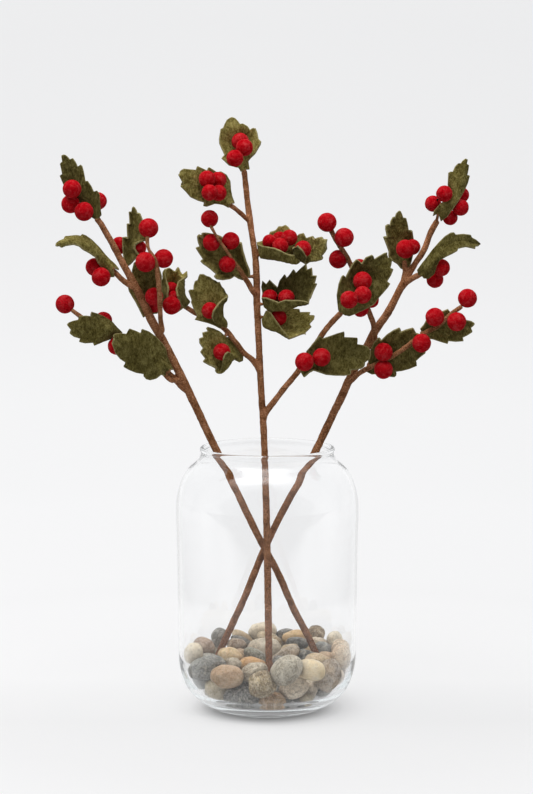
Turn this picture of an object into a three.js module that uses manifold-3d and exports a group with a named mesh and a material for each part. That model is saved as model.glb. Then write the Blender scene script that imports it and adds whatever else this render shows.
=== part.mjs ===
// Felt holly sprigs in a glass jar of river pebbles.
// Three wrapped-wire stems fan out of a wide, round-shouldered glass jar. They carry lobed leaves
// cut from thick olive felt, folded or curled by hand, and tight clusters of red felt-ball berries.
// The jar holds a bed of smooth river pebbles that grips the stems' feet.
//
// Units are millimetres. +Z is up, +Y is away from the viewer, and the origin is the centre of the
// jar's foot. The jar stands on the plane z = 0.
import * as THREE from "three";
import { mergeVertices } from "three/addons/utils/BufferGeometryUtils.js";
import Module from "manifold-3d";

const wasm = await Module();
wasm.setup();

// ---------------------------------------------------------------- driving dimensions
const JAR_FOOT_RADIUS = 39.6; // flat ring that touches the table
const JAR_HEEL = 50; // radius of the rounded heel, outside
const JAR_BODY_RADIUS = 90.8; // widest part of the straight body
const JAR_HEIGHT = 266.3; // foot to the top of the rolled rim
const JAR_WALL = 2.9; // body wall
const JAR_FLOOR = 8; // thickness of the pressed foot
const JAR_INNER_HEEL = 46; // radius of the heel, inside
const RIM_CENTRE_RADIUS = 65.2; // centre line of the rolled rim
const RIM_TUBE = 2.5; // radius of the rolled rim's section
const JAR_SEGMENTS = 32;
const STEM_SIDES = 8; // main stems
const TWIG_SIDES = 6; // side twigs
const FUSE = 0.05; // edges shorter than this are taken out
const CLEAR = 0.33; // air between neighbouring pieces
const LINK_RADIUS = 1.2; // glue spots and wires between berries, and contact spots between pebbles
const FELT_RED = 0xa8121f;
const FELT_GREEN = 0x5c5f30;
const BARK_BROWN = 0x6e4529;
// Stem centre lines, bottom twig last: [x, y, z, radius] in millimetres.
const STEMS = {
  left: [
    [[-164.8, -50, 496.4, 3], [-161.4, -50, 491.5, 3.1], [-157.6, -49.5, 484.7, 3.2], [-150, -49, 471.1, 3.2], [-141.4, -48, 454.5, 3.3], [-131.9, -47, 436.9, 3.7], [-122.3, -45.5, 417.2, 4.1], [-113.2, -44, 397.5, 4.3], [-101.2, -42, 374.7, 4.3], [-91.6, -40, 355.8, 4.2], [-81.9, -38.5, 335.9, 4.2], [-64.4, -33, 297.5, 4.2], [-49.4, -28.8, 264.5, 4.2], [-30.6, -25.4, 225.4, 4.1], [-5.9, -18.4, 172.7, 4.1], [10.2, -12.6, 141.2, 4.1], [26.8, -4, 101.6, 4.1], [42.2, 3, 70.3, 4.1], [51.5, 9, 48.3, 4.1], [58.8, 13.6, 29, 4]],
    [[-130.4, -47, 429.6, 2.9], [-136.7, -48.5, 433.6, 2.8], [-142.4, -50, 438.6, 2.8], [-147.6, -52, 444.1, 2.7], [-152.3, -54, 448.1, 2.6]],
    [[-82.4, -38.5, 329.4, 3], [-88.7, -39, 336.4, 2.9], [-95.5, -40, 343.5, 2.8], [-102.3, -41.5, 349.1, 2.7], [-110.1, -43, 354.1, 2.6]],
  ],
  centre: [
    [[-22.8, 4.5, 540.2, 2.9], [-21.3, 2.5, 526.5, 2.9], [-19.6, -0.5, 510.8, 3], [-17.5, -3.5, 496.1, 3.2], [-15, -6.5, 477.5, 3.2], [-12.3, -9, 460.8, 3.2], [-10.5, -12, 432.4, 3.5], [-10.5, -13, 419.5, 3.7], [-8.6, -16.5, 377.2, 3.6], [-5.5, -21, 315.9, 3.7], [-4, -22, 296.1, 3.8], [-2.5, -23.5, 258.2, 3.8], [-1.1, -26, 200.3, 3.9], [0.8, -28.5, 143.2, 3.9], [1.7, -31, 85.9, 3.9], [2, -33, 47.7, 3.9], [2.5, -35, 18.6, 3.8]],
    [[-17.3, -4, 491.2, 2.8], [-21.1, -6, 495.2, 2.8], [-28.9, -12, 502.4, 2.7], [-35.2, -17, 507.4, 2.6], [-39.6, -20, 510.1, 2.5], [-45.4, -24, 514.7, 2.2]],
    [[-12.6, -8.5, 463.8, 2.7], [-9.6, 1.5, 461.6, 2.4], [-4.3, 5.5, 460.9, 2.2], [4.7, 7, 461.3, 2.1], [14.6, 5.5, 461.9, 2.1], [21.5, 1, 461.6, 2], [26.4, -5.5, 461.2, 1.8]],
    [[-9.7, -18, 348.5, 3], [-14.2, -18.5, 355, 2.9], [-23, -20, 362.6, 2.8], [-31.3, -21, 373.6, 2.7], [-41, -22, 385.6, 2.6], [-54.8, -22.5, 395.6, 2.6], [-70.9, -21.5, 402.4, 2.6], [-79.3, -19, 407.2, 2.5], [-85.2, -17, 411, 2.3]],
    [[-3.3, -21.5, 303, 3.2], [0.7, -22, 309.1, 3.1], [6.1, -23, 316.2, 3], [17.5, -24, 331.2, 3], [29.7, -25.5, 346.3, 3], [38.2, -26.5, 360.3, 2.9], [49.9, -28, 377.8, 2.9], [57.4, -29, 388.7, 2.9], [64.6, -30, 397.2, 2.8], [72.4, -31, 405.7, 2.7], [77.3, -31, 412.1, 2.4]],
  ],
  right: [
    [[170, 35, 489.3, 3.2], [164, 33, 476.3, 3.1], [159.1, 31, 464.4, 3.1], [146.8, 27, 445.6, 3.2], [138.1, 24, 431.7, 3.6], [120.8, 18, 399.5, 4], [106.9, 14, 379.3, 4.2], [101.6, 12, 368.9, 4.3], [86.1, 8, 341.6, 4.3], [75.7, 4, 319.4, 4.3], [63.9, -2, 293.5, 4.2], [47.6, -8.5, 260.1, 4.2], [34.3, -9.3, 238.5, 4.1], [7.5, -8.8, 192.4, 4.1], [-5.9, -8.2, 160.7, 4.1], [-23.3, -4.5, 115.1, 4.1], [-40.8, 2, 74.6, 4.1], [-50.6, 7, 50.8, 4.1], [-63.4, 13.2, 24.4, 4]],
    [[135.6, 23, 424.7, 3], [139.5, 22, 429.3, 2.9], [145.9, 19, 434.1, 2.9], [154.6, 15, 439.4, 2.8], [159.9, 13, 444.5, 2.5]],
    [[135.7, 24.5, 427.7, 3], [137.5, 26, 434.6, 2.8], [138.5, 28, 440.5, 2.8], [137.8, 30, 449.4, 2.5]],
  ],
};
// Twigs that carry a spray of berries of their own.
const TWIGS = {
  c3_twig: [[-14.8, -20.6, 424.6, 2.6], [-18, -21.5, 430.6, 2.7], [-22, -23.5, 437.1, 2.7], [-26.8, -27.5, 444.8, 2.6], [-32.6, -32, 453.4, 2.5], [-39, -37.5, 463.6, 2.4], [-46.7, -42, 475.1, 2.3], [-52.4, -44, 484.4, 2.3], [-55, -44, 489.3, 2.2]],
  front_twig: [[-102.4, -52.3, 388.5, 2.6], [-103.6, -56, 396.6, 2.5], [-103.9, -61, 408.8, 2.5], [-103.9, -64, 418.7, 2.5], [-105.1, -67, 433.5, 2.4], [-106.5, -69, 448.2, 2.3], [-108.3, -70, 457.9, 2.1], [-111.6, -70, 463.7, 1.9], [-114.8, -70, 469.4, 1.8], [-115.7, -69, 475.2, 1.8], [-115.6, -67, 480.8, 1.7]],
  l6_twig: [[-93.8, -47.6, 338.4, 2.4], [-102, -49, 346.4, 2.3], [-114.7, -49.4, 356.8, 2.3], [-129.3, -48.6, 368.5, 2.3], [-143.9, -48.4, 378.3, 2.3], [-158.4, -49, 386.2, 2.3], [-172.8, -52, 395.8, 2.2], [-183.3, -54, 402.8, 2.2], [-189.5, -55, 407.8, 2.2]],
  r4_twig: [[107.1, 3.5, 368.2, 2.8], [107, 3, 378.3, 2.8], [105.9, 2, 388.4, 2.8], [101.7, 0, 400.1, 2.7], [96.6, -2, 413.7, 2.7], [91, -4, 428.8, 2.6], [84.9, -6, 443.8, 2.6], [79.3, -8, 455.8, 2.6], [74.3, -9, 463.8, 2.6], [67.8, -11, 473.8, 2.6], [63.3, -12, 482.7, 2.6]],
  r8_twig: [[85, -1.2, 334.1, 2.6], [90.4, -3.8, 339.9, 2.6], [96.7, -7.5, 344.3, 2.6], [102.5, -10, 347.4, 2.6], [111.8, -14, 352.5, 2.5], [121.5, -17, 357.8, 2.5], [133.2, -19.5, 365.6, 2.4], [142.9, -22, 373.2, 2.4], [155.5, -25, 383, 2.4], [168.1, -27, 390.1, 2.3], [175.8, -28, 397.1, 2.3], [182.6, -29, 403.6, 2.3], [190.3, -30, 409.1, 2.2]],
};
// Leaves: the middle surface of the cloth as columns from one edge to the other, each from the leaf base to its tip.
// The first and the last column are the toothed edges.
const LEAVES = {
  L1: {
    thick: 2.4,
    columns: [
      [[-169.2, -51.2, 497.9], [-175.9, -48.6, 506], [-184.9, -45.1, 515.5], [-193.6, -44.7, 524.2], [-197.9, -44, 529.5], [-201.5, -43, 537.9], [-199.1, -43, 539.3], [-200.1, -43, 544.5], [-201.3, -43, 549.5], [-199, -42, 551.3], [-199.8, -42, 555.6], [-199.9, -42, 557.6]],
      [[-164.8, -57.2, 496.2], [-171.3, -52.8, 509.1], [-180.6, -49.5, 525.4], [-189.4, -46, 542.7], [-197.9, -42, 558.4]],
      [[-161.3, -50.9, 499.8], [-162.2, -50, 509.9], [-162.4, -50, 520.1], [-164.8, -50, 523.9], [-168, -49.9, 522.9], [-170.4, -49.5, 528.3], [-173.8, -48.5, 533.1], [-176.1, -48.5, 533.1], [-177.7, -47, 541.7], [-179.3, -45.5, 547.5], [-181.1, -45, 548.8], [-183.6, -45.5, 547], [-186, -44.5, 551.8], [-188.5, -44, 555.2], [-191.1, -44, 553.4], [-194.3, -43, 557.1], [-195.9, -42.3, 558.2]],
    ],
  },
  L2: {
    thick: 2.4,
    columns: [
      [[-148.4, -54.5, 440.3], [-152.7, -55.4, 440.4], [-158.4, -57, 447.3], [-163.3, -62.1, 453.5], [-165.4, -66.6, 459.6], [-170.8, -71, 464.2], [-176.8, -74, 467.8], [-180, -76, 471.2], [-185.6, -78, 473], [-189.8, -80, 472.6], [-193.6, -81, 472], [-196.8, -82, 470.4], [-198.2, -82.5, 471.1], [-198.7, -83, 472.1], [-201.2, -84, 471.7], [-202.8, -84.5, 472.2]],
      [[-148.5, -59.7, 448.5], [-154.4, -58.3, 454.2], [-160.9, -61.5, 461.2], [-167.4, -65, 468.2], [-175.7, -69, 473.7], [-184.1, -73, 476.4], [-193.3, -78, 476.2], [-202.9, -84, 473.2]],
      [[-144.3, -52.4, 447], [-148, -52, 451.8], [-152.8, -52.2, 456.7], [-158, -53.7, 462.6], [-164.1, -55.5, 470], [-170.8, -57, 477.1], [-175.4, -59, 480.6], [-179.2, -60.5, 481.9], [-180.6, -61.5, 480.2], [-184.7, -64, 481.1], [-190.3, -67, 480.8], [-194.9, -69.5, 480.4], [-195.6, -71, 477.6], [-198.8, -75, 476.5], [-201.8, -80, 474.8], [-202.9, -83, 473.9]],
    ],
  },
  L3: {
    thick: 2.4,
    columns: [
      [[-140.5, -43, 452.7], [-140.4, -41, 458.9], [-141.5, -40, 467.6], [-141.5, -39, 478.1], [-138.8, -39, 478.3], [-136.4, -39, 477.3], [-136.9, -38, 484.1], [-137.2, -37, 491.3], [-134.3, -37, 490.9], [-134.7, -36.5, 496.7], [-135.3, -36, 502.7], [-132.7, -36, 501.1], [-132.4, -36, 505], [-132, -36, 506.8]],
      [[-137, -40.5, 449.6], [-133.7, -37.4, 463.6], [-131.2, -36, 479.1], [-130.3, -35.5, 494.7], [-130.7, -36, 507.8]],
      [[-133, -42.5, 453.2], [-130, -41.9, 463.9], [-125, -43.3, 472.7], [-119.5, -45.5, 477.7], [-119, -45, 485.5], [-120.6, -42, 493.1], [-122.3, -40, 497.4], [-123.9, -38.5, 501.1], [-126.4, -38, 501.1], [-127.6, -37, 504.5], [-129.2, -36.3, 507.1]],
    ],
  },
  L4: {
    thick: 2.4,
    columns: [
      [[-121.5, -34.2, 399.1], [-129.4, -31.9, 414.2], [-135.7, -32, 424.8], [-136.8, -32, 428.9], [-133.2, -33, 427], [-132.1, -34, 435], [-132.4, -36, 444.9], [-130.2, -39.8, 453]],
      [[-115.4, -27.4, 401.5], [-118.5, -22.6, 415.4], [-120.2, -27.9, 430.6], [-121.4, -30.5, 443.5], [-123.4, -38.8, 456.3]],
      [[-108.4, -30, 402.9], [-105.2, -24.4, 408.1], [-103.9, -27.6, 417.7], [-103.3, -37.4, 429.3], [-103.3, -40, 440.3], [-105.6, -44.5, 449.9], [-111.4, -44, 456.7], [-117.9, -41.5, 458.4]],
    ],
  },
  L5: {
    thick: 2.4,
    columns: [
      [[-89.5, -24.6, 403.4], [-95.7, -28.7, 409.9], [-97.9, -30.8, 416.5], [-98.1, -30.8, 421.9], [-97.2, -28.4, 427.7], [-98.7, -22.8, 433.6], [-100.2, -19.5, 439.8], [-99.8, -15.4, 445.1]],
      [[-90.1, -19.3, 402], [-98, -20.9, 406.3], [-101.4, -22, 412.4], [-102.5, -18.4, 419], [-102.9, -13.3, 426.5], [-102.4, -19.4, 435.9], [-101.9, -17.3, 442.6], [-99.7, -14.9, 445.6]],
      [[-84.4, -12.3, 405.6], [-91.6, -5.8, 414], [-95.3, 1.8, 425.4], [-96.4, -6.7, 436.9], [-96.3, -12.4, 446.3]],
      [[-81, -10.5, 408.9], [-87.6, -4.8, 417.9], [-91.1, -2.3, 429.6], [-91.8, -6.5, 437.9], [-91.1, -9.3, 442.5]],
      [[-78.5, -10.5, 410.9], [-84.5, -7.6, 420.1], [-87, -5.4, 430.9], [-87.9, -6.8, 439.9], [-88.1, -8.5, 446.9]],
      [[-76.8, -18.2, 412], [-81.3, -21.9, 418.3], [-82.6, -19.4, 426], [-82.3, -14.9, 433.6], [-83.6, -10.8, 437.2], [-84.6, -8.9, 439.7]],
      [[-81.5, -26.2, 406.8], [-86.2, -31.6, 413.1], [-88.2, -34.3, 420.3], [-89.7, -29.5, 426.8], [-87.9, -22.5, 433.6], [-83.2, -17.4, 436.2], [-78.8, -13, 437.9], [-79.3, -9, 442.8]],
    ],
  },
  L6: {
    thick: 2.4,
    columns: [
      [[-145.1, -36.3, 380.6], [-153.8, -45.2, 379.2], [-162.3, -50.7, 376.1], [-168.9, -54.9, 373.4], [-169.8, -54.9, 376.2], [-177.5, -57, 375.8], [-183.2, -58, 377.3], [-182.2, -58, 380.6], [-187.9, -60, 382.4], [-191.8, -61, 385.6], [-189.7, -61, 388.3], [-192.5, -62, 391.8], [-194.1, -62, 393.8]],
      [[-144.1, -44.2, 384.8], [-153, -56.6, 388.9], [-164.8, -54.7, 390.6], [-178.2, -58.4, 392.9], [-194.4, -62, 394.9]],
      [[-141.8, -41.1, 384.5], [-146.6, -43, 389.1], [-152.5, -48.6, 396.4], [-159.2, -50.1, 401.5], [-165, -51.1, 404.3], [-171.4, -52.2, 406.4], [-170.7, -53.5, 402], [-176.3, -55.8, 402.9], [-182.5, -57.7, 402.8], [-182.7, -57.8, 399.1], [-188.8, -59.1, 397.9], [-193, -61, 396.5]],
    ],
  },
  L7: {
    thick: 2.4,
    columns: [
      [[-95.8, -45, 344], [-99.3, -43.5, 342.8], [-103.6, -57.1, 344.9], [-108.3, -50.7, 340.6], [-114.7, -51, 339], [-118.5, -52, 340.2], [-120.1, -52, 342.3], [-119, -52, 344.9], [-128.2, -54, 346.7], [-134.9, -55, 349.5], [-139.5, -56, 352.2], [-135.8, -56, 355.2], [-143.5, -57.5, 360.6], [-147.7, -59.8, 366.2], [-149.5, -60.6, 371.7], [-151, -60.2, 375.5], [-147.9, -59.9, 379.6]],
      [[-94.7, -52.6, 349.3], [-103.7, -53.7, 355.3], [-115.4, -54, 361.2], [-127.9, -56.1, 369.3], [-139.4, -58.6, 376.9], [-149.8, -58.5, 382.7]],
      [[-92.7, -45.4, 348.5], [-95.3, -44.9, 355.3], [-98.1, -47, 362.4], [-99, -49, 369.5], [-101.8, -50.5, 374.6], [-108.6, -51, 382], [-115.4, -51.5, 387.1], [-122.1, -52, 389.6], [-121.4, -52.5, 384.6], [-128, -53, 387.7], [-134.2, -54, 390.1], [-136.1, -54.7, 384.8], [-142.4, -56.4, 385.7], [-148.2, -57.6, 385.4], [-149.8, -58, 384.1]],
    ],
  },
  C1: {
    thick: 2.4,
    columns: [
      [[-25.7, 1.2, 540.8], [-28.7, 0.3, 545], [-32.4, -1.2, 545.3], [-37.8, -2, 546.8], [-45.3, 0, 553.9], [-42.2, 2, 557.2], [-44.8, 4, 562.9], [-47.4, 6, 568.3], [-47.8, 7, 572.7], [-46.4, 9.5, 582.3], [-43.9, 10, 583.5], [-42.3, 11, 587.4], [-40.3, 12, 591.3], [-37.5, 12.3, 593.3]],
      [[-21.7, -3.3, 542.4], [-24.5, 3, 554.1], [-28.1, 15.3, 566.6], [-31.5, 10.6, 581.5], [-35.2, 12.6, 594.1]],
      [[-18.1, 2.8, 542.7], [-18.7, 0.3, 551.2], [-12.1, -2.3, 558.1], [-6.8, -2.4, 567.4], [-6.2, -1.5, 570.4], [-9, 2.4, 573.1], [-9.9, 4.9, 578.6], [-11.6, 6.4, 583.3], [-12.7, 6.6, 583.3], [-16.1, 9.2, 580.5], [-19.6, 9.2, 585.4], [-23.1, 9.9, 587.4], [-26.2, 10.5, 586.4], [-29, 11.6, 590.3], [-32, 12.3, 593.3]],
    ],
  },
  C2: {
    thick: 2.4,
    columns: [
      [[-38.1, -21.7, 506.3], [-43.4, -25.6, 508.9], [-51.1, -31, 510.3], [-58.9, -35, 507.7], [-62.1, -36, 508.2], [-60.8, -36, 511.5], [-67.5, -38, 513.5], [-74.8, -40, 517], [-79.6, -41, 522.7], [-84.4, -42, 527.4], [-83.4, -42, 529.2], [-81.7, -42, 529.4], [-84.1, -42.5, 534.3], [-86.3, -43, 538.2]],
      [[-35.6, -26.3, 509.9], [-44.4, -26.3, 517.7], [-54.2, -25.1, 524.5], [-65.6, -35.3, 531.2], [-75.2, -40, 535.7], [-86.4, -43, 539.3]],
      [[-32.7, -19, 510], [-34.9, -19, 517.4], [-36, -19, 524.3], [-36.3, -19.4, 532.1], [-40, -19.9, 538.4], [-45.4, -20.9, 541.7], [-49.3, -20.3, 540.7], [-53.1, -24.1, 543.4], [-57, -27.4, 545.8], [-58, -26.6, 542.1], [-62.8, -30.6, 544.5], [-68.1, -33, 547.1], [-68.9, -33.9, 543.3], [-75.2, -37, 543.9], [-81.5, -39, 544.7], [-84.1, -40, 543], [-83.7, -41.5, 539.6]],
    ],
  },
  C3: {
    thick: 2.4,
    columns: [
      [[-24, -16, 434.4], [-28.4, -20, 436.3], [-32.3, -24, 439.3], [-36.6, -29, 436.9], [-43.4, -33, 435.9], [-49.8, -35, 437], [-51.9, -35, 439.3], [-49.8, -33, 441.6], [-56.1, -33, 447.1], [-63, -33, 451.6], [-65.7, -33, 454.3], [-63, -31.5, 456], [-66.9, -32, 461.8], [-70.1, -32.5, 467.2], [-65.9, -31, 467.3], [-67.9, -31.5, 472.5], [-68.8, -32.3, 478.5], [-67.5, -32.3, 479.9], [-62.9, -31.5, 475.9], [-64.5, -32, 481.2]],
      [[-22.5, -12, 437.8], [-29.9, -13, 446.3], [-38.8, -15, 454.3], [-48.6, -18, 464.4], [-56.8, -24, 473.6], [-62.7, -31, 482.2]],
      [[-19.6, -11, 437.4], [-23, -10, 446.1], [-28, -9, 455.9], [-34.9, -10, 464.9], [-41.7, -15, 471.1], [-49.4, -22, 476.4], [-57.1, -29, 480.9]],
      [[-17.5, -16, 438.1], [-18, -18, 444.6], [-21.5, -20, 453.6], [-24.1, -22, 463.1], [-25.3, -24, 471.4], [-28.3, -24, 471.8], [-30.8, -22, 470], [-38.6, -21, 474.4], [-48.4, -26, 479.1]],
    ],
  },
  C4: {
    thick: 2.3,
    columns: [
      [[-45.6, -27, 387.1], [-51.5, -28, 390.2], [-58.3, -29, 393], [-65.2, -30.4, 394.9], [-71.4, -32.3, 396.7], [-69.1, -29.9, 400.4], [-72.5, -28.3, 407], [-75.1, -26.5, 413.7], [-74.5, -26.5, 415.7], [-77.7, -26.5, 424.8], [-72.9, -25, 424.4], [-72.5, -24, 430.3], [-71.5, -23.5, 433.6], [-69.2, -23, 433.6], [-67.9, -22.3, 438], [-66.8, -22, 440.5]],
      [[-45.1, -28.3, 389.7], [-51.5, -26.7, 397.9], [-57.4, -24, 409.6], [-61.8, -23.5, 423.3], [-66, -22, 441]],
      [[-44.1, -28.3, 390.2], [-47.6, -26.1, 398.9], [-50, -24.3, 409.6], [-53, -23.5, 423.3], [-59.8, -22.8, 436.7], [-65.3, -22, 440.8]],
      [[-40.5, -28, 388.6], [-40.6, -30.2, 393.3], [-43.9, -33.3, 399.5], [-44.4, -35.1, 405.6], [-43.5, -34.4, 411.9], [-40.2, -33.1, 416.6], [-40.6, -31, 419.2], [-44, -27, 426.1], [-49.5, -24.5, 432.3], [-57.4, -23, 437.5], [-64.5, -22, 440.5]],
      [[-47.9, -33.8, 391.2], [-52.7, -41, 395.8], [-54, -45.1, 400.5], [-53, -46.9, 406.1], [-49.6, -44.8, 411.3], [-45.3, -39.8, 416.2], [-41.5, -35.6, 418.7], [-38.3, -33.3, 419.1], [-38.6, -32, 420.5], [-41.7, -30.5, 419], [-43.2, -27.5, 424.6], [-44.9, -25.8, 429.4], [-46.9, -24.8, 433.5], [-49.9, -24.6, 430.7], [-52.9, -23.6, 435.2], [-56.4, -23, 438.3], [-59, -22.8, 438.9], [-60, -22.8, 437.1], [-62.7, -22.3, 439.4], [-64.3, -22, 440.4]],
    ],
  },
  C5: {
    thick: 2.3,
    columns: [
      [[-47.1, -29, 385.3], [-51.4, -31, 387.5], [-58.3, -33, 389.8], [-60, -33.5, 388.7], [-58.3, -33.5, 385.5], [-63.8, -35, 384.3], [-63, -35, 380], [-66.8, -36.5, 378.6], [-66.5, -36.8, 374.2], [-63, -36.5, 369.4], [-65.7, -37.5, 365.4], [-60.9, -36.9, 359], [-63.4, -38, 356], [-58.3, -37.5, 353.2], [-50.4, -36, 350.6], [-51.4, -35.5, 346.4], [-50, -35, 344.4]],
      [[-43.8, -27.5, 382.4], [-46.1, -26.8, 373.2], [-50.1, -28.5, 363.5], [-49.9, -31.9, 352], [-48.7, -34.6, 343.7]],
      [[-41.9, -24, 379.9], [-41, -22.9, 372.8], [-39.3, -22.9, 365.9], [-38.2, -25.4, 359.2], [-39.5, -29, 353.6], [-43.1, -32, 348], [-47.5, -34.8, 343.8]],
      [[-40.6, -19, 378.4], [-37.7, -17.5, 374.3], [-33.9, -18.5, 367.4], [-30.9, -23, 360.9], [-32.8, -30.5, 357.8], [-34.9, -36.5, 357], [-37.6, -38.5, 352.7], [-41.6, -37, 347.6], [-46.5, -35.3, 344]],
      [[-39.4, -14.6, 377.8], [-35.5, -13.4, 375.9], [-29.6, -12.2, 367.5], [-23.9, -13, 357.9], [-24.3, -17.5, 354.4], [-27.5, -21, 353.4], [-33.8, -30, 357.7], [-35.8, -44, 365.1], [-38.4, -47.5, 366.8], [-41.4, -48.3, 364.5], [-43.3, -47, 360], [-44, -43, 355.6], [-45.1, -38.5, 349.7], [-46.7, -35.6, 344.8]],
    ],
  },
  C6: {
    thick: 2.3,
    columns: [
      [[-10.2, -14, 470.5], [-5.2, -20.2, 468.4], [0.7, -26.7, 468], [6.5, -34, 467.3], [12.4, -36.6, 465], [18.3, -35.5, 462], [23.2, -35.5, 460.7], [28.1, -34.8, 460.7], [31.5, -34.5, 458.5]],
      [[-7.2, -14.5, 457.2], [0.7, -23.7, 456.6], [11.5, -29.4, 455.4], [19.3, -31, 453.4], [29.1, -34.2, 452.6], [32, -34.5, 454.8]],
      [[-6.8, -9.5, 458.9], [0.7, -12.2, 458.1], [11.5, -15.4, 457.3], [19.4, -17.8, 455.5], [27.2, -21.8, 453.8], [32.2, -32.4, 455.4]],
      [[-7.8, -5.8, 464.6], [-1.3, -2.6, 466.4], [8.6, 4, 468], [18.5, 1, 467.2], [26.4, -8.9, 462.8], [32.3, -27.6, 456.6]],
      [[-10.8, -3, 470.9], [-3.3, -1.2, 472.7], [1.3, 1.4, 476.6], [2.7, 2.4, 481.2], [8.1, 4.3, 482.6], [11.2, 3.8, 486.7], [14.6, 3.7, 486.6], [18.1, 2.5, 488.1], [21, 1.8, 486], [24, -0.1, 481.6], [28.4, -5.3, 473.5], [31.3, -11.7, 465], [32.2, -20.4, 458.1]],
    ],
  },
  C6b: {
    thick: 2.3,
    columns: [
      [[38.4, -36.6, 458.2], [36.6, -30, 452.7], [39, -24.4, 450.8], [41.6, -22.7, 452.6], [47.8, -25, 453.4], [53.6, -28.5, 455.4], [54.6, -29, 457], [52.7, -28.5, 458.5], [56.5, -31, 462.8], [58.1, -32, 465.6], [56.5, -31.7, 466.9]],
      [[34.8, -42, 465.3], [29, -36.6, 459.1], [30.7, -17.8, 461.9], [37.7, -12.2, 463.5], [46.9, -19.9, 467.9], [58.6, -32, 474.8]],
      [[29.5, -41.9, 470.3], [25.3, -31.4, 466.6], [26.5, -0.7, 469.7], [29.4, -3.6, 477.3], [31.9, -6.7, 479.7], [35.6, -10.2, 480.7], [38.2, -11.3, 475.8], [41.1, -15.5, 477], [44.6, -18.3, 478.3], [45.7, -20.3, 475.3], [49.8, -23.5, 477.1], [53.6, -27, 478], [54.6, -28, 475.9], [58.8, -31.8, 475.6]],
    ],
  },
  C7: {
    thick: 2.3,
    columns: [
      [[-5.2, -29.5, 418.4], [-1.3, -36.5, 418.9], [4.6, -38.2, 417], [10.9, -40.5, 414.6], [17.3, -42, 417.1], [24.1, -43.1, 417], [31.9, -45, 417], [37.7, -45.9, 416.1], [40.3, -46, 414.8]],
      [[-3.3, -24.4, 410.1], [0.7, -26.3, 407.2], [8.5, -37.5, 406.8], [16.3, -38.6, 407], [22.7, -39.5, 408.9], [29, -42.3, 411.5], [36.8, -44.9, 412.9], [40.7, -45.8, 414.1]],
      [[-3.1, -16.8, 410.9], [1.7, -14.9, 407.8], [9.5, -24.8, 408.1], [17.4, -26.4, 409.3], [24.3, -28, 411.4], [32, -37.9, 414.6], [40.7, -45, 415.7]],
      [[-4.7, -13.2, 418.6], [2.7, -9.1, 417.3], [12.6, -12, 418.5], [22.4, -20, 422.1], [32.1, -29.9, 424.8], [41.7, -43, 419.5]],
      [[-5.5, -8.7, 426.2], [-5, -7, 433.5], [-1.1, -7.9, 430.1], [2.2, -8, 434.5], [6.6, -9.7, 430.2], [10.4, -11.2, 426.8], [12.5, -13.9, 434.5], [17.1, -16.5, 440.4], [19, -18, 436.7], [23.3, -21, 441.9], [25.8, -24, 445.8], [28.2, -26, 442.2], [33, -31, 447.5], [37.8, -35, 451.9], [39, -36, 446.3], [43.5, -39, 448.6], [44.3, -39, 440.8], [48.1, -41, 440.9], [46.1, -41, 433.5], [48.3, -42.5, 433.2], [44.6, -43, 424.9], [41.7, -44.5, 418.1]],
    ],
  },
  C8: {
    thick: 2.3,
    columns: [
      [[-1, -27.2, 405.3], [3.1, -34.2, 404.5], [7.1, -34.4, 398.6], [11.5, -35.1, 392.3], [16.4, -35.5, 385.9], [21.6, -36, 379.8]],
      [[-4.6, -21.2, 396.9], [-3.1, -26.1, 390.2], [2.6, -30, 387.4], [9.5, -33, 385.5], [16.4, -35.3, 381.8], [21.9, -36.2, 378.4]],
      [[-3.4, -17.3, 398.1], [-0.3, -18.3, 392.2], [5.6, -21, 388], [12.5, -26, 385], [18.4, -32, 381], [23.7, -35.4, 378.8]],
      [[-1.6, -16.9, 402], [5.6, -13.5, 397.3], [15.5, -15, 392.9], [26.3, -22, 387.6], [35.1, -29.5, 382.4]],
      [[0.1, -14.8, 405.3], [7.6, -8.1, 405.1], [16.6, -6.5, 404.5], [24.5, -7.5, 405.2], [32, -10, 405.2], [32.6, -11.5, 402.2], [42.6, -14.5, 402.6], [41.2, -16, 400], [46.7, -19, 399.8], [46.1, -21, 396.4], [41.7, -22.5, 391.6], [43.6, -25, 389.3], [37.6, -28, 383.7], [38.1, -30, 382]],
    ],
  },
  R1: {
    thick: 2.4,
    columns: [
      [[166, 32, 495.4], [166.9, 27.9, 500.6], [170.7, 25.3, 505.7], [175.2, 25.6, 509.7], [179.7, 26.7, 514.7], [181.2, 26.7, 521.6], [180.1, 25, 527.7], [180.6, 24, 538.9], [182.6, 24.5, 540], [184.6, 25, 538.8], [187.4, 25.5, 545.1], [189.9, 26, 547.7], [192, 26.5, 546.5], [194.9, 27, 550.7]],
      [[171.1, 29.9, 497.5], [178.6, 23.7, 504.3], [185.5, 23.8, 513.8], [191, 24.5, 525.7], [194.5, 26, 539.6], [197.9, 27.5, 552.9]],
      [[174.2, 31, 490], [180.3, 25.7, 495.2], [185.5, 21.7, 502.9], [191.5, 22.6, 511.3], [196.8, 27.9, 520.1], [200.6, 31, 528.5], [202.6, 32, 535.4], [199.9, 31, 535.9], [201.1, 30.5, 541.5], [201.7, 30, 546], [199.2, 29, 546.9], [200.3, 28, 551.9]],
    ],
  },
  R2: {
    thick: 2.4,
    columns: [
      [[134.9, 30.6, 442.8], [130.7, 27.3, 448], [124.5, 25, 451.7], [121.7, 24, 455.8], [121.9, 24, 460.8], [118.6, 23.5, 468.8], [116, 23.5, 475], [119.9, 25, 474.8], [118.1, 25, 482.8], [118.2, 25.5, 486.1], [119.9, 26, 487], [122.4, 27, 485.7], [123.4, 27.5, 490.6], [125.4, 28, 494], [127.6, 29, 493], [129, 29.5, 498.1], [131, 30, 500.3]],
      [[138.7, 35.3, 441], [135.7, 37.2, 454], [133.6, 37.6, 468], [132.3, 33, 484.4], [132.6, 30, 500.9]],
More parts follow.
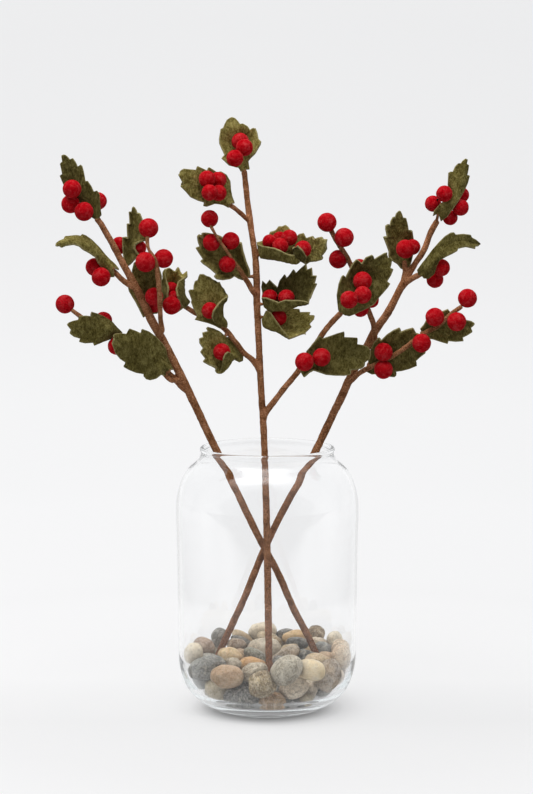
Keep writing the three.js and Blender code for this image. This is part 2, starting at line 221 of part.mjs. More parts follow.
      [[142.4, 30.5, 442.8], [145.3, 37.7, 448.4], [147.6, 43.4, 457.6], [148.1, 43.4, 468.7], [146.1, 35.6, 480.2], [144.5, 35, 480.4], [142.5, 35.2, 479.4], [141.3, 33.1, 486.4], [139.6, 31.5, 492.9], [137.1, 31.5, 491.9], [135.6, 31, 496.5], [134, 30.3, 500.1]],
    ],
  },
  R3: {
    thick: 2.4,
    columns: [
      [[151.2, 11.7, 438.1], [149.2, 9.9, 442.7], [154.1, 8.7, 449.3], [159.5, 8.2, 456.3], [165, 9, 463.7], [170.9, 10, 470.6], [177, 12, 476.5], [182.6, 14, 479.8], [185.8, 15, 480.1], [187.3, 16, 477.7], [195.5, 19, 478.3], [203.2, 22, 477.3], [203.8, 23, 474.9], [209, 25, 472.2], [213.2, 27, 468.6]],
      [[154.1, 6.7, 436.5], [157.9, 4.8, 444.1], [162.8, 4.8, 454], [170.8, 7, 463.3], [181, 11, 470.1], [193.4, 17, 472.4], [204.9, 23, 470.9], [213.8, 27.3, 467.6]],
      [[156.7, 8.3, 434.8], [161.3, 3.6, 443.2], [165.6, 2.8, 452.2], [172.7, 4.9, 459.5], [181.9, 9, 465.2], [193.3, 15, 468.8], [203.8, 22, 468.4], [212.7, 26.8, 466.6]],
      [[160, 13.3, 433.9], [166.2, 9.6, 438.7], [168.4, 6, 447], [171.3, 5, 452.5], [177.7, 4.8, 456], [184.7, 6.5, 459.4], [189.2, 8, 462], [190.3, 10, 464.2], [198.3, 15, 465.3], [207.9, 19, 463.3], [208.3, 21, 465.6], [211.7, 25, 466]],
    ],
  },
  R5: {
    thick: 2.4,
    columns: [
      [[69.7, -34.5, 406], [68.7, -33.7, 413.3], [67.9, -34, 421.2], [69.7, -33.9, 432], [72.4, -33.1, 438.8], [74.2, -32.4, 440.7], [76.2, -29.8, 437.2], [79.7, -29.7, 444.5], [83.5, -30.5, 451.4], [87.2, -30.4, 455.9], [88.9, -29.3, 455.2], [92.4, -27.3, 451.8], [96.8, -28, 457.9], [102.9, -27.5, 460.4], [103.6, -26, 455.2], [109.6, -26, 459], [115.1, -25.5, 462.1], [117.8, -25.3, 462.4]],
      [[72.7, -37.5, 403.3], [79.1, -33.6, 415.3], [87.3, -23.4, 426.3], [97.3, -19, 437.8], [107.8, -25, 450.5], [117.7, -25.2, 460.4]],
      [[75.8, -31.8, 401.8], [81.2, -33, 400.5], [86.1, -33, 402.4], [93, -31, 405.4], [100, -28.5, 408.4], [105.5, -26, 411.5], [109.2, -25, 416.9], [113.8, -26, 422.2], [118.6, -27, 428], [120.9, -27.5, 431.9], [118, -26, 434], [121.5, -27, 439.9], [123.9, -27.5, 445.9], [120.7, -26, 445.8], [122.1, -26, 451.1], [122.7, -26, 456.2], [120.1, -25.5, 456.2], [118, -25.2, 454.6], [118.5, -25.2, 458.4]],
    ],
  },
  R6: {
    thick: 2.4,
    columns: [
      [[33.2, -30, 344.8], [36.1, -34, 339.9], [41, -37, 345], [44.9, -39, 347.4], [50.8, -39, 345.4], [57.6, -39, 343.1], [66.5, -38, 342.1], [75.4, -37, 341.8], [81.8, -36, 342.9], [81.3, -35, 347], [87.3, -34, 347.6], [92.2, -33, 348.5], [95.2, -32.5, 350.3], [95.2, -31.5, 353.9], [100.2, -30, 356.9]],
      [[38.1, -33.5, 354.1], [46.9, -32.6, 357], [58.8, -31.6, 358.5], [72.6, -30, 359.2], [87.4, -28, 359.5], [101.8, -28.5, 360.9]],
      [[38.6, -30.5, 365.2], [42.9, -34, 371], [47.8, -34.6, 377], [51.3, -33.9, 381.3], [53.8, -31.5, 378.1], [61.7, -29, 380.4], [68.6, -27.5, 382.8], [75.6, -26, 384.6], [74.9, -26.5, 379.1], [81.5, -25.5, 378.8], [88.7, -24.5, 378.3], [87.5, -25, 372.1], [94.4, -25, 371.1], [99.3, -26, 369.2], [101.8, -27, 365.8], [100.7, -28, 363.2]],
    ],
  },
  R7: {
    thick: 2.4,
    columns: [
      [[98.4, -2, 345.7], [98.4, -3, 342.4], [104.3, -5, 339.5], [111.2, -6.9, 340.3], [118, -8.8, 341], [121.5, -9.3, 337.7], [126.4, -9.9, 337.3], [128.1, -9.9, 339], [126.9, -9.4, 342.6], [133.8, -11, 343.7], [140.7, -12.5, 345.7], [148.4, -14.5, 349.1], [146.3, -14, 352.8], [151.3, -15.5, 357.7], [156.1, -17, 361.7], [155.1, -17, 364.8]],
      [[100.3, -4.5, 350.5], [110.1, -5.4, 355.1], [122, -7.6, 360.3], [133.7, -10.9, 366.7], [144.4, -13.8, 372.4], [154.2, -14.9, 378]],
      [[100.8, -2.5, 355.8], [102.9, -6.4, 365.2], [106.3, -11.1, 372.7], [110.2, -14.1, 377.3], [112.6, -14.2, 374.4], [118.4, -16.7, 380.7], [124.2, -18.5, 384.9], [130.1, -20, 387.8], [130.9, -19, 383.4], [137, -20, 385.8], [143.4, -20.7, 387.7], [144.8, -19.1, 382.8], [149, -17.8, 381.8]],
    ],
  },
  R8: {
    thick: 2.4,
    columns: [
      [[152.3, -20.5, 381], [157.8, -20.3, 377.1], [163.7, -20.6, 376.2], [171.5, -22, 373.7], [177.9, -23.5, 371.9], [178.9, -23, 374.8], [186.2, -24, 374.1], [193.5, -25, 374.8], [192.4, -24.4, 378.1], [197.3, -25.4, 380.6], [202, -26.4, 383.9], [198.4, -25.1, 386.3], [202.6, -26.3, 389.6]],
      [[152.5, -17.6, 383.2], [160.9, -16.9, 384.2], [171.7, -18.2, 386.7], [184.4, -19.7, 389], [195, -22.9, 390.7], [204.1, -26.8, 391.8]],
      [[150.9, -18.4, 386.5], [154.7, -20.1, 390.9], [157.5, -22, 397.5], [163.4, -21.3, 401.8], [171.1, -23.7, 404], [177.8, -26.4, 406.8], [179.9, -24.8, 404.1], [179.7, -23, 401.1], [187, -22.5, 398.1], [194.8, -24.4, 396], [200.6, -26.3, 394.9], [203.5, -26.8, 393.2]],
    ],
  },
};
// Berries: [x, y, z, radius].
const BERRIES = {
  L1a: [-188.3, -62, 525.8, 9],
  L1b: [-190.6, -53, 511, 9],
  L1c: [-176.9, -62.9, 504.2, 9.2],
  L1d: [-164.8, -40, 513.4, 8.6],
  L2a: [-168, -51.7, 449.9, 8.7],
  L2b: [-160.8, -65.7, 441.2, 9.2],
  L3a: [-144.8, -30, 469.5, 8.6],
  L3b: [-128.9, -52.1, 467.9, 8],
  FT1: [-114.7, -63, 488.3, 9.5],
  FT2: [-117.5, -69.4, 455.9, 9.8],
  FT3: [-100.4, -62.6, 458.8, 9.3],
  L4a: [-110.2, -53, 421.2, 8.7],
  L4b: [-111.6, -34.4, 412.4, 8.5],
  L5a: [-93.8, -39.6, 411.4, 8.9],
  L5b: [-95, -14.3, 425.6, 7],
  L5c: [-91.9, -24.5, 417.7, 6.8],
  L6a: [-197, -52, 413.8, 9.2],
  L6b: [-160.4, -40.5, 396.7, 8.6],
  L6c: [-147.3, -49.5, 372.5, 8.6],
  C1a: [-26.7, 3.8, 570.3, 8.6],
  C1b: [-22.5, -11.1, 564.6, 8.4],
  C1c: [-31.8, -19.7, 554.4, 8.3],
  C2a: [-58.6, -42.9, 534.8, 8.2],
  C2b: [-47.7, -31.8, 533.7, 7.9],
  C2c: [-55.9, -53.6, 522.1, 7.9],
  C2d: [-47.6, -40.7, 521.3, 7.9],
  C3a: [-56.3, -39, 496.1, 8.5],
  C3b: [-54.7, -35, 472.6, 8.4],
  C3c: [-35.8, -31.5, 474.2, 8.6],
  C3d: [-39.3, -32, 451.3, 8.3],
  C4a: [-56.2, -35.3, 406, 8.2],
  C5a: [-44.7, -36.7, 365.5, 8.4],
  C6a: [2.2, -14.9, 472.3, 7.2],
  C6b_: [12.4, -4.4, 474.2, 7.6],
  C6c: [12.8, -26.4, 468.8, 8],
  C6d: [21.7, -16.1, 476.4, 8],
  C6e: [35.2, -28.2, 466, 8.2],
  C7a: [2.6, -21.3, 417.4, 8.2],
  C7b: [18.6, -32.2, 418.3, 8.2],
  C8a: [11.1, -24.4, 398.1, 8],
  R1a: [176.4, 17.7, 518.3, 8.2],
  R1b: [166.3, 35, 507.7, 8.2],
  R1c: [194.8, 40.8, 516.1, 8.2],
  R1d: [193.6, 30.2, 504, 8.4],
  R1e: [183.8, 36.3, 493.6, 7.6],
  R2a: [138, 17.8, 463.2, 9.4],
  R2b: [145.9, 32.7, 464.3, 8],
  R3a: [173.8, 15.7, 444.7, 8.8],
  R3b: [168.3, 25.7, 432.2, 8.6],
  R4a: [58.8, -14, 491.4, 9.5],
  R4b: [75.7, -16, 476.7, 9.5],
  R4c: [70.3, -4, 454.4, 9.3],
  R4d: [91.5, -2, 447, 7.6],
  R4e: [103, -2.2, 413.7, 8],
  R4f: [92.3, -9.8, 405.4, 8],
  R5a: [93.4, -31.3, 434.8, 9.2],
  R5b: [93.1, -43.1, 422.1, 8.6],
  R5c: [79.5, -52, 418.1, 8.6],
  R6a: [36.3, -45.8, 356.6, 9.2],
  R6b: [53.2, -42.5, 360.8, 9],
  R7a: [114.8, -20.3, 363.6, 9.1],
  R7b: [115, -18.4, 345.9, 9.2],
  R7c: [151.7, -33, 373.8, 9.3],
  R8a: [164.5, -32.3, 399.4, 9.2],
  R8b: [185.9, -33.2, 394.9, 9.4],
  R8c: [196.8, -27, 417.5, 9.4],
};
// Berries that are glued together, and the glue spots or short wires between them: [from, to].
const CLUSTERS = {
  L1_front: { berries: ["L1a", "L1b", "L1c"], twig: false, links: [[[-188.3, -62, 525.8], [-190.6, -53, 511]], [[-190.6, -53, 511], [-176.9, -62.9, 504.2]]] },
  L1_back: { berries: ["L1d"], twig: false, links: [] },
  L2: { berries: ["L2a", "L2b"], twig: false, links: [[[-168, -51.7, 449.9], [-160.8, -65.7, 441.2]]] },
  L3_back: { berries: ["L3a"], twig: false, links: [] },
  L3_front: { berries: ["L3b"], twig: false, links: [] },
  L4: { berries: ["L4a", "L4b"], twig: false, links: [[[-110.2, -53, 421.2], [-111.6, -34.4, 412.4]]] },
  L5: { berries: ["L5a", "L5b", "L5c"], twig: false, links: [[[-95, -14.3, 425.6], [-91.9, -24.5, 417.7]], [[-93.8, -39.6, 411.4], [-91.9, -24.5, 417.7]]] },
  C1: { berries: ["C1a", "C1b", "C1c"], twig: false, links: [[[-26.7, 3.8, 570.3], [-22.5, -11.1, 564.6]], [[-22.5, -11.1, 564.6], [-31.8, -19.7, 554.4]]] },
  C2: { berries: ["C2a", "C2b", "C2c", "C2d"], twig: false, links: [[[-47.7, -31.8, 533.7], [-47.6, -40.7, 521.3]], [[-58.6, -42.9, 534.8], [-47.7, -31.8, 533.7]], [[-55.9, -53.6, 522.1], [-47.6, -40.7, 521.3]]] },
  C4: { berries: ["C4a"], twig: false, links: [] },
  C5: { berries: ["C5a"], twig: false, links: [] },
  C6: { berries: ["C6a", "C6b_", "C6c", "C6d"], twig: false, links: [[[12.4, -4.4, 474.2], [21.7, -16.1, 476.4]], [[12.8, -26.4, 468.8], [21.7, -16.1, 476.4]], [[2.2, -14.9, 472.3], [12.4, -4.4, 474.2]]] },
  C6e: { berries: ["C6e"], twig: false, links: [] },
  C7: { berries: ["C7a", "C7b"], twig: false, links: [[[2.6, -21.3, 417.4], [18.6, -32.2, 418.3]]] },
  C8: { berries: ["C8a"], twig: false, links: [] },
  R1_left: { berries: ["R1a", "R1b"], twig: false, links: [[[176.4, 17.7, 518.3], [166.3, 35, 507.7]]] },
  R1_right: { berries: ["R1c", "R1d", "R1e"], twig: false, links: [[[194.8, 40.8, 516.1], [193.6, 30.2, 504]], [[193.6, 30.2, 504], [183.8, 36.3, 493.6]]] },
  R2: { berries: ["R2a", "R2b"], twig: false, links: [[[138, 17.8, 463.2], [145.9, 32.7, 464.3]]] },
  R3: { berries: ["R3a", "R3b"], twig: false, links: [[[173.8, 15.7, 444.7], [168.3, 25.7, 432.2]]] },
  R5: { berries: ["R5a", "R5b", "R5c"], twig: false, links: [[[93.1, -43.1, 422.1], [79.5, -52, 418.1]], [[93.4, -31.3, 434.8], [93.1, -43.1, 422.1]]] },
  R6: { berries: ["R6a", "R6b"], twig: false, links: [[[36.3, -45.8, 356.6], [53.2, -42.5, 360.8]]] },
  front_twig: { berries: ["FT1", "FT2", "FT3"], twig: true, links: [[[-117.5, -69.4, 455.9], [-109.6, -70, 460.3]], [[-114.7, -63, 488.3], [-115.6, -67, 480.8]], [[-100.4, -62.6, 458.8], [-107.9, -69.9, 456.7]]] },
  l6_twig: { berries: ["L6a", "L6b", "L6c"], twig: true, links: [[[-147.3, -49.5, 372.5], [-144.2, -48.4, 378.5]], [[-197, -52, 413.8], [-189.5, -55, 407.8]], [[-160.4, -40.5, 396.7], [-163.4, -49.9, 389.4]]] },
  c3_twig: { berries: ["C3a", "C3b", "C3c", "C3d"], twig: true, links: [[[-39.3, -32, 451.3], [-33.4, -32.7, 454.7]], [[-56.3, -39, 496.1], [-55, -44, 489.3]], [[-54.7, -35, 472.6], [-46.9, -42.1, 475.4]], [[-35.8, -31.5, 474.2], [-41.5, -39.2, 467.3]]] },
  r4_twig: { berries: ["R4a", "R4b", "R4c", "R4d", "R4e", "R4f"], twig: true, links: [[[103, -2.2, 413.7], [97.3, -1.7, 411.7]], [[70.3, -4, 454.4], [77.6, -8.4, 458.7]], [[75.7, -16, 476.7], [68.3, -10.9, 472.9]], [[58.8, -14, 491.4], [63.3, -12, 482.7]], [[91.5, -2, 447], [85, -5.9, 443.5]], [[103, -2.2, 413.7], [92.3, -9.8, 405.4]]] },
  r8_twig: { berries: ["R7a", "R7b", "R7c", "R8a", "R8b", "R8c"], twig: true, links: [[[115, -18.4, 345.9], [112.8, -14.4, 353.1]], [[114.8, -20.3, 363.6], [119.7, -16.5, 356.8]], [[185.9, -33.2, 394.9], [179.9, -28.6, 401.1]], [[151.7, -33, 373.8], [150.2, -23.8, 379.1]], [[164.5, -32.3, 399.4], [171.2, -27.4, 392.7]], [[196.8, -27, 417.5], [190.3, -30, 409.1]]] },
};
// Pebbles: [heap, [x, y, z], quaternion [w, x, y, z], half sizes, at the glass].
const PEBBLES = [
  [5, [-73, -26.1, 62.3], [0.9992, 0.0347, 0.0165, 0.0085], [8.8, 8.2, 11], 1],
  [4, [-64.4, -4, 62.9], [0.9764, 0.001, 0.2158, 0.0018], [11.1, 8.8, 9.6], 1],
  [3, [-48.5, 28.2, 64.8], [1, 0.0002, 0.0011, -0.0007], [9.2, 8.4, 10.7], 1],
  [2, [-25.8, 51.1, 60.4], [0.9702, -0.0065, 0.242, -0.0092], [12.9, 5.6, 5.7], 1],
  [2, [-27, 40.5, 59.1], [0.9816, 0.0007, 0.1908, -0.0013], [11.3, 4.8, 4.6], 1],
  [3, [-30.9, 21.7, 58.3], [0.9915, 0.0003, 0.13, 0.0018], [10.7, 7.2, 7.7], 1],
  [2, [-5, 56.6, 65.5], [1, -0.0042, 0.0023, -0.0076], [15, 9.2, 10.3], 1],
  [2, [3.9, 41.6, 58.8], [0.9652, 0.0185, 0.2575, 0.0421], [15.4, 7.2, 7.7], 1],
  [0, [-2.3, 19.4, 55.8], [0.9999, 0.0016, -0.0026, -0.016], [17.8, 10, 11.2], 1],
  [0, [-12.1, -6.8, 54.5], [0.9708, 0.0076, 0.2396, 0.009], [12.6, 6.4, 6.6], 1],
  [0, [-36.9, -11.2, 54.6], [0.9894, -0.0021, 0.1446, -0.0156], [12.4, 8.8, 9.6], 1],
  [0, [-14.7, -20.1, 48.4], [0.9971, 0.0248, 0.0627, -0.0351], [13.5, 8, 8.5], 1],
  [5, [-34.3, -34.9, 52.7], [1, 0.0025, 0.0056, 0.0056], [8.5, 6, 6], 1],
  [5, [-58.4, -39.6, 51.4], [0.9844, 0.0125, -0.1586, -0.0752], [17.4, 11.2, 12.4], 1],
  [4, [-58.5, -15.5, 53.7], [0.9965, 0.0001, 0.0834, 0.0059], [8.1, 5.6, 5.5], 1],
  [5, [-39.3, -61.7, 46.6], [0.9981, -0.0006, 0.0568, -0.0224], [15.1, 10.5, 11.4], 1],
  [5, [-13, -51.7, 48.1], [0.9781, 0.0017, -0.2058, 0.0325], [13.4, 8.8, 9.4], 1],
  [5, [-7.3, -70.6, 40.3], [0.9978, 0.0139, -0.06, -0.0257], [14.5, 11.6, 12.8], 1],
  [5, [-48, -42.6, 29.6], [0.9987, 0.0295, 0.0284, -0.0288], [11.9, 10.4, 11.4], 1],
  [5, [-25.1, -57.2, 26.8], [0.9991, 0.0081, 0.0325, -0.0274], [16.3, 9.6, 10.4], 1],
  [4, [-66.3, -24.9, 34.2], [0.9998, 0.0017, -0.0185, 0.0045], [9, 8.4, 10.5], 1],
  [5, [4.6, -56.1, 20.6], [0.9996, 0.0069, 0.0235, 0.0163], [14.3, 8, 8.4], 1],
  [2, [20.2, 56.6, 62.3], [0.9998, -0.0019, -0.0112, -0.0179], [10.3, 6, 6.2], 1],
  [2, [27.7, 40.4, 63], [0.998, -0.0001, -0.0637, 0.0019], [12.3, 7.2, 7.7], 1],
  [2, [50.7, 48, 64], [0.9848, 0, 0.1736, 0], [9.5, 8.4, 9.3], 1],
  [2, [31.1, 21.1, 61.3], [0.9975, 0.0137, 0.0697, 0.0052], [11.3, 6, 6.1], 1],
  [0, [23.6, 9.8, 56.3], [0.999, -0.0002, -0.0437, 0.0003], [9.6, 6.8, 7.1], 1],
  [0, [18.1, -5.1, 53.8], [0.961, 0.0086, -0.2759, -0.0187], [16.1, 7.2, 7.6], 1],
  [1, [38.5, -1, 52.6], [0.9999, 0.0072, -0.0124, 0.0062], [9.1, 7.2, 7.6], 1],
  [1, [53, 29.8, 58.7], [0.9868, -0.007, 0.1614, -0.0055], [9.7, 6.4, 6.6], 1],
  [1, [58.9, 16.6, 54.6], [0.9574, 0.0141, 0.2881, -0.0159], [11.2, 7.2, 7.6], 1],
  [1, [69.8, 33.7, 61.7], [1, 0.0034, -0.0091, -0.0015], [8.5, 7.8, 8.7], 1],
  [1, [74.3, 6.9, 58.2], [0.988, 0.0244, 0.1504, -0.0258], [9.6, 8.8, 10.1], 1],
  [6, [73.2, -24.7, 56.6], [0.9969, -0.0698, -0.0305, -0.0185], [9, 8.4, 13], 1],
  [6, [50.9, -28.8, 54.1], [0.9983, -0.0273, 0.0513, -0.002], [13.5, 7.6, 8], 1],
  [5, [18.3, -71.9, 57.2], [0.9553, -0.0262, -0.2927, 0.0338], [16.2, 11.8, 13.1], 1],
  [6, [42.9, -61.3, 53.1], [0.998, 0.0002, 0.0638, 0.0049], [13.3, 9.6, 10.4], 1],
  [6, [59, -44.7, 45.1], [0.9924, -0.0062, 0.1211, 0.0188], [11.1, 10.2, 16.4], 1],
  [6, [28.5, -51.2, 35.2], [0.985, -0.0257, -0.1327, -0.1077], [13.3, 10.4, 11.3], 1],
  [6, [43.1, -38.8, 28.9], [0.9966, -0.0737, 0.0005, -0.0368], [8.9, 8.4, 8.9], 1],
  [6, [39, -50.5, 21.2], [0.999, -0.0042, -0.0448, 0.0056], [6, 5.6, 5.5], 1],
  [6, [70, -32.1, 38.1], [0.9891, 0.0165, 0.1459, -0.011], [5.5, 5.6, 8], 1],
  [6, [56.5, -31.5, 22.9], [0.9697, -0.023, -0.2172, 0.1097], [9, 6, 6], 1],
  [6, [34.2, -39.6, 15.6], [0.9837, 0.0027, -0.0938, -0.1536], [9, 5.6, 5.5], 1],
  [4, [-47.3, -22.4, 20.3], [-0.2138, -0.0216, 0.9561, 0.1992], [12.6, 9.9, 9.9], 0],
  [2, [14.4, 26, 20.7], [0.2069, 0.305, 0.6668, -0.6477], [14.7, 10.4, 9], 0],
  [2, [23.3, 27.7, 46.8], [-0.8879, -0.2985, 0.1129, 0.3315], [15.3, 11.2, 9], 0],
  [1, [68.5, 4.9, 33.5], [-0.5578, 0.6362, 0.5324, -0.0237], [13.2, 10.9, 9], 0],
  [2, [11.7, 73.1, 41.6], [0.1534, 0.1877, 0.7324, -0.6362], [15.3, 11.7, 8.3], 0],
  [1, [63.9, 26.3, 33.5], [-0.3144, 0.3162, -0.6014, -0.663], [15.6, 10.6, 8.3], 0],
  [0, [7.8, -7.6, 33.4], [0.7728, 0.5846, 0.1329, 0.2083], [13.3, 9.6, 8.4], 0],
  [6, [49, -21.7, 35.8], [-0.3286, 0.3282, 0.4256, -0.7766], [14.9, 10.3, 8], 0],
  [4, [-48.9, 26.1, 39.9], [0.8647, 0.3595, 0.1995, 0.2884], [14.9, 9.6, 8.1], 0],
  [3, [-16, 73.4, 45.3], [-0.0278, 0.9917, 0.0033, -0.1254], [13.6, 9.7, 8.3], 0],
  [4, [-46.7, 18.2, 21.4], [0.7964, -0.5397, -0.2622, 0.0757], [12.9, 11.3, 8.4], 0],
  [6, [39.7, -22.3, 17.4], [0.7517, 0.0294, -0.0861, -0.6532], [12.6, 11.5, 8.4], 0],
  [3, [-4.7, 39.4, 20.6], [0.9288, 0.3071, 0.1163, 0.1716], [15, 10.7, 9.7], 0],
  [3, [-14.3, 50.7, 38.3], [-0.8032, 0.1913, -0.0855, 0.5576], [15.9, 11.9, 8.7], 0],
  [5, [-7.8, -25.6, 20], [0.3774, -0.5003, 0.6938, 0.3548], [12.6, 9.7, 8.8], 0],
  [5, [-26.4, -37.1, 18.7], [-0.1252, -0.9521, 0.2382, 0.145], [14.4, 11.2, 9.4], 0],
  [2, [38.1, 64.1, 41.6], [-0.3697, 0.795, -0.4154, -0.2424], [14.7, 9.9, 8.9], 0],
  [3, [-2.6, 26.2, 35.8], [-0.5104, -0.2221, -0.0026, 0.8308], [13.8, 9.7, 9.7], 0],
  [4, [-23.8, 5.9, 49.6], [-0.9864, -0.0474, -0.1345, -0.0819], [12.8, 11, 8.5], 0],
  [3, [-15, 19.2, 18.1], [0.072, -0.1912, -0.8766, 0.4356], [14.7, 10.3, 9.3], 0],
  [3, [-28.6, 37.3, 27.6], [0.2483, 0.4869, 0.3191, -0.7742], [13.9, 11.8, 8.2], 0],
  [1, [52.5, -3.5, 21.5], [0.5026, 0.3928, 0.5684, 0.5197], [15.7, 11.3, 8.1], 0],
  [2, [37, 44.1, 47.4], [-0.5043, 0.2253, 0.6171, -0.5604], [14.1, 9.6, 9.6], 0],
  [6, [30, -26.3, 36.4], [0.0769, 0.6869, -0.4014, -0.601], [13.4, 11.5, 8.5], 0],
  [3, [-28, 20.4, 37.1], [-0.3463, 0.59, -0.6598, -0.3108], [13.5, 11, 9.2], 0],
  [3, [-39.8, 58.8, 36.8], [0.7986, 0.4977, -0.0934, 0.3253], [15.1, 10.2, 9.6], 0],
  [4, [-28, -15.9, 27.8], [0.0782, -0.3831, -0.5631, -0.728], [14.3, 10.1, 10], 0],
  [4, [-40.1, 3.7, 37], [0.2624, 0.2061, 0.6281, 0.703], [12.6, 9.9, 9.6], 0],
  [1, [58.6, -6.9, 49.9], [0.161, 0.7637, 0.6188, 0.0896], [15.1, 10.2, 9.3], 0],
  [3, [-55.7, 46.1, 45.1], [0.8694, 0.1503, -0.424, -0.2044], [13, 11.7, 9.4], 0],
  [1, [30.6, -4.2, 31.8], [0.2209, 0.808, 0.2326, -0.4942], [14.1, 10.9, 8.1], 0],
  [5, [-16.3, -35.2, 36.2], [0.2653, -0.1127, -0.7953, 0.5333], [15.3, 10.7, 9.8], 0],
  [3, [-51.2, 37.4, 25.4], [-0.1798, -0.3871, 0.829, 0.3614], [12.8, 11, 8.9], 0],
  [1, [53.7, 45.3, 34.1], [0.3467, -0.6698, 0.6176, 0.2232], [14.7, 10.5, 9.1], 0],
  [0, [-10.5, 4.1, 35.2], [-0.1775, 0.2958, -0.0109, -0.9385], [15.5, 9.9, 8], 0],
  [1, [35.4, 15, 17.3], [0.6843, 0.0144, 0.0594, 0.7266], [12.7, 12, 9.1], 0],
  [2, [34.4, 39.9, 19.4], [0.3543, 0.0993, 0.2319, -0.9005], [15, 10.9, 8.6], 0],
  [5, [16.3, -38, 21.7], [0.5522, -0.3656, -0.7483, 0.0382], [14, 10.5, 9.5], 0],
  [0, [13.2, 11.4, 38.6], [-0.1777, -0.1192, 0.9482, -0.2349], [13.8, 10.8, 8.1], 0],
  [3, [-22, 54.6, 21.5], [0.0157, 0.0902, -0.2692, 0.9587], [15.1, 11, 8.1], 0],
  [0, [11.9, 6.7, 19.4], [0.0369, -0.2635, -0.7595, -0.5937], [15.7, 10.4, 9.8], 0],
  [0, [11.6, -22.5, 44.4], [-0.6608, 0.2403, -0.7017, 0.115], [13.8, 9.9, 9.2], 0],
  [0, [17.4, -16, 17.5], [0.3327, -0.8655, -0.3605, 0.1012], [15.7, 10.6, 8.2], 0],
  [6, [68.3, -16.4, 34.2], [0.5249, 0.0611, 0.7732, -0.3506], [14.6, 11.2, 8.7], 0],
  [0, [-6.7, -6, 17.9], [-0.0031, -0.2182, -0.9332, -0.2855], [13.6, 11.2, 9], 0],
  [2, [23, 58.8, 26.5], [0.6747, -0.2792, -0.6468, 0.2201], [14.2, 9.9, 9.9], 0],
  [2, [18.2, 41.8, 33.5], [0.896, 0.4336, -0.0948, 0.0131], [14.6, 10.5, 8.3], 0],
  [4, [-32.7, 3, 18.1], [-0.1056, -0.0819, -0.0303, 0.9906], [14.3, 11.8, 9.8], 0],
  [4, [-58.7, -2.5, 23], [0.1121, -0.1818, -0.9717, 0.1011], [14.3, 10.5, 8.8], 0],
  [2, [1.9, 60.6, 25.4], [-0.1505, 0.4924, 0.6233, 0.5885], [12.6, 10.7, 9.4], 0],
  [4, [-43.4, -25.5, 40], [-0.8339, 0.4326, -0.0825, 0.3326], [13.1, 9.5, 9.2], 0],
  [4, [-67.9, 26.7, 36.6], [0.6704, -0.141, 0.6202, -0.3822], [15.3, 9.5, 8.1], 0],
  [1, [38.9, 26.9, 32.4], [0.0767, 0.981, 0.1774, 0.0176], [12.9, 10.4, 8.7], 0],
];
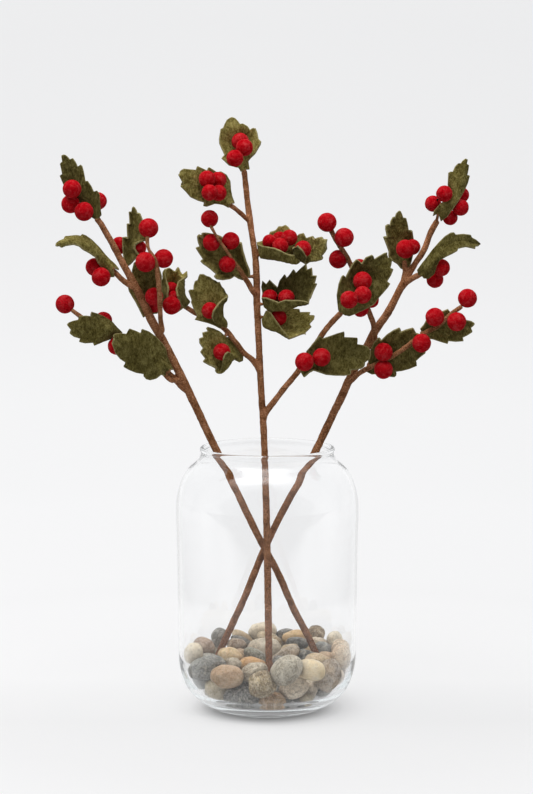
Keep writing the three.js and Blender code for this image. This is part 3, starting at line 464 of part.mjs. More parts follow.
// Touching pebbles of a heap: [heap, from, to].
const CONTACTS = [
  [0, [6.5, 3.7, 19.7], [-2, -2.1, 19]],
  [0, [10.5, -9.2, 29.1], [14.9, -13.1, 21.8]],
  [0, [12.7, 10.9, 33.9], [12, 8.8, 25.1]],
  [0, [16.2, 1.1, 18.8], [18.7, -9.3, 18]],
  [0, [3.3, -5.6, 35.6], [-5, -0.2, 36.5]],
  [0, [8.4, -11.5, 36.2], [10.1, -18.4, 41.2]],
  [0, [13.1, -5.2, 48], [8.5, -6.4, 38.6]],
  [0, [-31.3, -13.8, 52.6], [-21.2, -17.9, 49.8]],
  [0, [-12.5, -9.9, 53], [-13.7, -16.2, 50.2]],
  [0, [1.8, 17, 50.9], [9, 13.2, 42.8]],
  [0, [22.5, 6.1, 56], [20, -1.3, 54.9]],
  [0, [-8.4, -5.3, 50.3], [-7.5, 0.2, 40.5]],
  [1, [35.9, 18.7, 21.4], [37.4, 24.1, 28.4]],
  [1, [65.6, 3.2, 38.4], [61.1, -2.1, 46]],
  [1, [57.2, 26.7, 32.3], [45.7, 27.1, 31.9]],
  [1, [57.8, 30.6, 58.8], [65.6, 32.5, 60.2]],
  [1, [48.9, 3.1, 19.9], [41, 11.5, 17.9]],
  [1, [31.9, 0.1, 26.3], [34.1, 8.9, 19.6]],
  [1, [60.6, 30.3, 31.3], [55.9, 39.1, 31.6]],
  [1, [70.2, 4.9, 55.5], [63, -1.4, 51.6]],
  [1, [54.5, 26.4, 57.8], [57.1, 20.3, 55.9]],
  [1, [63.4, 1.5, 30.3], [56.1, -2.3, 24.8]],
  [1, [63.2, 14.3, 54.6], [70.3, 9.9, 56.3]],
  [1, [43.3, -1.9, 51.9], [53.5, -4.9, 50.5]],
  [2, [21.8, 53.6, 28.3], [19.6, 45.8, 31.5]],
  [2, [33.9, 63.3, 38.3], [27, 60.9, 31.4]],
  [2, [15.7, 30, 24.3], [17.5, 37.3, 30.1]],
  [2, [17.6, 58.7, 25.7], [7.9, 59.5, 25.2]],
  [2, [21.1, 32.6, 43.5], [18.8, 39.1, 37.3]],
  [2, [30.1, 22.1, 58.2], [26.6, 25.2, 51.5]],
  [2, [7.3, 70.7, 37.1], [2.8, 64.9, 29.7]],
  [2, [37.2, 59.6, 43.5], [36.7, 50.4, 46.2]],
  [2, [19.2, 28.7, 19.4], [28.3, 35.1, 18.8]],
  [2, [-21, 52.3, 60.3], [-11.6, 54.9, 62.8]],
  [2, [9.8, 40.2, 54.5], [18.6, 33.8, 49.1]],
  [2, [3, 56.7, 64.3], [14.6, 56.6, 62.8]],
  [2, [30.6, 41.5, 59.6], [34.8, 43.3, 52.4]],
  [2, [-26, 48.1, 59.9], [-26.6, 43.1, 59.3]],
  [2, [-2.6, 52, 64], [1.4, 45, 60.9]],
  [2, [47.3, 47.4, 60.3], [40.1, 45.5, 51.6]],
  [3, [-16.1, 53.7, 33.7], [-19.6, 55.5, 25.9]],
  [3, [-29, 41.9, 25.2], [-25.9, 49.8, 22.4]],
  [3, [-8.7, 43.5, 20.2], [-16.6, 50.5, 20.6]],
  [3, [-36.5, 57.9, 32.4], [-28.4, 56, 25.3]],
  [3, [-19.9, 24.1, 19.6], [-26.1, 32.4, 23.9]],
  [3, [-34.7, 38.8, 25.7], [-45.1, 38.8, 24.7]],
  [3, [-16.3, 68.8, 42.9], [-15.5, 58.4, 39.6]],
  [3, [-55.4, 43.8, 39.6], [-53.3, 39.8, 30.5]],
  [3, [-5.5, 22.5, 30.8], [-11.2, 19.3, 22.7]],
  [3, [-27.3, 32.9, 30.9], [-27, 25.2, 35.4]],
  [3, [-44.2, 26.1, 62.9], [-36.1, 23.1, 59.9]],
  [3, [-29.4, 22.2, 54], [-28.1, 21.8, 43.8]],
  [4, [-38.1, 3.4, 31.9], [-34.8, 3, 23.2]],
  [4, [-43.6, 14.8, 20.5], [-37.2, 7.8, 19]],
  [4, [-28.5, 4.5, 46.9], [-35.9, 3.5, 41.1]],
  [4, [-29.2, -11.2, 25], [-31.3, -2.6, 20.6]],
  [4, [-47.6, 23.4, 35.5], [-46.6, 19.8, 27.1]],
  [4, [-41.7, -20.5, 22], [-32.9, -17.5, 25.5]],
  [4, [-39.9, 0.6, 18.7], [-51.8, -1.9, 20.9]],
  [4, [-33, -18, 31.9], [-40, -22.4, 37.4]],
  [4, [-55.2, 25.1, 39.7], [-64, 25.5, 38.2]],
  [4, [-62.7, -7.8, 59.7], [-60, -13.1, 55.4]],
  [4, [-62.5, -24.4, 30.5], [-53.2, -23.2, 23.7]],
  [4, [-55.6, -16.6, 51.5], [-47.4, -22.2, 43.2]],
  [5, [-9.5, -28, 24.3], [-13.4, -32.4, 31.7]],
  [5, [-13.7, -47.9, 44.8], [-15.2, -40.3, 39.3]],
  [5, [9.2, -52.4, 20.1], [14.6, -44.1, 20.6]],
  [5, [-11.9, -56.1, 46.3], [-9.3, -64.8, 42.7]],
  [5, [-16.5, -57.1, 24.9], [-3, -56.6, 22]],
  [5, [-23.5, -36.5, 23.1], [-18.8, -35.6, 31.1]],
  [5, [-55.3, -40.5, 45.3], [-50.5, -41.9, 35.3]],
  [5, [-0.6, -71.2, 44.3], [11.1, -71.8, 52]],
  [5, [-70.8, -29, 58.8], [-64.1, -35.3, 53.8]],
  [5, [-42.6, -40.7, 26.6], [-32.7, -38.1, 21.7]],
  [5, [-38.7, -36, 52.9], [-49.7, -38.2, 52.3]],
  [5, [-35.7, -60.4, 40.9], [-29.2, -58.4, 31.8]],
  [5, [-25, -52.5, 24.3], [-25.6, -43.2, 20.6]],
  [6, [41.2, -39.5, 24.4], [37.1, -39.8, 18.3]],
  [6, [54.2, -43.2, 38.8], [46.9, -40.5, 31.4]],
  [6, [46.5, -21.2, 30.3], [42.2, -21.5, 21.8]],
  [6, [41.8, -42.6, 26.3], [39.9, -48, 22.7]],
  [6, [54.2, -32.4, 52.6], [57.8, -39.8, 48.5]],
  [6, [52.5, -30.6, 21.3], [44.7, -26.3, 18.8]],
  [6, [45.5, -35.1, 30.6], [48.3, -27.3, 33.7]],
  [6, [33.2, -47.7, 33.4], [39.9, -42, 30.5]],
  [6, [39.2, -36.2, 29.9], [33.1, -30.4, 33.3]],
  [6, [72.2, -22.7, 50.7], [70, -18.9, 40.5]],
  [6, [72.5, -27.2, 50.3], [71.1, -30.7, 41.8]],
  [6, [54.2, -22, 35.4], [63, -19.5, 34.7]],
  [6, [39.4, -59, 48.9], [32.5, -54, 40]],
];

// ---------------------------------------------------------------- solids
const V = (p) => new THREE.Vector3(p[0], p[1], p[2]);

// A closed geometry as a solid: only the positions, with shared vertices merged.
function solid(geometry) {
  let g = geometry.clone();
  for (const name of Object.keys(g.attributes))
    if (name !== "position") g.deleteAttribute(name);
  g = mergeVertices(g, 1e-4);
  const index = new Uint32Array(g.index.array);
  return new wasm.Manifold(
    new wasm.Mesh({
      numProp: 3,
      vertProperties: g.attributes.position.array,
      triVerts: index,
    }),
  );
}

// A solid back as a geometry for a mesh.
function geometryOf(s) {
  const m = s.getMesh();
  const g = new THREE.BufferGeometry();
  const n = m.numProp;
  const pos = new Float32Array((m.vertProperties.length / n) * 3);
  for (let i = 0, k = 0; i < m.vertProperties.length; i += n) {
    pos[k++] = m.vertProperties[i];
    pos[k++] = m.vertProperties[i + 1];
    pos[k++] = m.vertProperties[i + 2];
  }
  g.setAttribute("position", new THREE.BufferAttribute(pos, 3));
  g.setIndex(new THREE.BufferAttribute(new Uint32Array(m.triVerts), 1));
  const flat = g.toNonIndexed();
  flat.computeVertexNormals();
  return flat;
}

// The largest body of a solid that a cut may have left in pieces, with tiny edges taken out.
function biggest(s) {
  const parts = s.simplify(FUSE).decompose();
  return parts.reduce((a, b) => (b.volume() > a.volume() ? b : a));
}

// A tube of varying radius along points [x, y, z, r], with flat ends.
function tube(points, sides, grow = 0) {
  const n = points.length;
  const P = points.map(V);
  const T = P.map((_, i) =>
    P[Math.min(i + 1, n - 1)].clone().sub(P[Math.max(i - 1, 0)]).normalize(),
  );
  const pos = [];
  let side = new THREE.Vector3(0, 1, 0);
  if (Math.abs(T[0].y) > 0.9) side.set(1, 0, 0);
  for (let i = 0; i < n; i++) {
    side = side.clone().addScaledVector(T[i], -side.dot(T[i])).normalize();
    const up = new THREE.Vector3().crossVectors(T[i], side);
    const c = P[i].clone();
    if (i === 0) c.addScaledVector(T[i], -grow);
    if (i === n - 1) c.addScaledVector(T[i], grow);
    for (let k = 0; k < sides; k++) {
      const a = (2 * Math.PI * k) / sides;
      const r = points[i][3] + grow;
      const v = c
        .clone()
        .addScaledVector(side, r * Math.cos(a))
        .addScaledVector(up, r * Math.sin(a));
      pos.push(v.x, v.y, v.z);
    }
  }
  const index = [];
  for (let i = 0; i + 1 < n; i++)
    for (let k = 0; k < sides; k++) {
      const a = i * sides + k,
        b = i * sides + ((k + 1) % sides);
      index.push(a, b, b + sides, a, b + sides, a + sides);
    }
  for (let k = 1; k + 1 < sides; k++) {
    index.push(0, k + 1, k);
    const e = (n - 1) * sides;
    index.push(e, e + k, e + k + 1);
  }
  const g = new THREE.BufferGeometry();
  g.setAttribute("position", new THREE.Float32BufferAttribute(pos, 3));
  g.setIndex(index);
  return g;
}

// A short straight link between two points.
const link = (a, b, r = LINK_RADIUS, sides = 3) =>
  solid(tube([[...a, r], [...b, r]], sides));

// A felt ball. Its facets lie just inside the round ball.
function ball([x, y, z, r], grow = 0) {
  const g = new THREE.IcosahedronGeometry(r + grow, 1);
  g.translate(x, y, z);
  return solid(g);
}

// A pebble: an ellipsoid of faceted stone.
function pebble([, at, q, half, seen]) {
  const large = Math.max(...half) > 15.5;
  const g = !seen
    ? new THREE.IcosahedronGeometry(1, 0)
    : large
      ? new THREE.IcosahedronGeometry(1, 1)
      : new THREE.SphereGeometry(1, 7, 4);
  g.scale(half[0], half[1], half[2]);
  g.applyQuaternion(new THREE.Quaternion(q[1], q[2], q[3], q[0]));
  g.translate(at[0], at[1], at[2]);
  return solid(g);
}

// Chord length along a column, from 0 to 1.
function chord(column) {
  const s = [0];
  for (let i = 1; i < column.length; i++)
    s.push(s[i - 1] + V(column[i]).distanceTo(V(column[i - 1])));
  return s.map((v) => v / s[s.length - 1]);
}

// Adds points to the shorter edge, on its longest segments, until both edges have as many.
function even(column, count) {
  const c = column.map((p) => [...p]);
  while (c.length < count) {
    let best = 0,
      long = -1;
    for (let i = 0; i + 1 < c.length; i++) {
      const d = V(c[i]).distanceTo(V(c[i + 1]));
      if (d > long) [long, best] = [d, i];
    }
    c.splice(best + 1, 0, c[best].map((v, k) => (v + c[best + 1][k]) / 2));
  }
  return c;
}

function along(column, t) {
  const s = chord(column);
  let k = 0;
  while (k + 2 < s.length && s[k + 1] < t) k++;
  const u = Math.min(1, Math.max(0, (t - s[k]) / (s[k + 1] - s[k])));
  const P = column.map(V);
  const m = (i) => {
    const a = Math.max(0, i - 1),
      b = Math.min(P.length - 1, i + 1);
    return P[b].clone().sub(P[a]).divideScalar(s[b] - s[a]);
  };
  const h = s[k + 1] - s[k],
    u2 = u * u,
    u3 = u2 * u;
  return P[k]
    .clone()
    .multiplyScalar(2 * u3 - 3 * u2 + 1)
    .addScaledVector(m(k), h * (u3 - 2 * u2 + u))
    .addScaledVector(P[k + 1], -2 * u3 + 3 * u2)
    .addScaledVector(m(k + 1), h * (u3 - u2));
}

// A leaf: the grid of its middle surface, thickened to both sides and closed round the edge.
function leaf({ thick, columns }, grow = 0) {
  const last = columns.length - 1;
  const count = Math.max(columns[0].length, columns[last].length);
  const left = even(columns[0], count),
    right = even(columns[last], count);
  const sl = chord(left),
    sr = chord(right);
  const rows = [];
  for (let k = 0; k < count; k++) {
    const t = (sl[k] + sr[k]) / 2;
    const row = [V(left[k])];
    for (let c = 1; c < last; c++) row.push(along(columns[c], t));
    row.push(V(right[k]));
    rows.push(row);
  }
  const nc = rows[0].length;
  const at = (i, j) => rows[Math.min(Math.max(i, 0), count - 1)][Math.min(Math.max(j, 0), nc - 1)];
  // Normals of the grid, smoothed once along the leaf.
  const raw = rows.map((row, i) =>
    row.map((_, j) => {
      const du = at(i, j + 1).clone().sub(at(i, j - 1));
      const v0 = new THREE.Vector3();
      for (let a = Math.max(0, i - 1); a <= Math.min(count - 1, i + 1); a++) {
        const up = at(a + 1, Math.round((nc - 1) / 2)).clone().sub(at(a - 1, Math.round((nc - 1) / 2)));
        v0.add(up);
      }
      return new THREE.Vector3().crossVectors(du, v0).normalize();
    }),
  );
  const normal = raw.map((row, i) =>
    row.map((n0, j) => {
      const s = n0.clone();
      if (i > 0) s.addScaledVector(raw[i - 1][j], 0.7);
      if (i < count - 1) s.addScaledVector(raw[i + 1][j], 0.7);
      return s.normalize();
    }),
  );
  const half = thick / 2 + grow;
  const pos = [];
  for (const side of [1, -1])
    rows.forEach((row, i) =>
      row.forEach((p, j) => {
        const v = p.clone().addScaledVector(normal[i][j], side * half);
        if (grow > 0) {
          if (j === 0) v.add(at(i, 0).clone().sub(at(i, 1)).setLength(grow));
          if (j === nc - 1) v.add(at(i, nc - 1).clone().sub(at(i, nc - 2)).setLength(grow));
        }
        pos.push(v.x, v.y, v.z);
      }),
    );
  const N = count * nc;
  const index = [];
  for (let i = 0; i + 1 < count; i++)
    for (let j = 0; j + 1 < nc; j++) {
      const a = i * nc + j,
        b = a + 1,
        c = a + nc,
        d = c + 1;
      // the shorter diagonal of each cell
      const short =
        rows[i][j].distanceTo(rows[i + 1][j + 1]) <=
        rows[i][j + 1].distanceTo(rows[i + 1][j]);
      if (short) {
        index.push(a, b, d, a, d, c);
        index.push(N + a, N + d, N + b, N + a, N + c, N + d);
      } else {
        index.push(a, b, c, b, d, c);
        index.push(N + a, N + c, N + b, N + b, N + c, N + d);
      }
    }
  const wall = (a, b) => index.push(a, N + a, N + b, a, N + b, b);
  for (let j = 0; j + 1 < nc; j++) {
    wall(j, j + 1);
    wall((count - 1) * nc + j + 1, (count - 1) * nc + j);
  }
  for (let i = 0; i + 1 < count; i++) {
    wall((i + 1) * nc, i * nc);
    wall(i * nc + nc - 1, (i + 1) * nc + nc - 1);
  }
  const g = new THREE.BufferGeometry();
  g.setAttribute("position", new THREE.Float32BufferAttribute(pos, 3));
  g.setIndex(index);
  return g;
}

// ---------------------------------------------------------------- jar
function jarGeometry() {
  const foot = JAR_FOOT_RADIUS,
    top = JAR_HEIGHT - RIM_TUBE;
  const profile = [[0, 0], [foot, 0]];
  const heelSteps = 6;
  for (let i = 1; i <= heelSteps; i++) {
    const a = (Math.PI / 2) * (i / heelSteps);
    profile.push([foot + JAR_HEEL * Math.sin(a), JAR_HEEL * (1 - Math.cos(a))]);
  }
  const body = [
    [89.9, 68.9],
    [JAR_BODY_RADIUS, 173],
    [92, 200],
    [91.6, 215.3],
    [87, 231.2],
    [81.3, 242.4],
    [72.2, 250.6],
    [67.3, 255.6],
  ];
  for (const p of body) profile.push(p);
  profile.push([66.5, 261]);
  for (const a of [-15, 50, 130, 195]) {
    const t = THREE.MathUtils.degToRad(a);
    profile.push([
      RIM_CENTRE_RADIUS + RIM_TUBE * Math.cos(t),
      top + RIM_TUBE * Math.sin(t),
    ]);
  }
  profile.push([64, 256]);
  // the inside face, from the shoulder down to the floor
  const inner = [
    [70.2, 248.4],
    [78.9, 240.6],
    [84.2, 230],
    [88.7, 214.6],
    [89.1, 200],
    [JAR_BODY_RADIUS - JAR_WALL, 173],
    [87, 68.9],
  ];
  for (const p of inner) profile.push(p);
  const innerRadius = 86.8;
  for (let i = heelSteps; i >= 0; i--) {
    const a = (Math.PI / 2) * (i / heelSteps);
    profile.push([
      innerRadius - JAR_INNER_HEEL + JAR_INNER_HEEL * Math.sin(a),
      JAR_FLOOR + JAR_INNER_HEEL * (1 - Math.cos(a)),
    ]);
  }
  profile.push([0, JAR_FLOOR]);
  const g = new THREE.LatheGeometry(
    profile.map(([r, z]) => new THREE.Vector2(r, z)),
    JAR_SEGMENTS,
  );
  g.rotateX(Math.PI / 2); // the lathe's axis stands up
  return g;
}

// ---------------------------------------------------------------- assembly
const group = new THREE.Group();

function add(name, geometry, color, roughness, extra = {}) {
  const mesh = new THREE.Mesh(
    geometry,
    new THREE.MeshStandardMaterial({ color, roughness, metalness: 0, ...extra }),
  );
  mesh.name = name;
  group.add(mesh);
  return mesh;
}

add("glass_jar", jarGeometry(), 0xe6edf0, 0.05, {
  transparent: true,
  opacity: 0.3,
  side: THREE.DoubleSide,
});

// Stems: each main stem with its fixed side twigs is one piece.
const stemSolids = {};
const stemCutters = [];
for (const [name, [main, ...twigs]] of Object.entries(STEMS)) {
  let s = solid(tube(main, STEM_SIDES));
  for (const t of twigs) s = s.add(solid(tube(t, TWIG_SIDES)));
  stemSolids[name + "_stem"] = biggest(s);
  stemCutters.push(solid(tube(main, STEM_SIDES, CLEAR)));
  for (const t of twigs) stemCutters.push(solid(tube(t, TWIG_SIDES, CLEAR)));
}
for (const [name, s] of Object.entries(stemSolids))
  add(name, geometryOf(s), BARK_BROWN, 0.9);

// Berry clusters.
const NODE_NAMES = {
  L1_front: "berries_L1_front",
  L1_back: "berry_L1_back",
  L2: "berries_L2",
  L3_back: "berry_L3_back",
  L3_front: "berry_L3_front",
  L4: "berries_L4",
  L5: "berries_L5",
  C1: "berries_C1",
  C2: "berries_C2",
  C4: "berry_C4",
  C5: "berry_C5",
  C6: "berries_C6",
  C6e: "berry_C6_low",
  C7: "berries_C7",
  C8: "berry_C8",
  R1_left: "berries_R1_left",
  R1_right: "berries_R1_right",
  R2: "berries_R2",
  R3: "berries_R3",
  R5: "berries_R5",
  R6: "berries_R6",
  front_twig: "spray_front",
  l6_twig: "spray_L6",
  c3_twig: "spray_C3",
  r4_twig: "spray_R4",
  r8_twig: "spray_R8",
};
const clusterSolids = {};
const twigCutters = {};
for (const [key, { berries, twig, links }] of Object.entries(CLUSTERS)) {
  let s = null;
  for (const b of berries) {
    const one = ball(BERRIES[b]);
    s = s ? s.add(one) : one;
  }
  for (const [a, b] of links) s = s.add(link(a, b));
  if (twig) {
    s = s.add(solid(tube(TWIGS[key], TWIG_SIDES)));
    twigCutters[key] = solid(tube(TWIGS[key], TWIG_SIDES, CLEAR));
  }
  clusterSolids[NODE_NAMES[key]] = s.simplify(FUSE);
}

// Leaves: the soft felt gives way round the stems, twigs and berries that press on it.
function near(a, b) {
  const p = a.boundingBox(),
    q = b.boundingBox();
  return [0, 1, 2].every((k) => p.min[k] < q.max[k] && q.min[k] < p.max[k]);
}
const ballCutters = Object.values(BERRIES).map((b) => ball(b, CLEAR));
for (const { links } of Object.values(CLUSTERS))
  for (const [a, b] of links) ballCutters.push(link(a, b, LINK_RADIUS + CLEAR));
for (const [name, def] of Object.entries(LEAVES)) {
  let s = solid(leaf(def));
  for (const c of [...stemCutters, ...Object.values(twigCutters), ...ballCutters])
    if (near(s, c)) s = s.subtract(c);
  if (name === "C6") s = s.subtract(solid(leaf(LEAVES.C6b, CLEAR)));
  add("leaf_" + name, geometryOf(biggest(s)), FELT_GREEN, 1);
}
for (const [name, s] of Object.entries(clusterSolids))
  add(name, geometryOf(s), FELT_RED, 1);

// Pebble bed: seven heaps of touching stones.
const heaps = [];
for (const p of PEBBLES) {
  const s = pebble(p);
  heaps[p[0]] = heaps[p[0]] ? heaps[p[0]].add(s) : s;
}
for (const [h, a, b] of CONTACTS) heaps[h] = heaps[h].add(link(a, b, LINK_RADIUS, 3));
const STONE = [0xb8a890, 0x8f8f88, 0xc4b596, 0xa08a6c, 0x9c988a, 0xb49a72, 0x857a6a];
heaps.forEach((s, i) => add("pebbles_" + (i + 1), geometryOf(s.simplify(2 * FUSE)), STONE[i], 0.7));

export default group;
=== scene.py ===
import math

import bmesh
import bpy
import numpy as np
from mathutils import Matrix, Quaternion, Vector
from mathutils.kdtree import KDTree


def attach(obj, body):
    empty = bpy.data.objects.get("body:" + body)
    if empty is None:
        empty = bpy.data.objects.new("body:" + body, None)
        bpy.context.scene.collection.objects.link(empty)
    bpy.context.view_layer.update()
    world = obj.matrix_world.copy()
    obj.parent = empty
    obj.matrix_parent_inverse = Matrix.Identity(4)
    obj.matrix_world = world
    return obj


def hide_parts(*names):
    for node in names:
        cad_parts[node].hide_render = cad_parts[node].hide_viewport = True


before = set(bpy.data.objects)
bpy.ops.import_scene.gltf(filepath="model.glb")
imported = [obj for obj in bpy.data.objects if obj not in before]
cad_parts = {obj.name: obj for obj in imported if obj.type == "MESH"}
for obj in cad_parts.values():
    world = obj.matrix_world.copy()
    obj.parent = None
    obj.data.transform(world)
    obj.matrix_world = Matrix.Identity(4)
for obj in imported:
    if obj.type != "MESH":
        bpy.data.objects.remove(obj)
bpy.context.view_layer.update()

MM = 0.001
scene = bpy.context.scene

# ------------------------------------------------------------------ camera: the photograph's viewing angle
cam_data = bpy.data.cameras.new("camera")
cam_data.sensor_width = 36.0
cam_data.sensor_fit = "AUTO"
cam_data.lens = 36.0 * 2470.0 / 794.0
cam_data.clip_start = 0.05
cam_data.clip_end = 50
camera = bpy.data.objects.new("camera", cam_data)
scene.collection.objects.link(camera)
camera.location = (-0.0008, -2.450, 0.612)
camera.rotation_euler = (math.radians(90 - 6.88), 0, 0)
scene.camera = camera

# ------------------------------------------------------------------ shapes, in millimetres
# stem centre lines: x, y, z, radius; the first of each is the main stem, the others its fixed twigs
STEMS = {
    "left": [
        [[-164.8, -50, 496.4, 3], [-161.4, -50, 491.5, 3.1], [-157.6, -49.5, 484.7, 3.2], [-150, -49, 471.1, 3.2], [-141.4, -48, 454.5, 3.3], [-131.9, -47, 436.9, 3.7], [-122.3, -45.5, 417.2, 4.1], [-113.2, -44, 397.5, 4.3], [-101.2, -42, 374.7, 4.3], [-91.6, -40, 355.8, 4.2], [-81.9, -38.5, 335.9, 4.09], [-64.4, -33, 297.5, 3.8745], [-49.4, -28.8, 264.5, 3.7956], [-30.6, -25.4, 225.4, 3.526], [-5.9, -18.4, 172.7, 3.526], [10.2, -12.6, 141.2, 3.526], [26.8, -4, 101.6, 3.526], [42.2, 3, 70.3, 3.526], [51.5, 9, 48.3, 3.526], [58.8, 13.6, 29, 3.44]],
        [[-122.201, -45.4837, 416.9857, 2.61], [-127.8712, -46.476, 426.7327, 2.9], [-130.4, -47, 429.6, 2.9], [-136.7, -48.5, 433.6, 2.8], [-142.4, -50, 438.6, 2.8], [-147.6, -52, 444.1, 2.7], [-152.3, -54, 448.1, 2.6]],
        [[-73.4044, -35.83, 317.2583, 2.7], [-79.3183, -37.6179, 326.8164, 3], [-82.4, -38.5, 329.4, 3], [-88.7, -39, 336.4, 2.9], [-95.5, -40, 343.5, 2.8], [-102.3, -41.5, 349.1, 2.7], [-110.1, -43, 354.1, 2.6]],
    ],
    "centre": [
        [[-22.8, 4.5, 540.2, 2.9], [-21.3, 2.5, 526.5, 2.9], [-19.6, -0.5, 510.8, 3], [-17.5, -3.5, 496.1, 3.2], [-15, -6.5, 477.5, 3.2], [-12.3, -9, 460.8, 3.2], [-10.5, -12, 432.4, 3.5], [-10.5, -13, 419.5, 3.7], [-8.6, -16.5, 377.2, 3.312], [-5.5, -21, 315.9, 3.4035], [-4.1496, -22, 296.1, 3.306], [-2.4513, -23.5, 258.2, 3.3291], [-0.8407, -26, 200.3, 3.588], [0.3398, -28.5, 143.2, 3.588], [1.1876, -31, 85.9, 3.588], [1.7801, -33, 47.7, 3.588], [2.5, -35, 18.6, 3.496]],
        [[-14.8587, -6.6309, 476.6258, 2.2176], [-16.5671, -4.7365, 487.6239, 2.464], [-17.3, -4, 491.2, 2.464], [-21.1, -6, 495.2, 2.464], [-28.9, -12, 502.4, 2.376], [-35.2, -17, 507.4, 2.288], [-39.6, -20, 510.1, 2.2], [-45.4, -24, 514.7, 1.936]],
        [[-11.5483, -10.2528, 448.9398, 2.3942], [-12.307, -8.9883, 460.1304, 2.7], [-12.6, -8.5, 463.8, 2.7], [-9.6, 1.5, 461.6, 2.4], [-4.3, 5.5, 460.9, 2.2], [4.7, 7, 461.3, 2.1], [14.6, 5.5, 461.9, 2.1], [21.5, 1, 461.6, 2], [26.4, -5.5, 461.2, 1.8]],
        [[-6.4018, -19.691, 333.7315, 2.4314], [-8.1145, -18.5983, 344.8969, 3], [-9.7, -18, 348.5, 3], [-14.2, -18.5, 355, 2.9], [-23, -20, 362.6, 2.8], [-31.3, -21, 373.6, 2.7], [-41, -22, 385.6, 2.6], [-54.8, -22.5, 395.6, 2.6], [-70.9, -21.5, 402.4, 2.6], [-79.3, -19, 407.2, 2.5], [-85.2, -17, 411, 2.3]],
        [[-3.7413, -22.3607, 286.9875, 2.3843], [-3.2507, -21.7941, 298.3175, 3.1412], [-2.2, -21.5, 302.1, 3.2], [1.8, -22, 308.2, 3.1], [7.2, -23, 315.3, 3], [18.6, -24, 330.3, 3], [30.8, -25.5, 345.4, 3], [39.3, -26.5, 359.4, 2.9], [51, -28, 376.9, 2.9], [58.5, -29, 387.8, 2.9], [65.7, -30, 396.3, 2.8], [73.5, -31, 404.8, 2.7], [78.4, -31, 411.2, 2.4]],
    ],
    "right": [
        [[170, 35, 489.3, 3.2], [163.2285, 33, 476.6858, 3.1], [158.8495, 31, 464.5252, 3.1], [146.8, 27, 445.6, 3.2], [138.1, 24, 431.7, 3.6], [120.8, 18, 399.5, 4], [106.9, 14, 379.3, 4.2], [101.6, 12, 368.9, 4.3], [86.1, 8, 341.6, 4.3], [75.7, 4, 319.4, 4.1678], [63.1011, -2, 293.7996, 3.9585], [46.8465, -8.5, 260.3826, 3.8557], [34.8781, -9.3, 238.2247, 3.567], [9.7657, -8.8, 191.3114, 3.567], [-4.5937, -8.2, 159.9468, 3.567], [-22.4936, -4.5, 114.6291, 3.567], [-40.3451, 2, 74.3634, 3.567], [-50.36, 7, 50.68, 3.567], [-63.4, 13.2, 24.4, 3.48]],
        [[127.6317, 20.3694, 412.2156, 2.7], [133.3366, 22.2881, 421.7779, 3], [135.6, 23, 424.7, 3], [139.5, 22, 429.3, 2.9], [145.9, 19, 434.1, 2.9], [154.6, 15, 439.4, 2.8], [159.9, 13, 444.5, 2.5]],
        [[128.9849, 20.8387, 414.7343, 2.7], [134.1259, 23.2213, 424.5132, 3], [135.7, 24.5, 427.7, 3], [137.5, 26, 434.6, 2.8], [138.5, 28, 440.5, 2.8], [137.8, 30, 449.4, 2.5]],
    ],
}
TWIGS = {
    "c3_twig": [[-10.1645, -13.6181, 412.0304, 2.457], [-12.4128, -16.4609, 421.3007, 2.73], [-14.8, -20.6, 424.6, 2.73], [-18, -21.5, 430.6, 2.8146], [-22, -23.5, 437.1, 2.5587], [-26.8, -27.5, 444.8, 2.1757], [-32.6, -32, 453.4, 1.8398], [-39, -37.5, 463.6, 1.5792], [-46.7, -42, 475.1, 1.4957], [-52.4, -44, 484.4, 1.4812], [-55, -44, 489.3, 1.4094]],
    "front_twig": [[-101.9103, -42.1184, 376.0495, 2.34], [-103.8162, -46.981, 384.8548, 2.6], [-102.4, -52.3, 388.5, 2.6], [-103.6, -56, 396.6, 2.5], [-103.9, -61, 408.8, 2.5], [-103.9, -64, 418.7, 2.5], [-105.1, -67, 433.5, 2.4], [-106.5, -69, 448.2, 2.3], [-108.3, -70, 457.9, 2.1], [-111.6, -70, 463.7, 1.9], [-114.8, -70, 469.4, 1.8], [-115.7, -69, 475.2, 1.8], [-115.6, -67, 480.8, 1.7]],
    "l6_twig": [[-80.2796, -37.9907, 332.3443, 2.16], [-87.8944, -42.6939, 338.3368, 2.4], [-93.8, -47.6, 338.4, 2.4], [-102, -49, 346.4, 2.3], [-114.7, -49.4, 356.8, 2.3], [-129.3, -48.6, 368.5, 2.3], [-143.9, -48.4, 378.3, 2.3], [-158.4, -49, 386.2, 2.3], [-172.8, -52, 395.8, 2.2], [-183.3, -54, 402.8, 2.2], [-189.5, -55, 407.8, 2.2]],
    "r4_twig": [[95.9241, 10.5353, 358.9031, 2.52], [102.7311, 7.8282, 366.2181, 2.8], [107.1, 3.5, 368.2, 2.8], [107, 3, 378.3, 2.8], [105.9, 2, 388.4, 2.8], [101.7, 0, 400.1, 2.7], [96.6, -2, 413.7, 2.7], [91, -4, 428.8, 2.6], [84.9, -6, 443.8, 2.6], [79.3, -8, 455.8, 2.6], [74.3, -9, 463.8, 2.6], [67.8, -11, 473.8, 2.6], [63.3, -12, 482.7, 2.6]],
    "r8_twig": [[77.4561, 4.6754, 323.1487, 2.34], [82.3707, 2.616, 331.321, 2.6], [85, -1.2, 334.1, 2.6], [90.4, -3.8, 339.9, 2.6], [96.7, -7.5, 344.3, 2.6], [102.5, -10, 347.4, 2.6], [111.8, -14, 352.5, 2.5], [121.5, -17, 357.8, 2.5], [133.2, -19.5, 365.6, 2.4], [142.9, -22, 373.2, 2.4], [155.5, -25, 383, 2.4], [168.1, -27, 390.1, 2.3], [175.8, -28, 397.1, 2.3], [182.6, -29, 403.6, 2.3], [190.3, -30, 409.1, 2.2]],
}
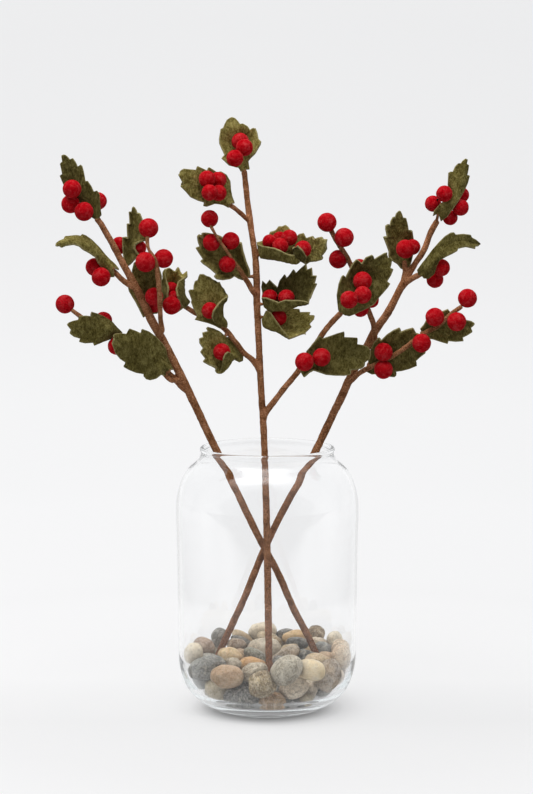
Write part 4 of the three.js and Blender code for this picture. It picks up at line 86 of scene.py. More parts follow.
# stalks that bind each leaf to its stem or twig
STALKS = {
    "left": [
        [[-164.7063, -50, 496.265, 1.9], [-164.7578, -53.96, 496.2292, 1.6], [-164.9722, -57.0834, 496.5417, 1.35], [-165.9192, -56.4424, 498.4211, 0.95]],
        [[-151.7573, -53.7691, 447.6381, 1.9], [-149.9658, -57.0311, 448.1122, 1.6], [-148.7836, -59.6327, 448.774, 1.35], [-150.3432, -59.2626, 450.2808, 0.95]],
        [[-138.189, -47.662, 448.5513, 1.9], [-137.5351, -43.7229, 449.1281, 1.6], [-136.9103, -40.4157, 449.9806, 1.35], [-136.4169, -39.9522, 452.0738, 0.95]],
        [[-114.6217, -44.2343, 400.5777, 1.9], [-115.0498, -34.9755, 401.085, 1.6], [-115.4825, -27.2722, 401.87, 1.35], [-115.9363, -26.5696, 403.9047, 0.95]],
    ],
    "centre": [
        [[-83.0106, -17.7422, 409.5899, 1.8994], [-81.9048, -13.759, 409.2105, 1.6], [-81.2107, -10.3181, 409.1873, 1.35], [-82.3693, -9.3174, 410.7672, 0.95]],
        [[-22.8, 4.5, 540.2, 1.9], [-22.195, 0.21, 541.41, 1.6], [-21.7825, -3.1144, 542.7446, 1.35], [-22.2361, -2.0938, 544.64, 0.95]],
        [[-39.6885, -20.061, 510.1702, 1.7568], [-37.4398, -23.4925, 510.0216, 1.6], [-35.8993, -26.3, 510.1653, 1.35], [-37.5457, -26.3, 511.6246, 0.95]],
        [[-10.8548, -11.4087, 437.9974, 1.9], [-15.6646, -11.1839, 437.6689, 1.6], [-19.7448, -10.9574, 437.7704, 1.35], [-20.541, -10.7232, 439.8079, 0.95]],
        [[-45.3642, -22.1581, 388.7625, 1.9], [-44.6689, -25.5362, 389.5531, 1.6], [-44.2453, -28.2086, 390.5613, 1.35], [-45.0447, -27.7062, 392.5484, 0.95]],
        [[-38.6603, -21.7588, 382.7055, 1.9], [-40.4421, -22.9915, 381.1625, 1.6], [-41.8503, -23.9392, 379.5078, 1.35], [-41.5768, -23.605, 377.3506, 0.95]],
        [[-12.1563, -9.2395, 458.533, 1.9], [-9.2103, -9.3828, 458.7348, 1.6], [-6.4255, -9.6348, 458.8601, 1.35], [-4.3659, -10.3763, 458.6404, 0.95]],
        [[-10.0883, -13.7584, 410.3344, 1.9], [-6.2447, -15.4313, 410.6455, 1.6], [-2.7811, -16.6738, 410.6941, 1.35], [-1.0275, -15.9796, 409.5615, 0.95]],
        [[-9.5172, -14.8105, 397.6192, 1.9], [-6.1527, -16.1797, 397.8837, 1.6], [-3.216, -17.3594, 397.7498, 1.35], [-2.2041, -17.6858, 395.8238, 0.95]],
        [[72.7735, -30.9069, 404.0083, 1.9], [72.7331, -34.5331, 403.6187, 1.6], [72.8809, -37.3897, 403.6393, 1.35], [73.8761, -36.7833, 405.5052, 0.95]],
        [[36.8565, -26.2125, 355.3755, 1.9], [37.5404, -30.2206, 354.674, 1.6], [38.4781, -33.4613, 354.2246, 1.35], [40.5578, -33.2486, 354.91, 0.95]],
    ],
    "l6_twig": [
        [[-146.6474, -48.5137, 379.7968, 1.84], [-145.2463, -46.1412, 382.5486, 1.6], [-144.3253, -44.5138, 384.9038, 1.35], [-145.5641, -46.2399, 385.4745, 0.95]],
        [[-100.0534, -48.6677, 344.5009, 1.859], [-97.109, -50.8304, 347.1404, 1.6], [-95.0311, -52.6405, 349.5207, 1.35], [-96.8522, -52.8631, 350.7348, 0.95]],
    ],
    "right": [
        [[170, 35, 489.3, 1.9], [170.605, 32.195, 493.81, 1.6], [171.3527, 29.6911, 497.7291, 1.35], [172.7426, 28.5421, 498.9893, 0.95]],
        [[138.3419, 28.4519, 442.5107, 1.9], [138.5388, 32.2183, 441.6798, 1.6], [138.611, 35.3564, 441.3859, 1.35], [138.1212, 35.6666, 443.5081, 0.95]],
        [[154.6976, 14.9632, 439.4939, 1.9], [155.7989, 11.2984, 436.9123, 1.6], [156.8725, 8.1238, 435.115, 1.35], [157.8211, 7.1545, 436.8472, 0.95]],
    ],
    "r8_twig": [
        [[100.5198, -9.1465, 346.3416, 1.9], [100.3989, -6.5909, 348.6287, 1.6], [100.6608, -4.5331, 350.6694, 1.35], [102.6455, -4.7154, 351.601, 0.95]],
        [[152.7278, -24.34, 380.8439, 1.9], [152.6025, -20.633, 382.1397, 1.6], [152.8958, -17.567, 383.2471, 1.35], [155.073, -17.3856, 383.5063, 0.95]],
    ],
}
# leaves: columns of the cloth's middle surface from edge to edge, each from the base to the tip
LEAVES = {
    "L1": {"thick": 2.4, "columns": [
        [[-169.2, -51.2, 497.9], [-175.9, -48.6, 506], [-184.9, -45.1, 515.5], [-193.6, -44.7, 524.2], [-197.9, -44, 529.5], [-201.5, -43, 537.9], [-199.1, -43, 539.3], [-200.1, -43, 544.5], [-201.3, -43, 549.5], [-199, -42, 551.3], [-199.8, -42, 555.6], [-199.9, -42, 557.6]],
        [[-164.8, -57.2, 496.2], [-171.3, -52.8, 509.1], [-180.6, -49.5, 525.4], [-189.4, -46, 542.7], [-197.9, -42, 558.4]],
        [[-161.3, -50.9, 499.8], [-162.2, -50, 509.9], [-162.4, -50, 520.1], [-164.8, -50, 523.9], [-168, -49.9, 522.9], [-170.4, -49.5, 528.3], [-173.8, -48.5, 533.1], [-176.1, -48.5, 533.1], [-177.7, -47, 541.7], [-179.3, -45.5, 547.5], [-181.1, -45, 548.8], [-183.6, -45.5, 547], [-186, -44.5, 551.8], [-188.5, -44, 555.2], [-191.1, -44, 553.4], [-194.3, -43, 557.1], [-195.9, -42.3, 558.2]],
    ]},
    "L2": {"thick": 2.4, "columns": [
        [[-148.4, -54.5, 440.3], [-152.7, -55.4, 440.4], [-158.4, -57, 447.3], [-163.3, -62.1, 453.5], [-165.4, -66.6, 459.6], [-170.8, -71, 464.2], [-176.8, -74, 467.8], [-180, -76, 471.2], [-185.6, -78, 473], [-189.8, -80, 472.6], [-193.6, -81, 472], [-196.8, -82, 470.4], [-198.2, -82.5, 471.1], [-198.7, -83, 472.1], [-201.2, -84, 471.7], [-202.8, -84.5, 472.2]],
        [[-148.5, -59.7, 448.5], [-154.4, -58.3, 454.2], [-160.9, -61.5, 461.2], [-167.4, -65, 468.2], [-175.7, -69, 473.7], [-184.1, -73, 476.4], [-193.3, -78, 476.2], [-202.9, -84, 473.2]],
        [[-144.3, -52.4, 447], [-148, -52, 451.8], [-152.8, -52.2, 456.7], [-158, -53.7, 462.6], [-164.1, -55.5, 470], [-170.8, -57, 477.1], [-175.4, -59, 480.6], [-179.2, -60.5, 481.9], [-180.6, -61.5, 480.2], [-184.7, -64, 481.1], [-190.3, -67, 480.8], [-194.9, -69.5, 480.4], [-195.6, -71, 477.6], [-198.8, -75, 476.5], [-201.8, -80, 474.8], [-202.9, -83, 473.9]],
    ]},
    "L3": {"thick": 2.4, "columns": [
        [[-140.5, -43, 452.7], [-140.4, -41, 458.9], [-141.5, -40, 467.6], [-141.5, -39, 478.1], [-138.8, -39, 478.3], [-136.4, -39, 477.3], [-136.9, -38, 484.1], [-137.2, -37, 491.3], [-134.3, -37, 490.9], [-134.7, -36.5, 496.7], [-135.3, -36, 502.7], [-132.7, -36, 501.1], [-132.4, -36, 505], [-132, -36, 506.8]],
        [[-137, -40.5, 449.6], [-133.7, -37.4, 463.6], [-131.2, -36, 479.1], [-130.3, -35.5, 494.7], [-130.7, -36, 507.8]],
        [[-132.99, -42, 453.13], [-128.47, -44, 457.65], [-124.45, -46, 461.19], [-126.67, -46, 463.62], [-129.18, -46, 467.52], [-128.57, -46, 471.41], [-125.83, -46, 473.35], [-121.93, -46, 474.81], [-117.79, -47, 475.45], [-117.57, -47, 479.73], [-119, -45, 485.5], [-120.6, -42, 493.1], [-122.3, -40, 497.4], [-123.9, -38.5, 501.1], [-126.4, -38, 501.1], [-127.6, -37, 504.5], [-129.2, -36.3, 507.1]],
    ]},
    "L4": {"thick": 2.4, "columns": [
        [[-121.5, -34.2, 399.1], [-129.4, -31.9, 414.2], [-135.7, -32, 424.8], [-136.8, -32, 428.9], [-133.2, -33, 427], [-132.1, -34, 435], [-132.4, -36, 444.9], [-130.2, -39.8, 453]],
        [[-115.4, -27.4, 401.5], [-118.5, -22.6, 415.4], [-120.2, -27.9, 430.6], [-121.4, -30.5, 443.5], [-123.4, -38.8, 456.3]],
        [[-108.4, -30, 402.9], [-105.2, -24.4, 408.1], [-103.9, -27.6, 417.7], [-103.3, -37.4, 429.3], [-103.3, -40, 440.3], [-105.6, -44.5, 449.9], [-111.4, -44, 456.7], [-117.9, -41.5, 458.4]],
    ]},
    "L5": {"thick": 2.4, "columns": [
        [[-89.5, -24.6, 403.4], [-95.7, -28.7, 409.9], [-97.9, -30.8, 416.5], [-98.1, -30.8, 421.9], [-97.2, -28.4, 427.7], [-98.7, -22.8, 433.6], [-100.2, -19.5, 439.8], [-99.8, -15.4, 445.1]],
        [[-90.1, -19.3, 402], [-98, -20.9, 406.3], [-101.4, -22, 412.4], [-102.5, -18.4, 419], [-102.9, -13.3, 426.5], [-102.4, -19.4, 435.9], [-101.9, -17.3, 442.6], [-99.7, -14.9, 445.6]],
        [[-84.4, -12.3, 405.6], [-91.6, -5.8, 414], [-95.3, 1.8, 425.4], [-96.4, -6.7, 436.9], [-96.3, -12.4, 446.3]],
        [[-81, -10.5, 408.9], [-87.6, -4.8, 417.9], [-91.1, -2.3, 429.6], [-91.8, -6.5, 437.9], [-91.1, -9.3, 442.5]],
        [[-78.5, -10.5, 410.9], [-84.5, -7.6, 420.1], [-87, -5.4, 430.9], [-87.9, -6.8, 439.9], [-88.1, -8.5, 446.9]],
        [[-76.8, -18.2, 412], [-81.3, -21.9, 418.3], [-82.6, -19.4, 426], [-82.3, -14.9, 433.6], [-83.6, -10.8, 437.2], [-84.6, -8.9, 439.7]],
        [[-81.5, -26.2, 406.8], [-86.2, -31.6, 413.1], [-88.2, -34.3, 420.3], [-89.7, -29.5, 426.8], [-87.9, -22.5, 433.6], [-83.2, -17.4, 436.2], [-78.8, -13, 437.9], [-79.3, -9, 442.8]],
    ]},
    "L6": {"thick": 2.4, "columns": [
        [[-145.1, -36.3, 380.6], [-153.8, -45.2, 379.2], [-162.3, -50.7, 376.1], [-168.9, -54.9, 373.4], [-169.8, -54.9, 376.2], [-177.5, -57, 375.8], [-183.2, -58, 377.3], [-182.2, -58, 380.6], [-187.9, -60, 382.4], [-191.8, -61, 385.6], [-189.7, -61, 388.3], [-192.5, -62, 391.8], [-194.1, -62, 393.8]],
        [[-144.1, -44.2, 384.8], [-153, -56.6, 388.9], [-164.8, -54.7, 390.6], [-178.2, -58.4, 392.9], [-194.4, -62, 394.9]],
        [[-141.8, -41.1, 384.5], [-146.6, -43, 389.1], [-152.5, -48.6, 396.4], [-159.2, -50.1, 401.5], [-165, -51.1, 404.3], [-171.4, -52.2, 406.4], [-170.7, -53.5, 402], [-176.3, -55.8, 402.9], [-182.5, -57.7, 402.8], [-182.7, -57.8, 399.1], [-188.8, -59.1, 397.9], [-193, -61, 396.5]],
    ]},
    "L7": {"thick": 2.4, "columns": [
        [[-95.8, -45, 344], [-99.3, -43.5, 342.8], [-103.6, -57.1, 344.9], [-108.3, -50.7, 340.6], [-114.7, -51, 339], [-118.5, -52, 340.2], [-120.1, -52, 342.3], [-119, -52, 344.9], [-128.2, -54, 346.7], [-134.9, -55, 349.5], [-139.5, -56, 352.2], [-135.8, -56, 355.2], [-143.5, -57.5, 360.6], [-147.7, -59.8, 366.2], [-149.5, -60.6, 371.7], [-151, -60.2, 375.5], [-147.9, -59.9, 379.6]],
        [[-94.7, -52.6, 349.3], [-103.7, -53.7, 355.3], [-115.4, -54, 361.2], [-127.9, -56.1, 369.3], [-139.4, -58.6, 376.9], [-149.8, -58.5, 382.7]],
        [[-92.7, -45.4, 348.5], [-95.3, -44.9, 355.3], [-98.1, -47, 362.4], [-99, -49, 369.5], [-101.8, -50.5, 374.6], [-108.6, -51, 382], [-115.4, -51.5, 387.1], [-122.1, -52, 389.6], [-121.4, -52.5, 384.6], [-128, -53, 387.7], [-134.2, -54, 390.1], [-136.1, -54.7, 384.8], [-142.4, -56.4, 385.7], [-148.2, -57.6, 385.4], [-149.8, -58, 384.1]],
    ]},
    "C1": {"thick": 2.4, "columns": [
        [[-25.7, 1.2, 540.8], [-28.7, 0.3, 545], [-32.4, -1.2, 545.3], [-37.8, -2, 546.8], [-45.3, 0, 553.9], [-42.2, 2, 557.2], [-44.8, 4, 562.9], [-47.4, 6, 568.3], [-47.8, 7, 572.7], [-46.4, 9.5, 582.3], [-43.9, 10, 583.5], [-42.3, 11, 587.4], [-40.3, 12, 591.3], [-37.5, 12.3, 593.3]],
        [[-21.7, -3.3, 542.4], [-24.5, 3, 554.1], [-28.1, 15.3, 566.6], [-31.5, 10.6, 581.5], [-35.2, 12.6, 594.1]],
        [[-18.1, 2.8, 542.7], [-18.7, 0.3, 551.2], [-12.1, -2.3, 558.1], [-6.8, -2.4, 567.4], [-6.2, -1.5, 570.4], [-9, 2.4, 573.1], [-9.9, 4.9, 578.6], [-11.6, 6.4, 583.3], [-12.7, 6.6, 583.3], [-16.1, 9.2, 580.5], [-19.6, 9.2, 585.4], [-23.1, 9.9, 587.4], [-26.2, 10.5, 586.4], [-29, 11.6, 590.3], [-32, 12.3, 593.3]],
    ]},
    "C2": {"thick": 2.4, "columns": [
        [[-38.1, -21.7, 506.3], [-43.4, -25.6, 508.9], [-51.1, -31, 510.3], [-58.9, -35, 507.7], [-62.1, -36, 508.2], [-60.8, -36, 511.5], [-67.5, -38, 513.5], [-74.8, -40, 517], [-79.6, -41, 522.7], [-84.4, -42, 527.4], [-83.4, -42, 529.2], [-81.7, -42, 529.4], [-84.1, -42.5, 534.3], [-86.3, -43, 538.2]],
        [[-35.6, -26.3, 509.9], [-44.4, -26.3, 517.7], [-54.2, -25.1, 524.5], [-65.6, -35.3, 531.2], [-75.2, -40, 535.7], [-86.4, -43, 539.3]],
        [[-32.7, -19, 510], [-34.9, -19, 517.4], [-36, -19, 524.3], [-36.3, -19.4, 532.1], [-40, -19.9, 538.4], [-45.4, -20.9, 541.7], [-49.3, -20.3, 540.7], [-53.1, -24.1, 543.4], [-57, -27.4, 545.8], [-58, -26.6, 542.1], [-62.8, -30.6, 544.5], [-68.1, -33, 547.1], [-68.9, -33.9, 543.3], [-75.2, -37, 543.9], [-81.5, -39, 544.7], [-84.1, -40, 543], [-83.7, -41.5, 539.6]],
    ]},
    "C3": {"thick": 2.4, "columns": [
        [[-24, -16, 434.4], [-28.4, -20, 436.3], [-32.3, -24, 439.3], [-36.6, -29, 436.9], [-43.4, -33, 435.9], [-49.8, -35, 437], [-51.9, -35, 439.3], [-49.8, -33, 441.6], [-56.1, -33, 447.1], [-63, -33, 451.6], [-65.7, -33, 454.3], [-63, -31.5, 456], [-66.9, -32, 461.8], [-70.1, -32.5, 467.2], [-65.9, -31, 467.3], [-67.9, -31.5, 472.5], [-68.8, -32.3, 478.5], [-67.5, -32.3, 479.9], [-62.9, -31.5, 475.9], [-64.5, -32, 481.2]],
        [[-22.5, -12, 437.8], [-29.9, -13, 446.3], [-38.8, -15, 454.3], [-48.6, -18, 464.4], [-56.8, -24, 473.6], [-62.7, -31, 482.2]],
        [[-19.6, -11, 437.4], [-23, -10, 446.1], [-28, -9, 455.9], [-34.9, -10, 464.9], [-41.7, -15, 471.1], [-49.4, -22, 476.4], [-57.1, -29, 480.9]],
        [[-17.5, -16, 438.1], [-18, -18, 444.6], [-21.5, -20, 453.6], [-24.1, -22, 463.1], [-25.3, -24, 471.4], [-28.3, -24, 471.8], [-30.8, -22, 470], [-38.6, -21, 474.4], [-48.4, -26, 479.1]],
    ]},
    "C4": {"thick": 2.3, "columns": [
        [[-45.6, -27, 387.1], [-51.5, -28, 390.2], [-58.3, -29, 393], [-65.2, -30.4, 394.9], [-71.4, -32.3, 396.7], [-69.1, -29.9, 400.4], [-72.5, -28.3, 407], [-75.1, -26.5, 413.7], [-74.5, -26.5, 415.7], [-77.7, -26.5, 424.8], [-72.9, -25, 424.4], [-72.5, -24, 430.3], [-71.5, -23.5, 433.6], [-69.2, -23, 433.6], [-67.9, -22.3, 438], [-66.8, -22, 440.5]],
        [[-45.1, -28.3, 389.7], [-51.5, -26.7, 397.9], [-57.4, -24, 409.6], [-61.8, -23.5, 423.3], [-66, -22, 441]],
        [[-44.1, -28.3, 390.2], [-47.6, -26.1, 398.9], [-50, -24.3, 409.6], [-53, -23.5, 423.3], [-59.8, -22.8, 436.7], [-65.3, -22, 440.8]],
        [[-40.5, -28, 388.6], [-40.6, -30.2, 393.3], [-43.9, -33.3, 399.5], [-44.4, -35.1, 405.6], [-43.5, -34.4, 411.9], [-40.2, -33.1, 416.6], [-40.6, -31, 419.2], [-44, -27, 426.1], [-49.5, -24.5, 432.3], [-57.4, -23, 437.5], [-64.5, -22, 440.5]],
        [[-47.9, -33.8, 391.2], [-52.7, -41, 395.8], [-54, -45.1, 400.5], [-53, -46.9, 406.1], [-49.6, -44.8, 411.3], [-45.3, -39.8, 416.2], [-41.5, -35.6, 418.7], [-38.3, -33.3, 419.1], [-38.6, -32, 420.5], [-41.7, -30.5, 419], [-43.2, -27.5, 424.6], [-44.9, -25.8, 429.4], [-46.9, -24.8, 433.5], [-49.9, -24.6, 430.7], [-52.9, -23.6, 435.2], [-56.4, -23, 438.3], [-59, -22.8, 438.9], [-60, -22.8, 437.1], [-62.7, -22.3, 439.4], [-64.3, -22, 440.4]],
    ]},
    "C5": {"thick": 2.3, "columns": [
        [[-47.1, -29, 385.3], [-51.4, -31, 387.5], [-58.3, -33, 389.8], [-60, -33.5, 388.7], [-58.3, -33.5, 385.5], [-63.8, -35, 384.3], [-63, -35, 380], [-66.8, -36.5, 378.6], [-66.5, -36.8, 374.2], [-63, -36.5, 369.4], [-65.7, -37.5, 365.4], [-60.9, -36.9, 359], [-63.4, -38, 356], [-58.3, -37.5, 353.2], [-50.4, -36, 350.6], [-51.4, -35.5, 346.4], [-50, -35, 344.4]],
        [[-43.8, -27.5, 382.4], [-46.1, -26.8, 373.2], [-50.1, -28.5, 363.5], [-49.9, -31.9, 352], [-48.7, -34.6, 343.7]],
        [[-41.9, -24, 379.9], [-41, -22.9, 372.8], [-39.3, -22.9, 365.9], [-38.2, -25.4, 359.2], [-39.5, -29, 353.6], [-43.1, -32, 348], [-47.5, -34.8, 343.8]],
        [[-40.6, -19, 378.4], [-37.7, -17.5, 374.3], [-33.9, -18.5, 367.4], [-30.9, -23, 360.9], [-32.8, -30.5, 357.8], [-34.9, -36.5, 357], [-37.6, -38.5, 352.7], [-41.6, -37, 347.6], [-46.5, -35.3, 344]],
        [[-39.4, -14.6, 377.8], [-35.5, -13.4, 375.9], [-29.6, -12.2, 367.5], [-23.9, -13, 357.9], [-24.3, -17.5, 354.4], [-27.5, -21, 353.4], [-33.8, -30, 357.7], [-35.8, -44, 365.1], [-38.4, -47.5, 366.8], [-41.4, -48.3, 364.5], [-43.3, -47, 360], [-44, -43, 355.6], [-45.1, -38.5, 349.7], [-46.7, -35.6, 344.8]],
    ]},
    "C6": {"thick": 2.3, "columns": [
        [[-10.2, -14, 470.5], [-5.2, -20.2, 468.4], [0.7, -26.7, 468], [6.5, -34, 467.3], [12.4, -36.6, 465], [18.3, -35.5, 462], [23.2, -35.5, 460.7], [28.1, -34.8, 460.7], [31.5, -34.5, 458.5]],
        [[-7.2, -14.5, 457.2], [0.7, -23.7, 456.6], [11.5, -29.4, 455.4], [19.3, -31, 453.4], [29.1, -34.2, 452.6], [32, -34.5, 454.8]],
        [[-6.8, -9.5, 458.9], [0.7, -12.2, 458.1], [11.5, -15.4, 457.3], [19.4, -17.8, 455.5], [27.2, -21.8, 453.8], [32.2, -32.4, 455.4]],
        [[-7.8, -5.8, 464.6], [-1.3, -2.6, 466.4], [8.6, 4, 468], [18.5, 1, 467.2], [26.4, -8.9, 462.8], [32.3, -27.6, 456.6]],
        [[-10.8, -3, 470.9], [-3.3, -1.2, 472.7], [1.3, 1.4, 476.6], [2.7, 2.4, 481.2], [8.1, 4.3, 482.6], [11.2, 3.8, 486.7], [14.6, 3.7, 486.6], [18.1, 2.5, 488.1], [21, 1.8, 486], [24, -0.1, 481.6], [28.4, -5.3, 473.5], [31.3, -11.7, 465], [32.2, -20.4, 458.1]],
    ]},
    "C6b": {"thick": 2.3, "columns": [
        [[38.4, -36.6, 458.2], [36.6, -30, 452.7], [39, -24.4, 450.8], [41.6, -22.7, 452.6], [47.8, -25, 453.4], [53.6, -28.5, 455.4], [54.6, -29, 457], [52.7, -28.5, 458.5], [56.5, -31, 462.8], [58.1, -32, 465.6], [56.5, -31.7, 466.9]],
        [[34.8, -42, 465.3], [29, -36.6, 459.1], [30.7, -17.8, 461.9], [37.7, -12.2, 463.5], [46.9, -19.9, 467.9], [58.6, -32, 474.8]],
        [[29.5, -41.9, 470.3], [25.3, -31.4, 466.6], [26.5, -0.7, 469.7], [29.4, -3.6, 477.3], [31.9, -6.7, 479.7], [35.6, -10.2, 480.7], [38.2, -11.3, 475.8], [41.1, -15.5, 477], [44.6, -18.3, 478.3], [45.7, -20.3, 475.3], [49.8, -23.5, 477.1], [53.6, -27, 478], [54.6, -28, 475.9], [58.8, -31.8, 475.6]],
    ]},
    "C7": {"thick": 2.3, "columns": [
        [[-5.2, -29.5, 418.4], [-1.3, -36.5, 418.9], [4.6, -38.2, 417], [10.9, -40.5, 414.6], [17.3, -42, 417.1], [24.1, -43.1, 417], [31.9, -45, 417], [37.7, -45.9, 416.1], [40.3, -46, 414.8]],
        [[-3.3, -24.4, 410.1], [0.7, -26.3, 407.2], [8.5, -37.5, 406.8], [16.3, -38.6, 407], [22.7, -39.5, 408.9], [29, -42.3, 411.5], [36.8, -44.9, 412.9], [40.7, -45.8, 414.1]],
        [[-3.1, -16.8, 410.9], [1.7, -14.9, 407.8], [9.5, -24.8, 408.1], [17.4, -26.4, 409.3], [24.3, -28, 411.4], [32, -37.9, 414.6], [40.7, -45, 415.7]],
        [[-4.7, -13.2, 418.6], [2.7, -9.1, 417.3], [12.6, -12, 418.5], [22.4, -20, 422.1], [32.1, -29.9, 424.8], [41.7, -43, 419.5]],
        [[-5.5, -8.7, 426.2], [-5, -7, 433.5], [-1.1, -7.9, 430.1], [2.2, -8, 434.5], [6.6, -9.7, 430.2], [10.4, -11.2, 426.8], [12.5, -13.9, 434.5], [17.1, -16.5, 440.4], [19, -18, 436.7], [23.3, -21, 441.9], [25.8, -24, 445.8], [28.2, -26, 442.2], [33, -31, 447.5], [37.8, -35, 451.9], [39, -36, 446.3], [43.5, -39, 448.6], [44.3, -39, 440.8], [48.1, -41, 440.9], [46.1, -41, 433.5], [48.3, -42.5, 433.2], [44.6, -43, 424.9], [41.7, -44.5, 418.1]],
    ]},
    "C8": {"thick": 2.3, "columns": [
        [[-1, -27.2, 405.3], [3.1, -34.2, 404.5], [7.1, -34.4, 398.6], [11.5, -35.1, 392.3], [16.4, -35.5, 385.9], [21.6, -36, 379.8]],
        [[-4.6, -21.2, 396.9], [-3.1, -26.1, 390.2], [2.6, -30, 387.4], [9.5, -33, 385.5], [16.4, -35.3, 381.8], [21.9, -36.2, 378.4]],
        [[-3.4, -17.3, 398.1], [-0.3, -18.3, 392.2], [5.6, -21, 388], [12.5, -26, 385], [18.4, -32, 381], [23.7, -35.4, 378.8]],
        [[-1.6, -16.9, 402], [5.6, -13.5, 397.3], [15.5, -15, 392.9], [26.3, -22, 387.6], [35.1, -29.5, 382.4]],
        [[0.1, -14.8, 405.3], [7.6, -8.1, 405.1], [16.6, -6.5, 404.5], [24.5, -7.5, 405.2], [32, -10, 405.2], [32.6, -11.5, 402.2], [42.6, -14.5, 402.6], [41.2, -16, 400], [46.7, -19, 399.8], [46.1, -21, 396.4], [41.7, -22.5, 391.6], [43.6, -25, 389.3], [37.6, -28, 383.7], [38.1, -30, 382]],
    ]},
    "R1": {"thick": 2.4, "columns": [
        [[166, 32, 495.4], [166.9, 27.9, 500.6], [170.7, 25.3, 505.7], [175.2, 25.6, 509.7], [179.7, 26.7, 514.7], [181.2, 26.7, 521.6], [180.1, 25, 527.7], [180.6, 24, 538.9], [182.6, 24.5, 540], [184.6, 25, 538.8], [187.4, 25.5, 545.1], [189.9, 26, 547.7], [192, 26.5, 546.5], [194.9, 27, 550.7]],
        [[171.1, 29.9, 497.5], [178.6, 23.7, 504.3], [185.5, 23.8, 513.8], [191, 24.5, 525.7], [194.5, 26, 539.6], [197.9, 27.5, 552.9]],
        [[174.2, 31, 490], [180.3, 25.7, 495.2], [185.5, 21.7, 502.9], [191.5, 22.6, 511.3], [196.8, 27.9, 520.1], [200.6, 31, 528.5], [202.6, 32, 535.4], [199.9, 31, 535.9], [201.1, 30.5, 541.5], [201.7, 30, 546], [199.2, 29, 546.9], [200.3, 28, 551.9]],
    ]},
    "R2": {"thick": 2.4, "columns": [
        [[134.9, 30.6, 442.8], [130.7, 27.3, 448], [124.5, 25, 451.7], [121.7, 24, 455.8], [121.9, 24, 460.8], [118.6, 23.5, 468.8], [116, 23.5, 475], [119.9, 25, 474.8], [118.1, 25, 482.8], [118.2, 25.5, 486.1], [119.9, 26, 487], [122.4, 27, 485.7], [123.4, 27.5, 490.6], [125.4, 28, 494], [127.6, 29, 493], [129, 29.5, 498.1], [131, 30, 500.3]],
        [[138.7, 35.3, 441], [135.7, 37.2, 454], [133.6, 37.6, 468], [132.3, 33, 484.4], [132.6, 30, 500.9]],
        [[142.4, 30.5, 442.8], [145.3, 37.7, 448.4], [147.6, 43.4, 457.6], [148.1, 43.4, 468.7], [146.1, 35.6, 480.2], [144.5, 35, 480.4], [142.5, 35.2, 479.4], [141.3, 33.1, 486.4], [139.6, 31.5, 492.9], [137.1, 31.5, 491.9], [135.6, 31, 496.5], [134, 30.3, 500.1]],
    ]},
    "R3": {"thick": 2.4, "columns": [
        [[151.2, 11.7, 438.1], [149.2, 9.9, 442.7], [154.1, 8.7, 449.3], [159.5, 8.2, 456.3], [165, 9, 463.7], [170.9, 10, 470.6], [177, 12, 476.5], [182.6, 14, 479.8], [185.8, 15, 480.1], [187.3, 16, 477.7], [195.5, 19, 478.3], [203.2, 22, 477.3], [203.8, 23, 474.9], [209, 25, 472.2], [213.2, 27, 468.6]],
        [[154.1, 6.7, 436.5], [157.9, 4.8, 444.1], [162.8, 4.8, 454], [170.8, 7, 463.3], [181, 11, 470.1], [193.4, 17, 472.4], [204.9, 23, 470.9], [213.8, 27.3, 467.6]],
        [[156.7, 8.3, 434.8], [161.3, 3.6, 443.2], [165.6, 2.8, 452.2], [172.7, 4.9, 459.5], [181.9, 9, 465.2], [193.3, 15, 468.8], [203.8, 22, 468.4], [212.7, 26.8, 466.6]],
        [[160, 13.3, 433.9], [166.2, 9.6, 438.7], [168.4, 6, 447], [171.3, 5, 452.5], [177.7, 4.8, 456], [184.7, 6.5, 459.4], [189.2, 8, 462], [190.3, 10, 464.2], [198.3, 15, 465.3], [207.9, 19, 463.3], [208.3, 21, 465.6], [211.7, 25, 466]],
    ]},
    "R5": {"thick": 2.4, "columns": [
        [[69.7, -34.5, 406], [68.7, -33.7, 413.3], [67.9, -34, 421.2], [69.7, -33.9, 432], [72.4, -33.1, 438.8], [74.2, -32.4, 440.7], [76.2, -29.8, 437.2], [79.7, -29.7, 444.5], [83.5, -30.5, 451.4], [87.2, -30.4, 455.9], [88.9, -29.3, 455.2], [92.4, -27.3, 451.8], [96.8, -28, 457.9], [102.9, -27.5, 460.4], [103.6, -26, 455.2], [109.6, -26, 459], [115.1, -25.5, 462.1], [117.8, -25.3, 462.4]],
        [[72.7, -37.5, 403.3], [79.1, -33.6, 415.3], [87.3, -23.4, 426.3], [97.3, -19, 437.8], [107.8, -25, 450.5], [117.7, -25.2, 460.4]],
        [[75.8, -31.8, 401.8], [81.2, -33, 400.5], [86.1, -33, 402.4], [93, -31, 405.4], [100, -28.5, 408.4], [105.5, -26, 411.5], [109.2, -25, 416.9], [113.8, -26, 422.2], [118.6, -27, 428], [120.9, -27.5, 431.9], [118, -26, 434], [121.5, -27, 439.9], [123.9, -27.5, 445.9], [120.7, -26, 445.8], [122.1, -26, 451.1], [122.7, -26, 456.2], [120.1, -25.5, 456.2], [118, -25.2, 454.6], [118.5, -25.2, 458.4]],
    ]},
    "R6": {"thick": 2.4, "columns": [
        [[33.2, -30, 344.8], [36.1, -34, 339.9], [41, -37, 345], [44.9, -39, 347.4], [50.8, -39, 345.4], [57.6, -39, 343.1], [66.5, -38, 342.1], [75.4, -37, 341.8], [81.8, -36, 342.9], [81.3, -35, 347], [87.3, -34, 347.6], [92.2, -33, 348.5], [95.2, -32.5, 350.3], [95.2, -31.5, 353.9], [100.2, -30, 356.9]],
        [[38.1, -33.5, 354.1], [46.9, -32.6, 357], [58.8, -31.6, 358.5], [72.6, -30, 359.2], [87.4, -28, 359.5], [101.8, -28.5, 360.9]],
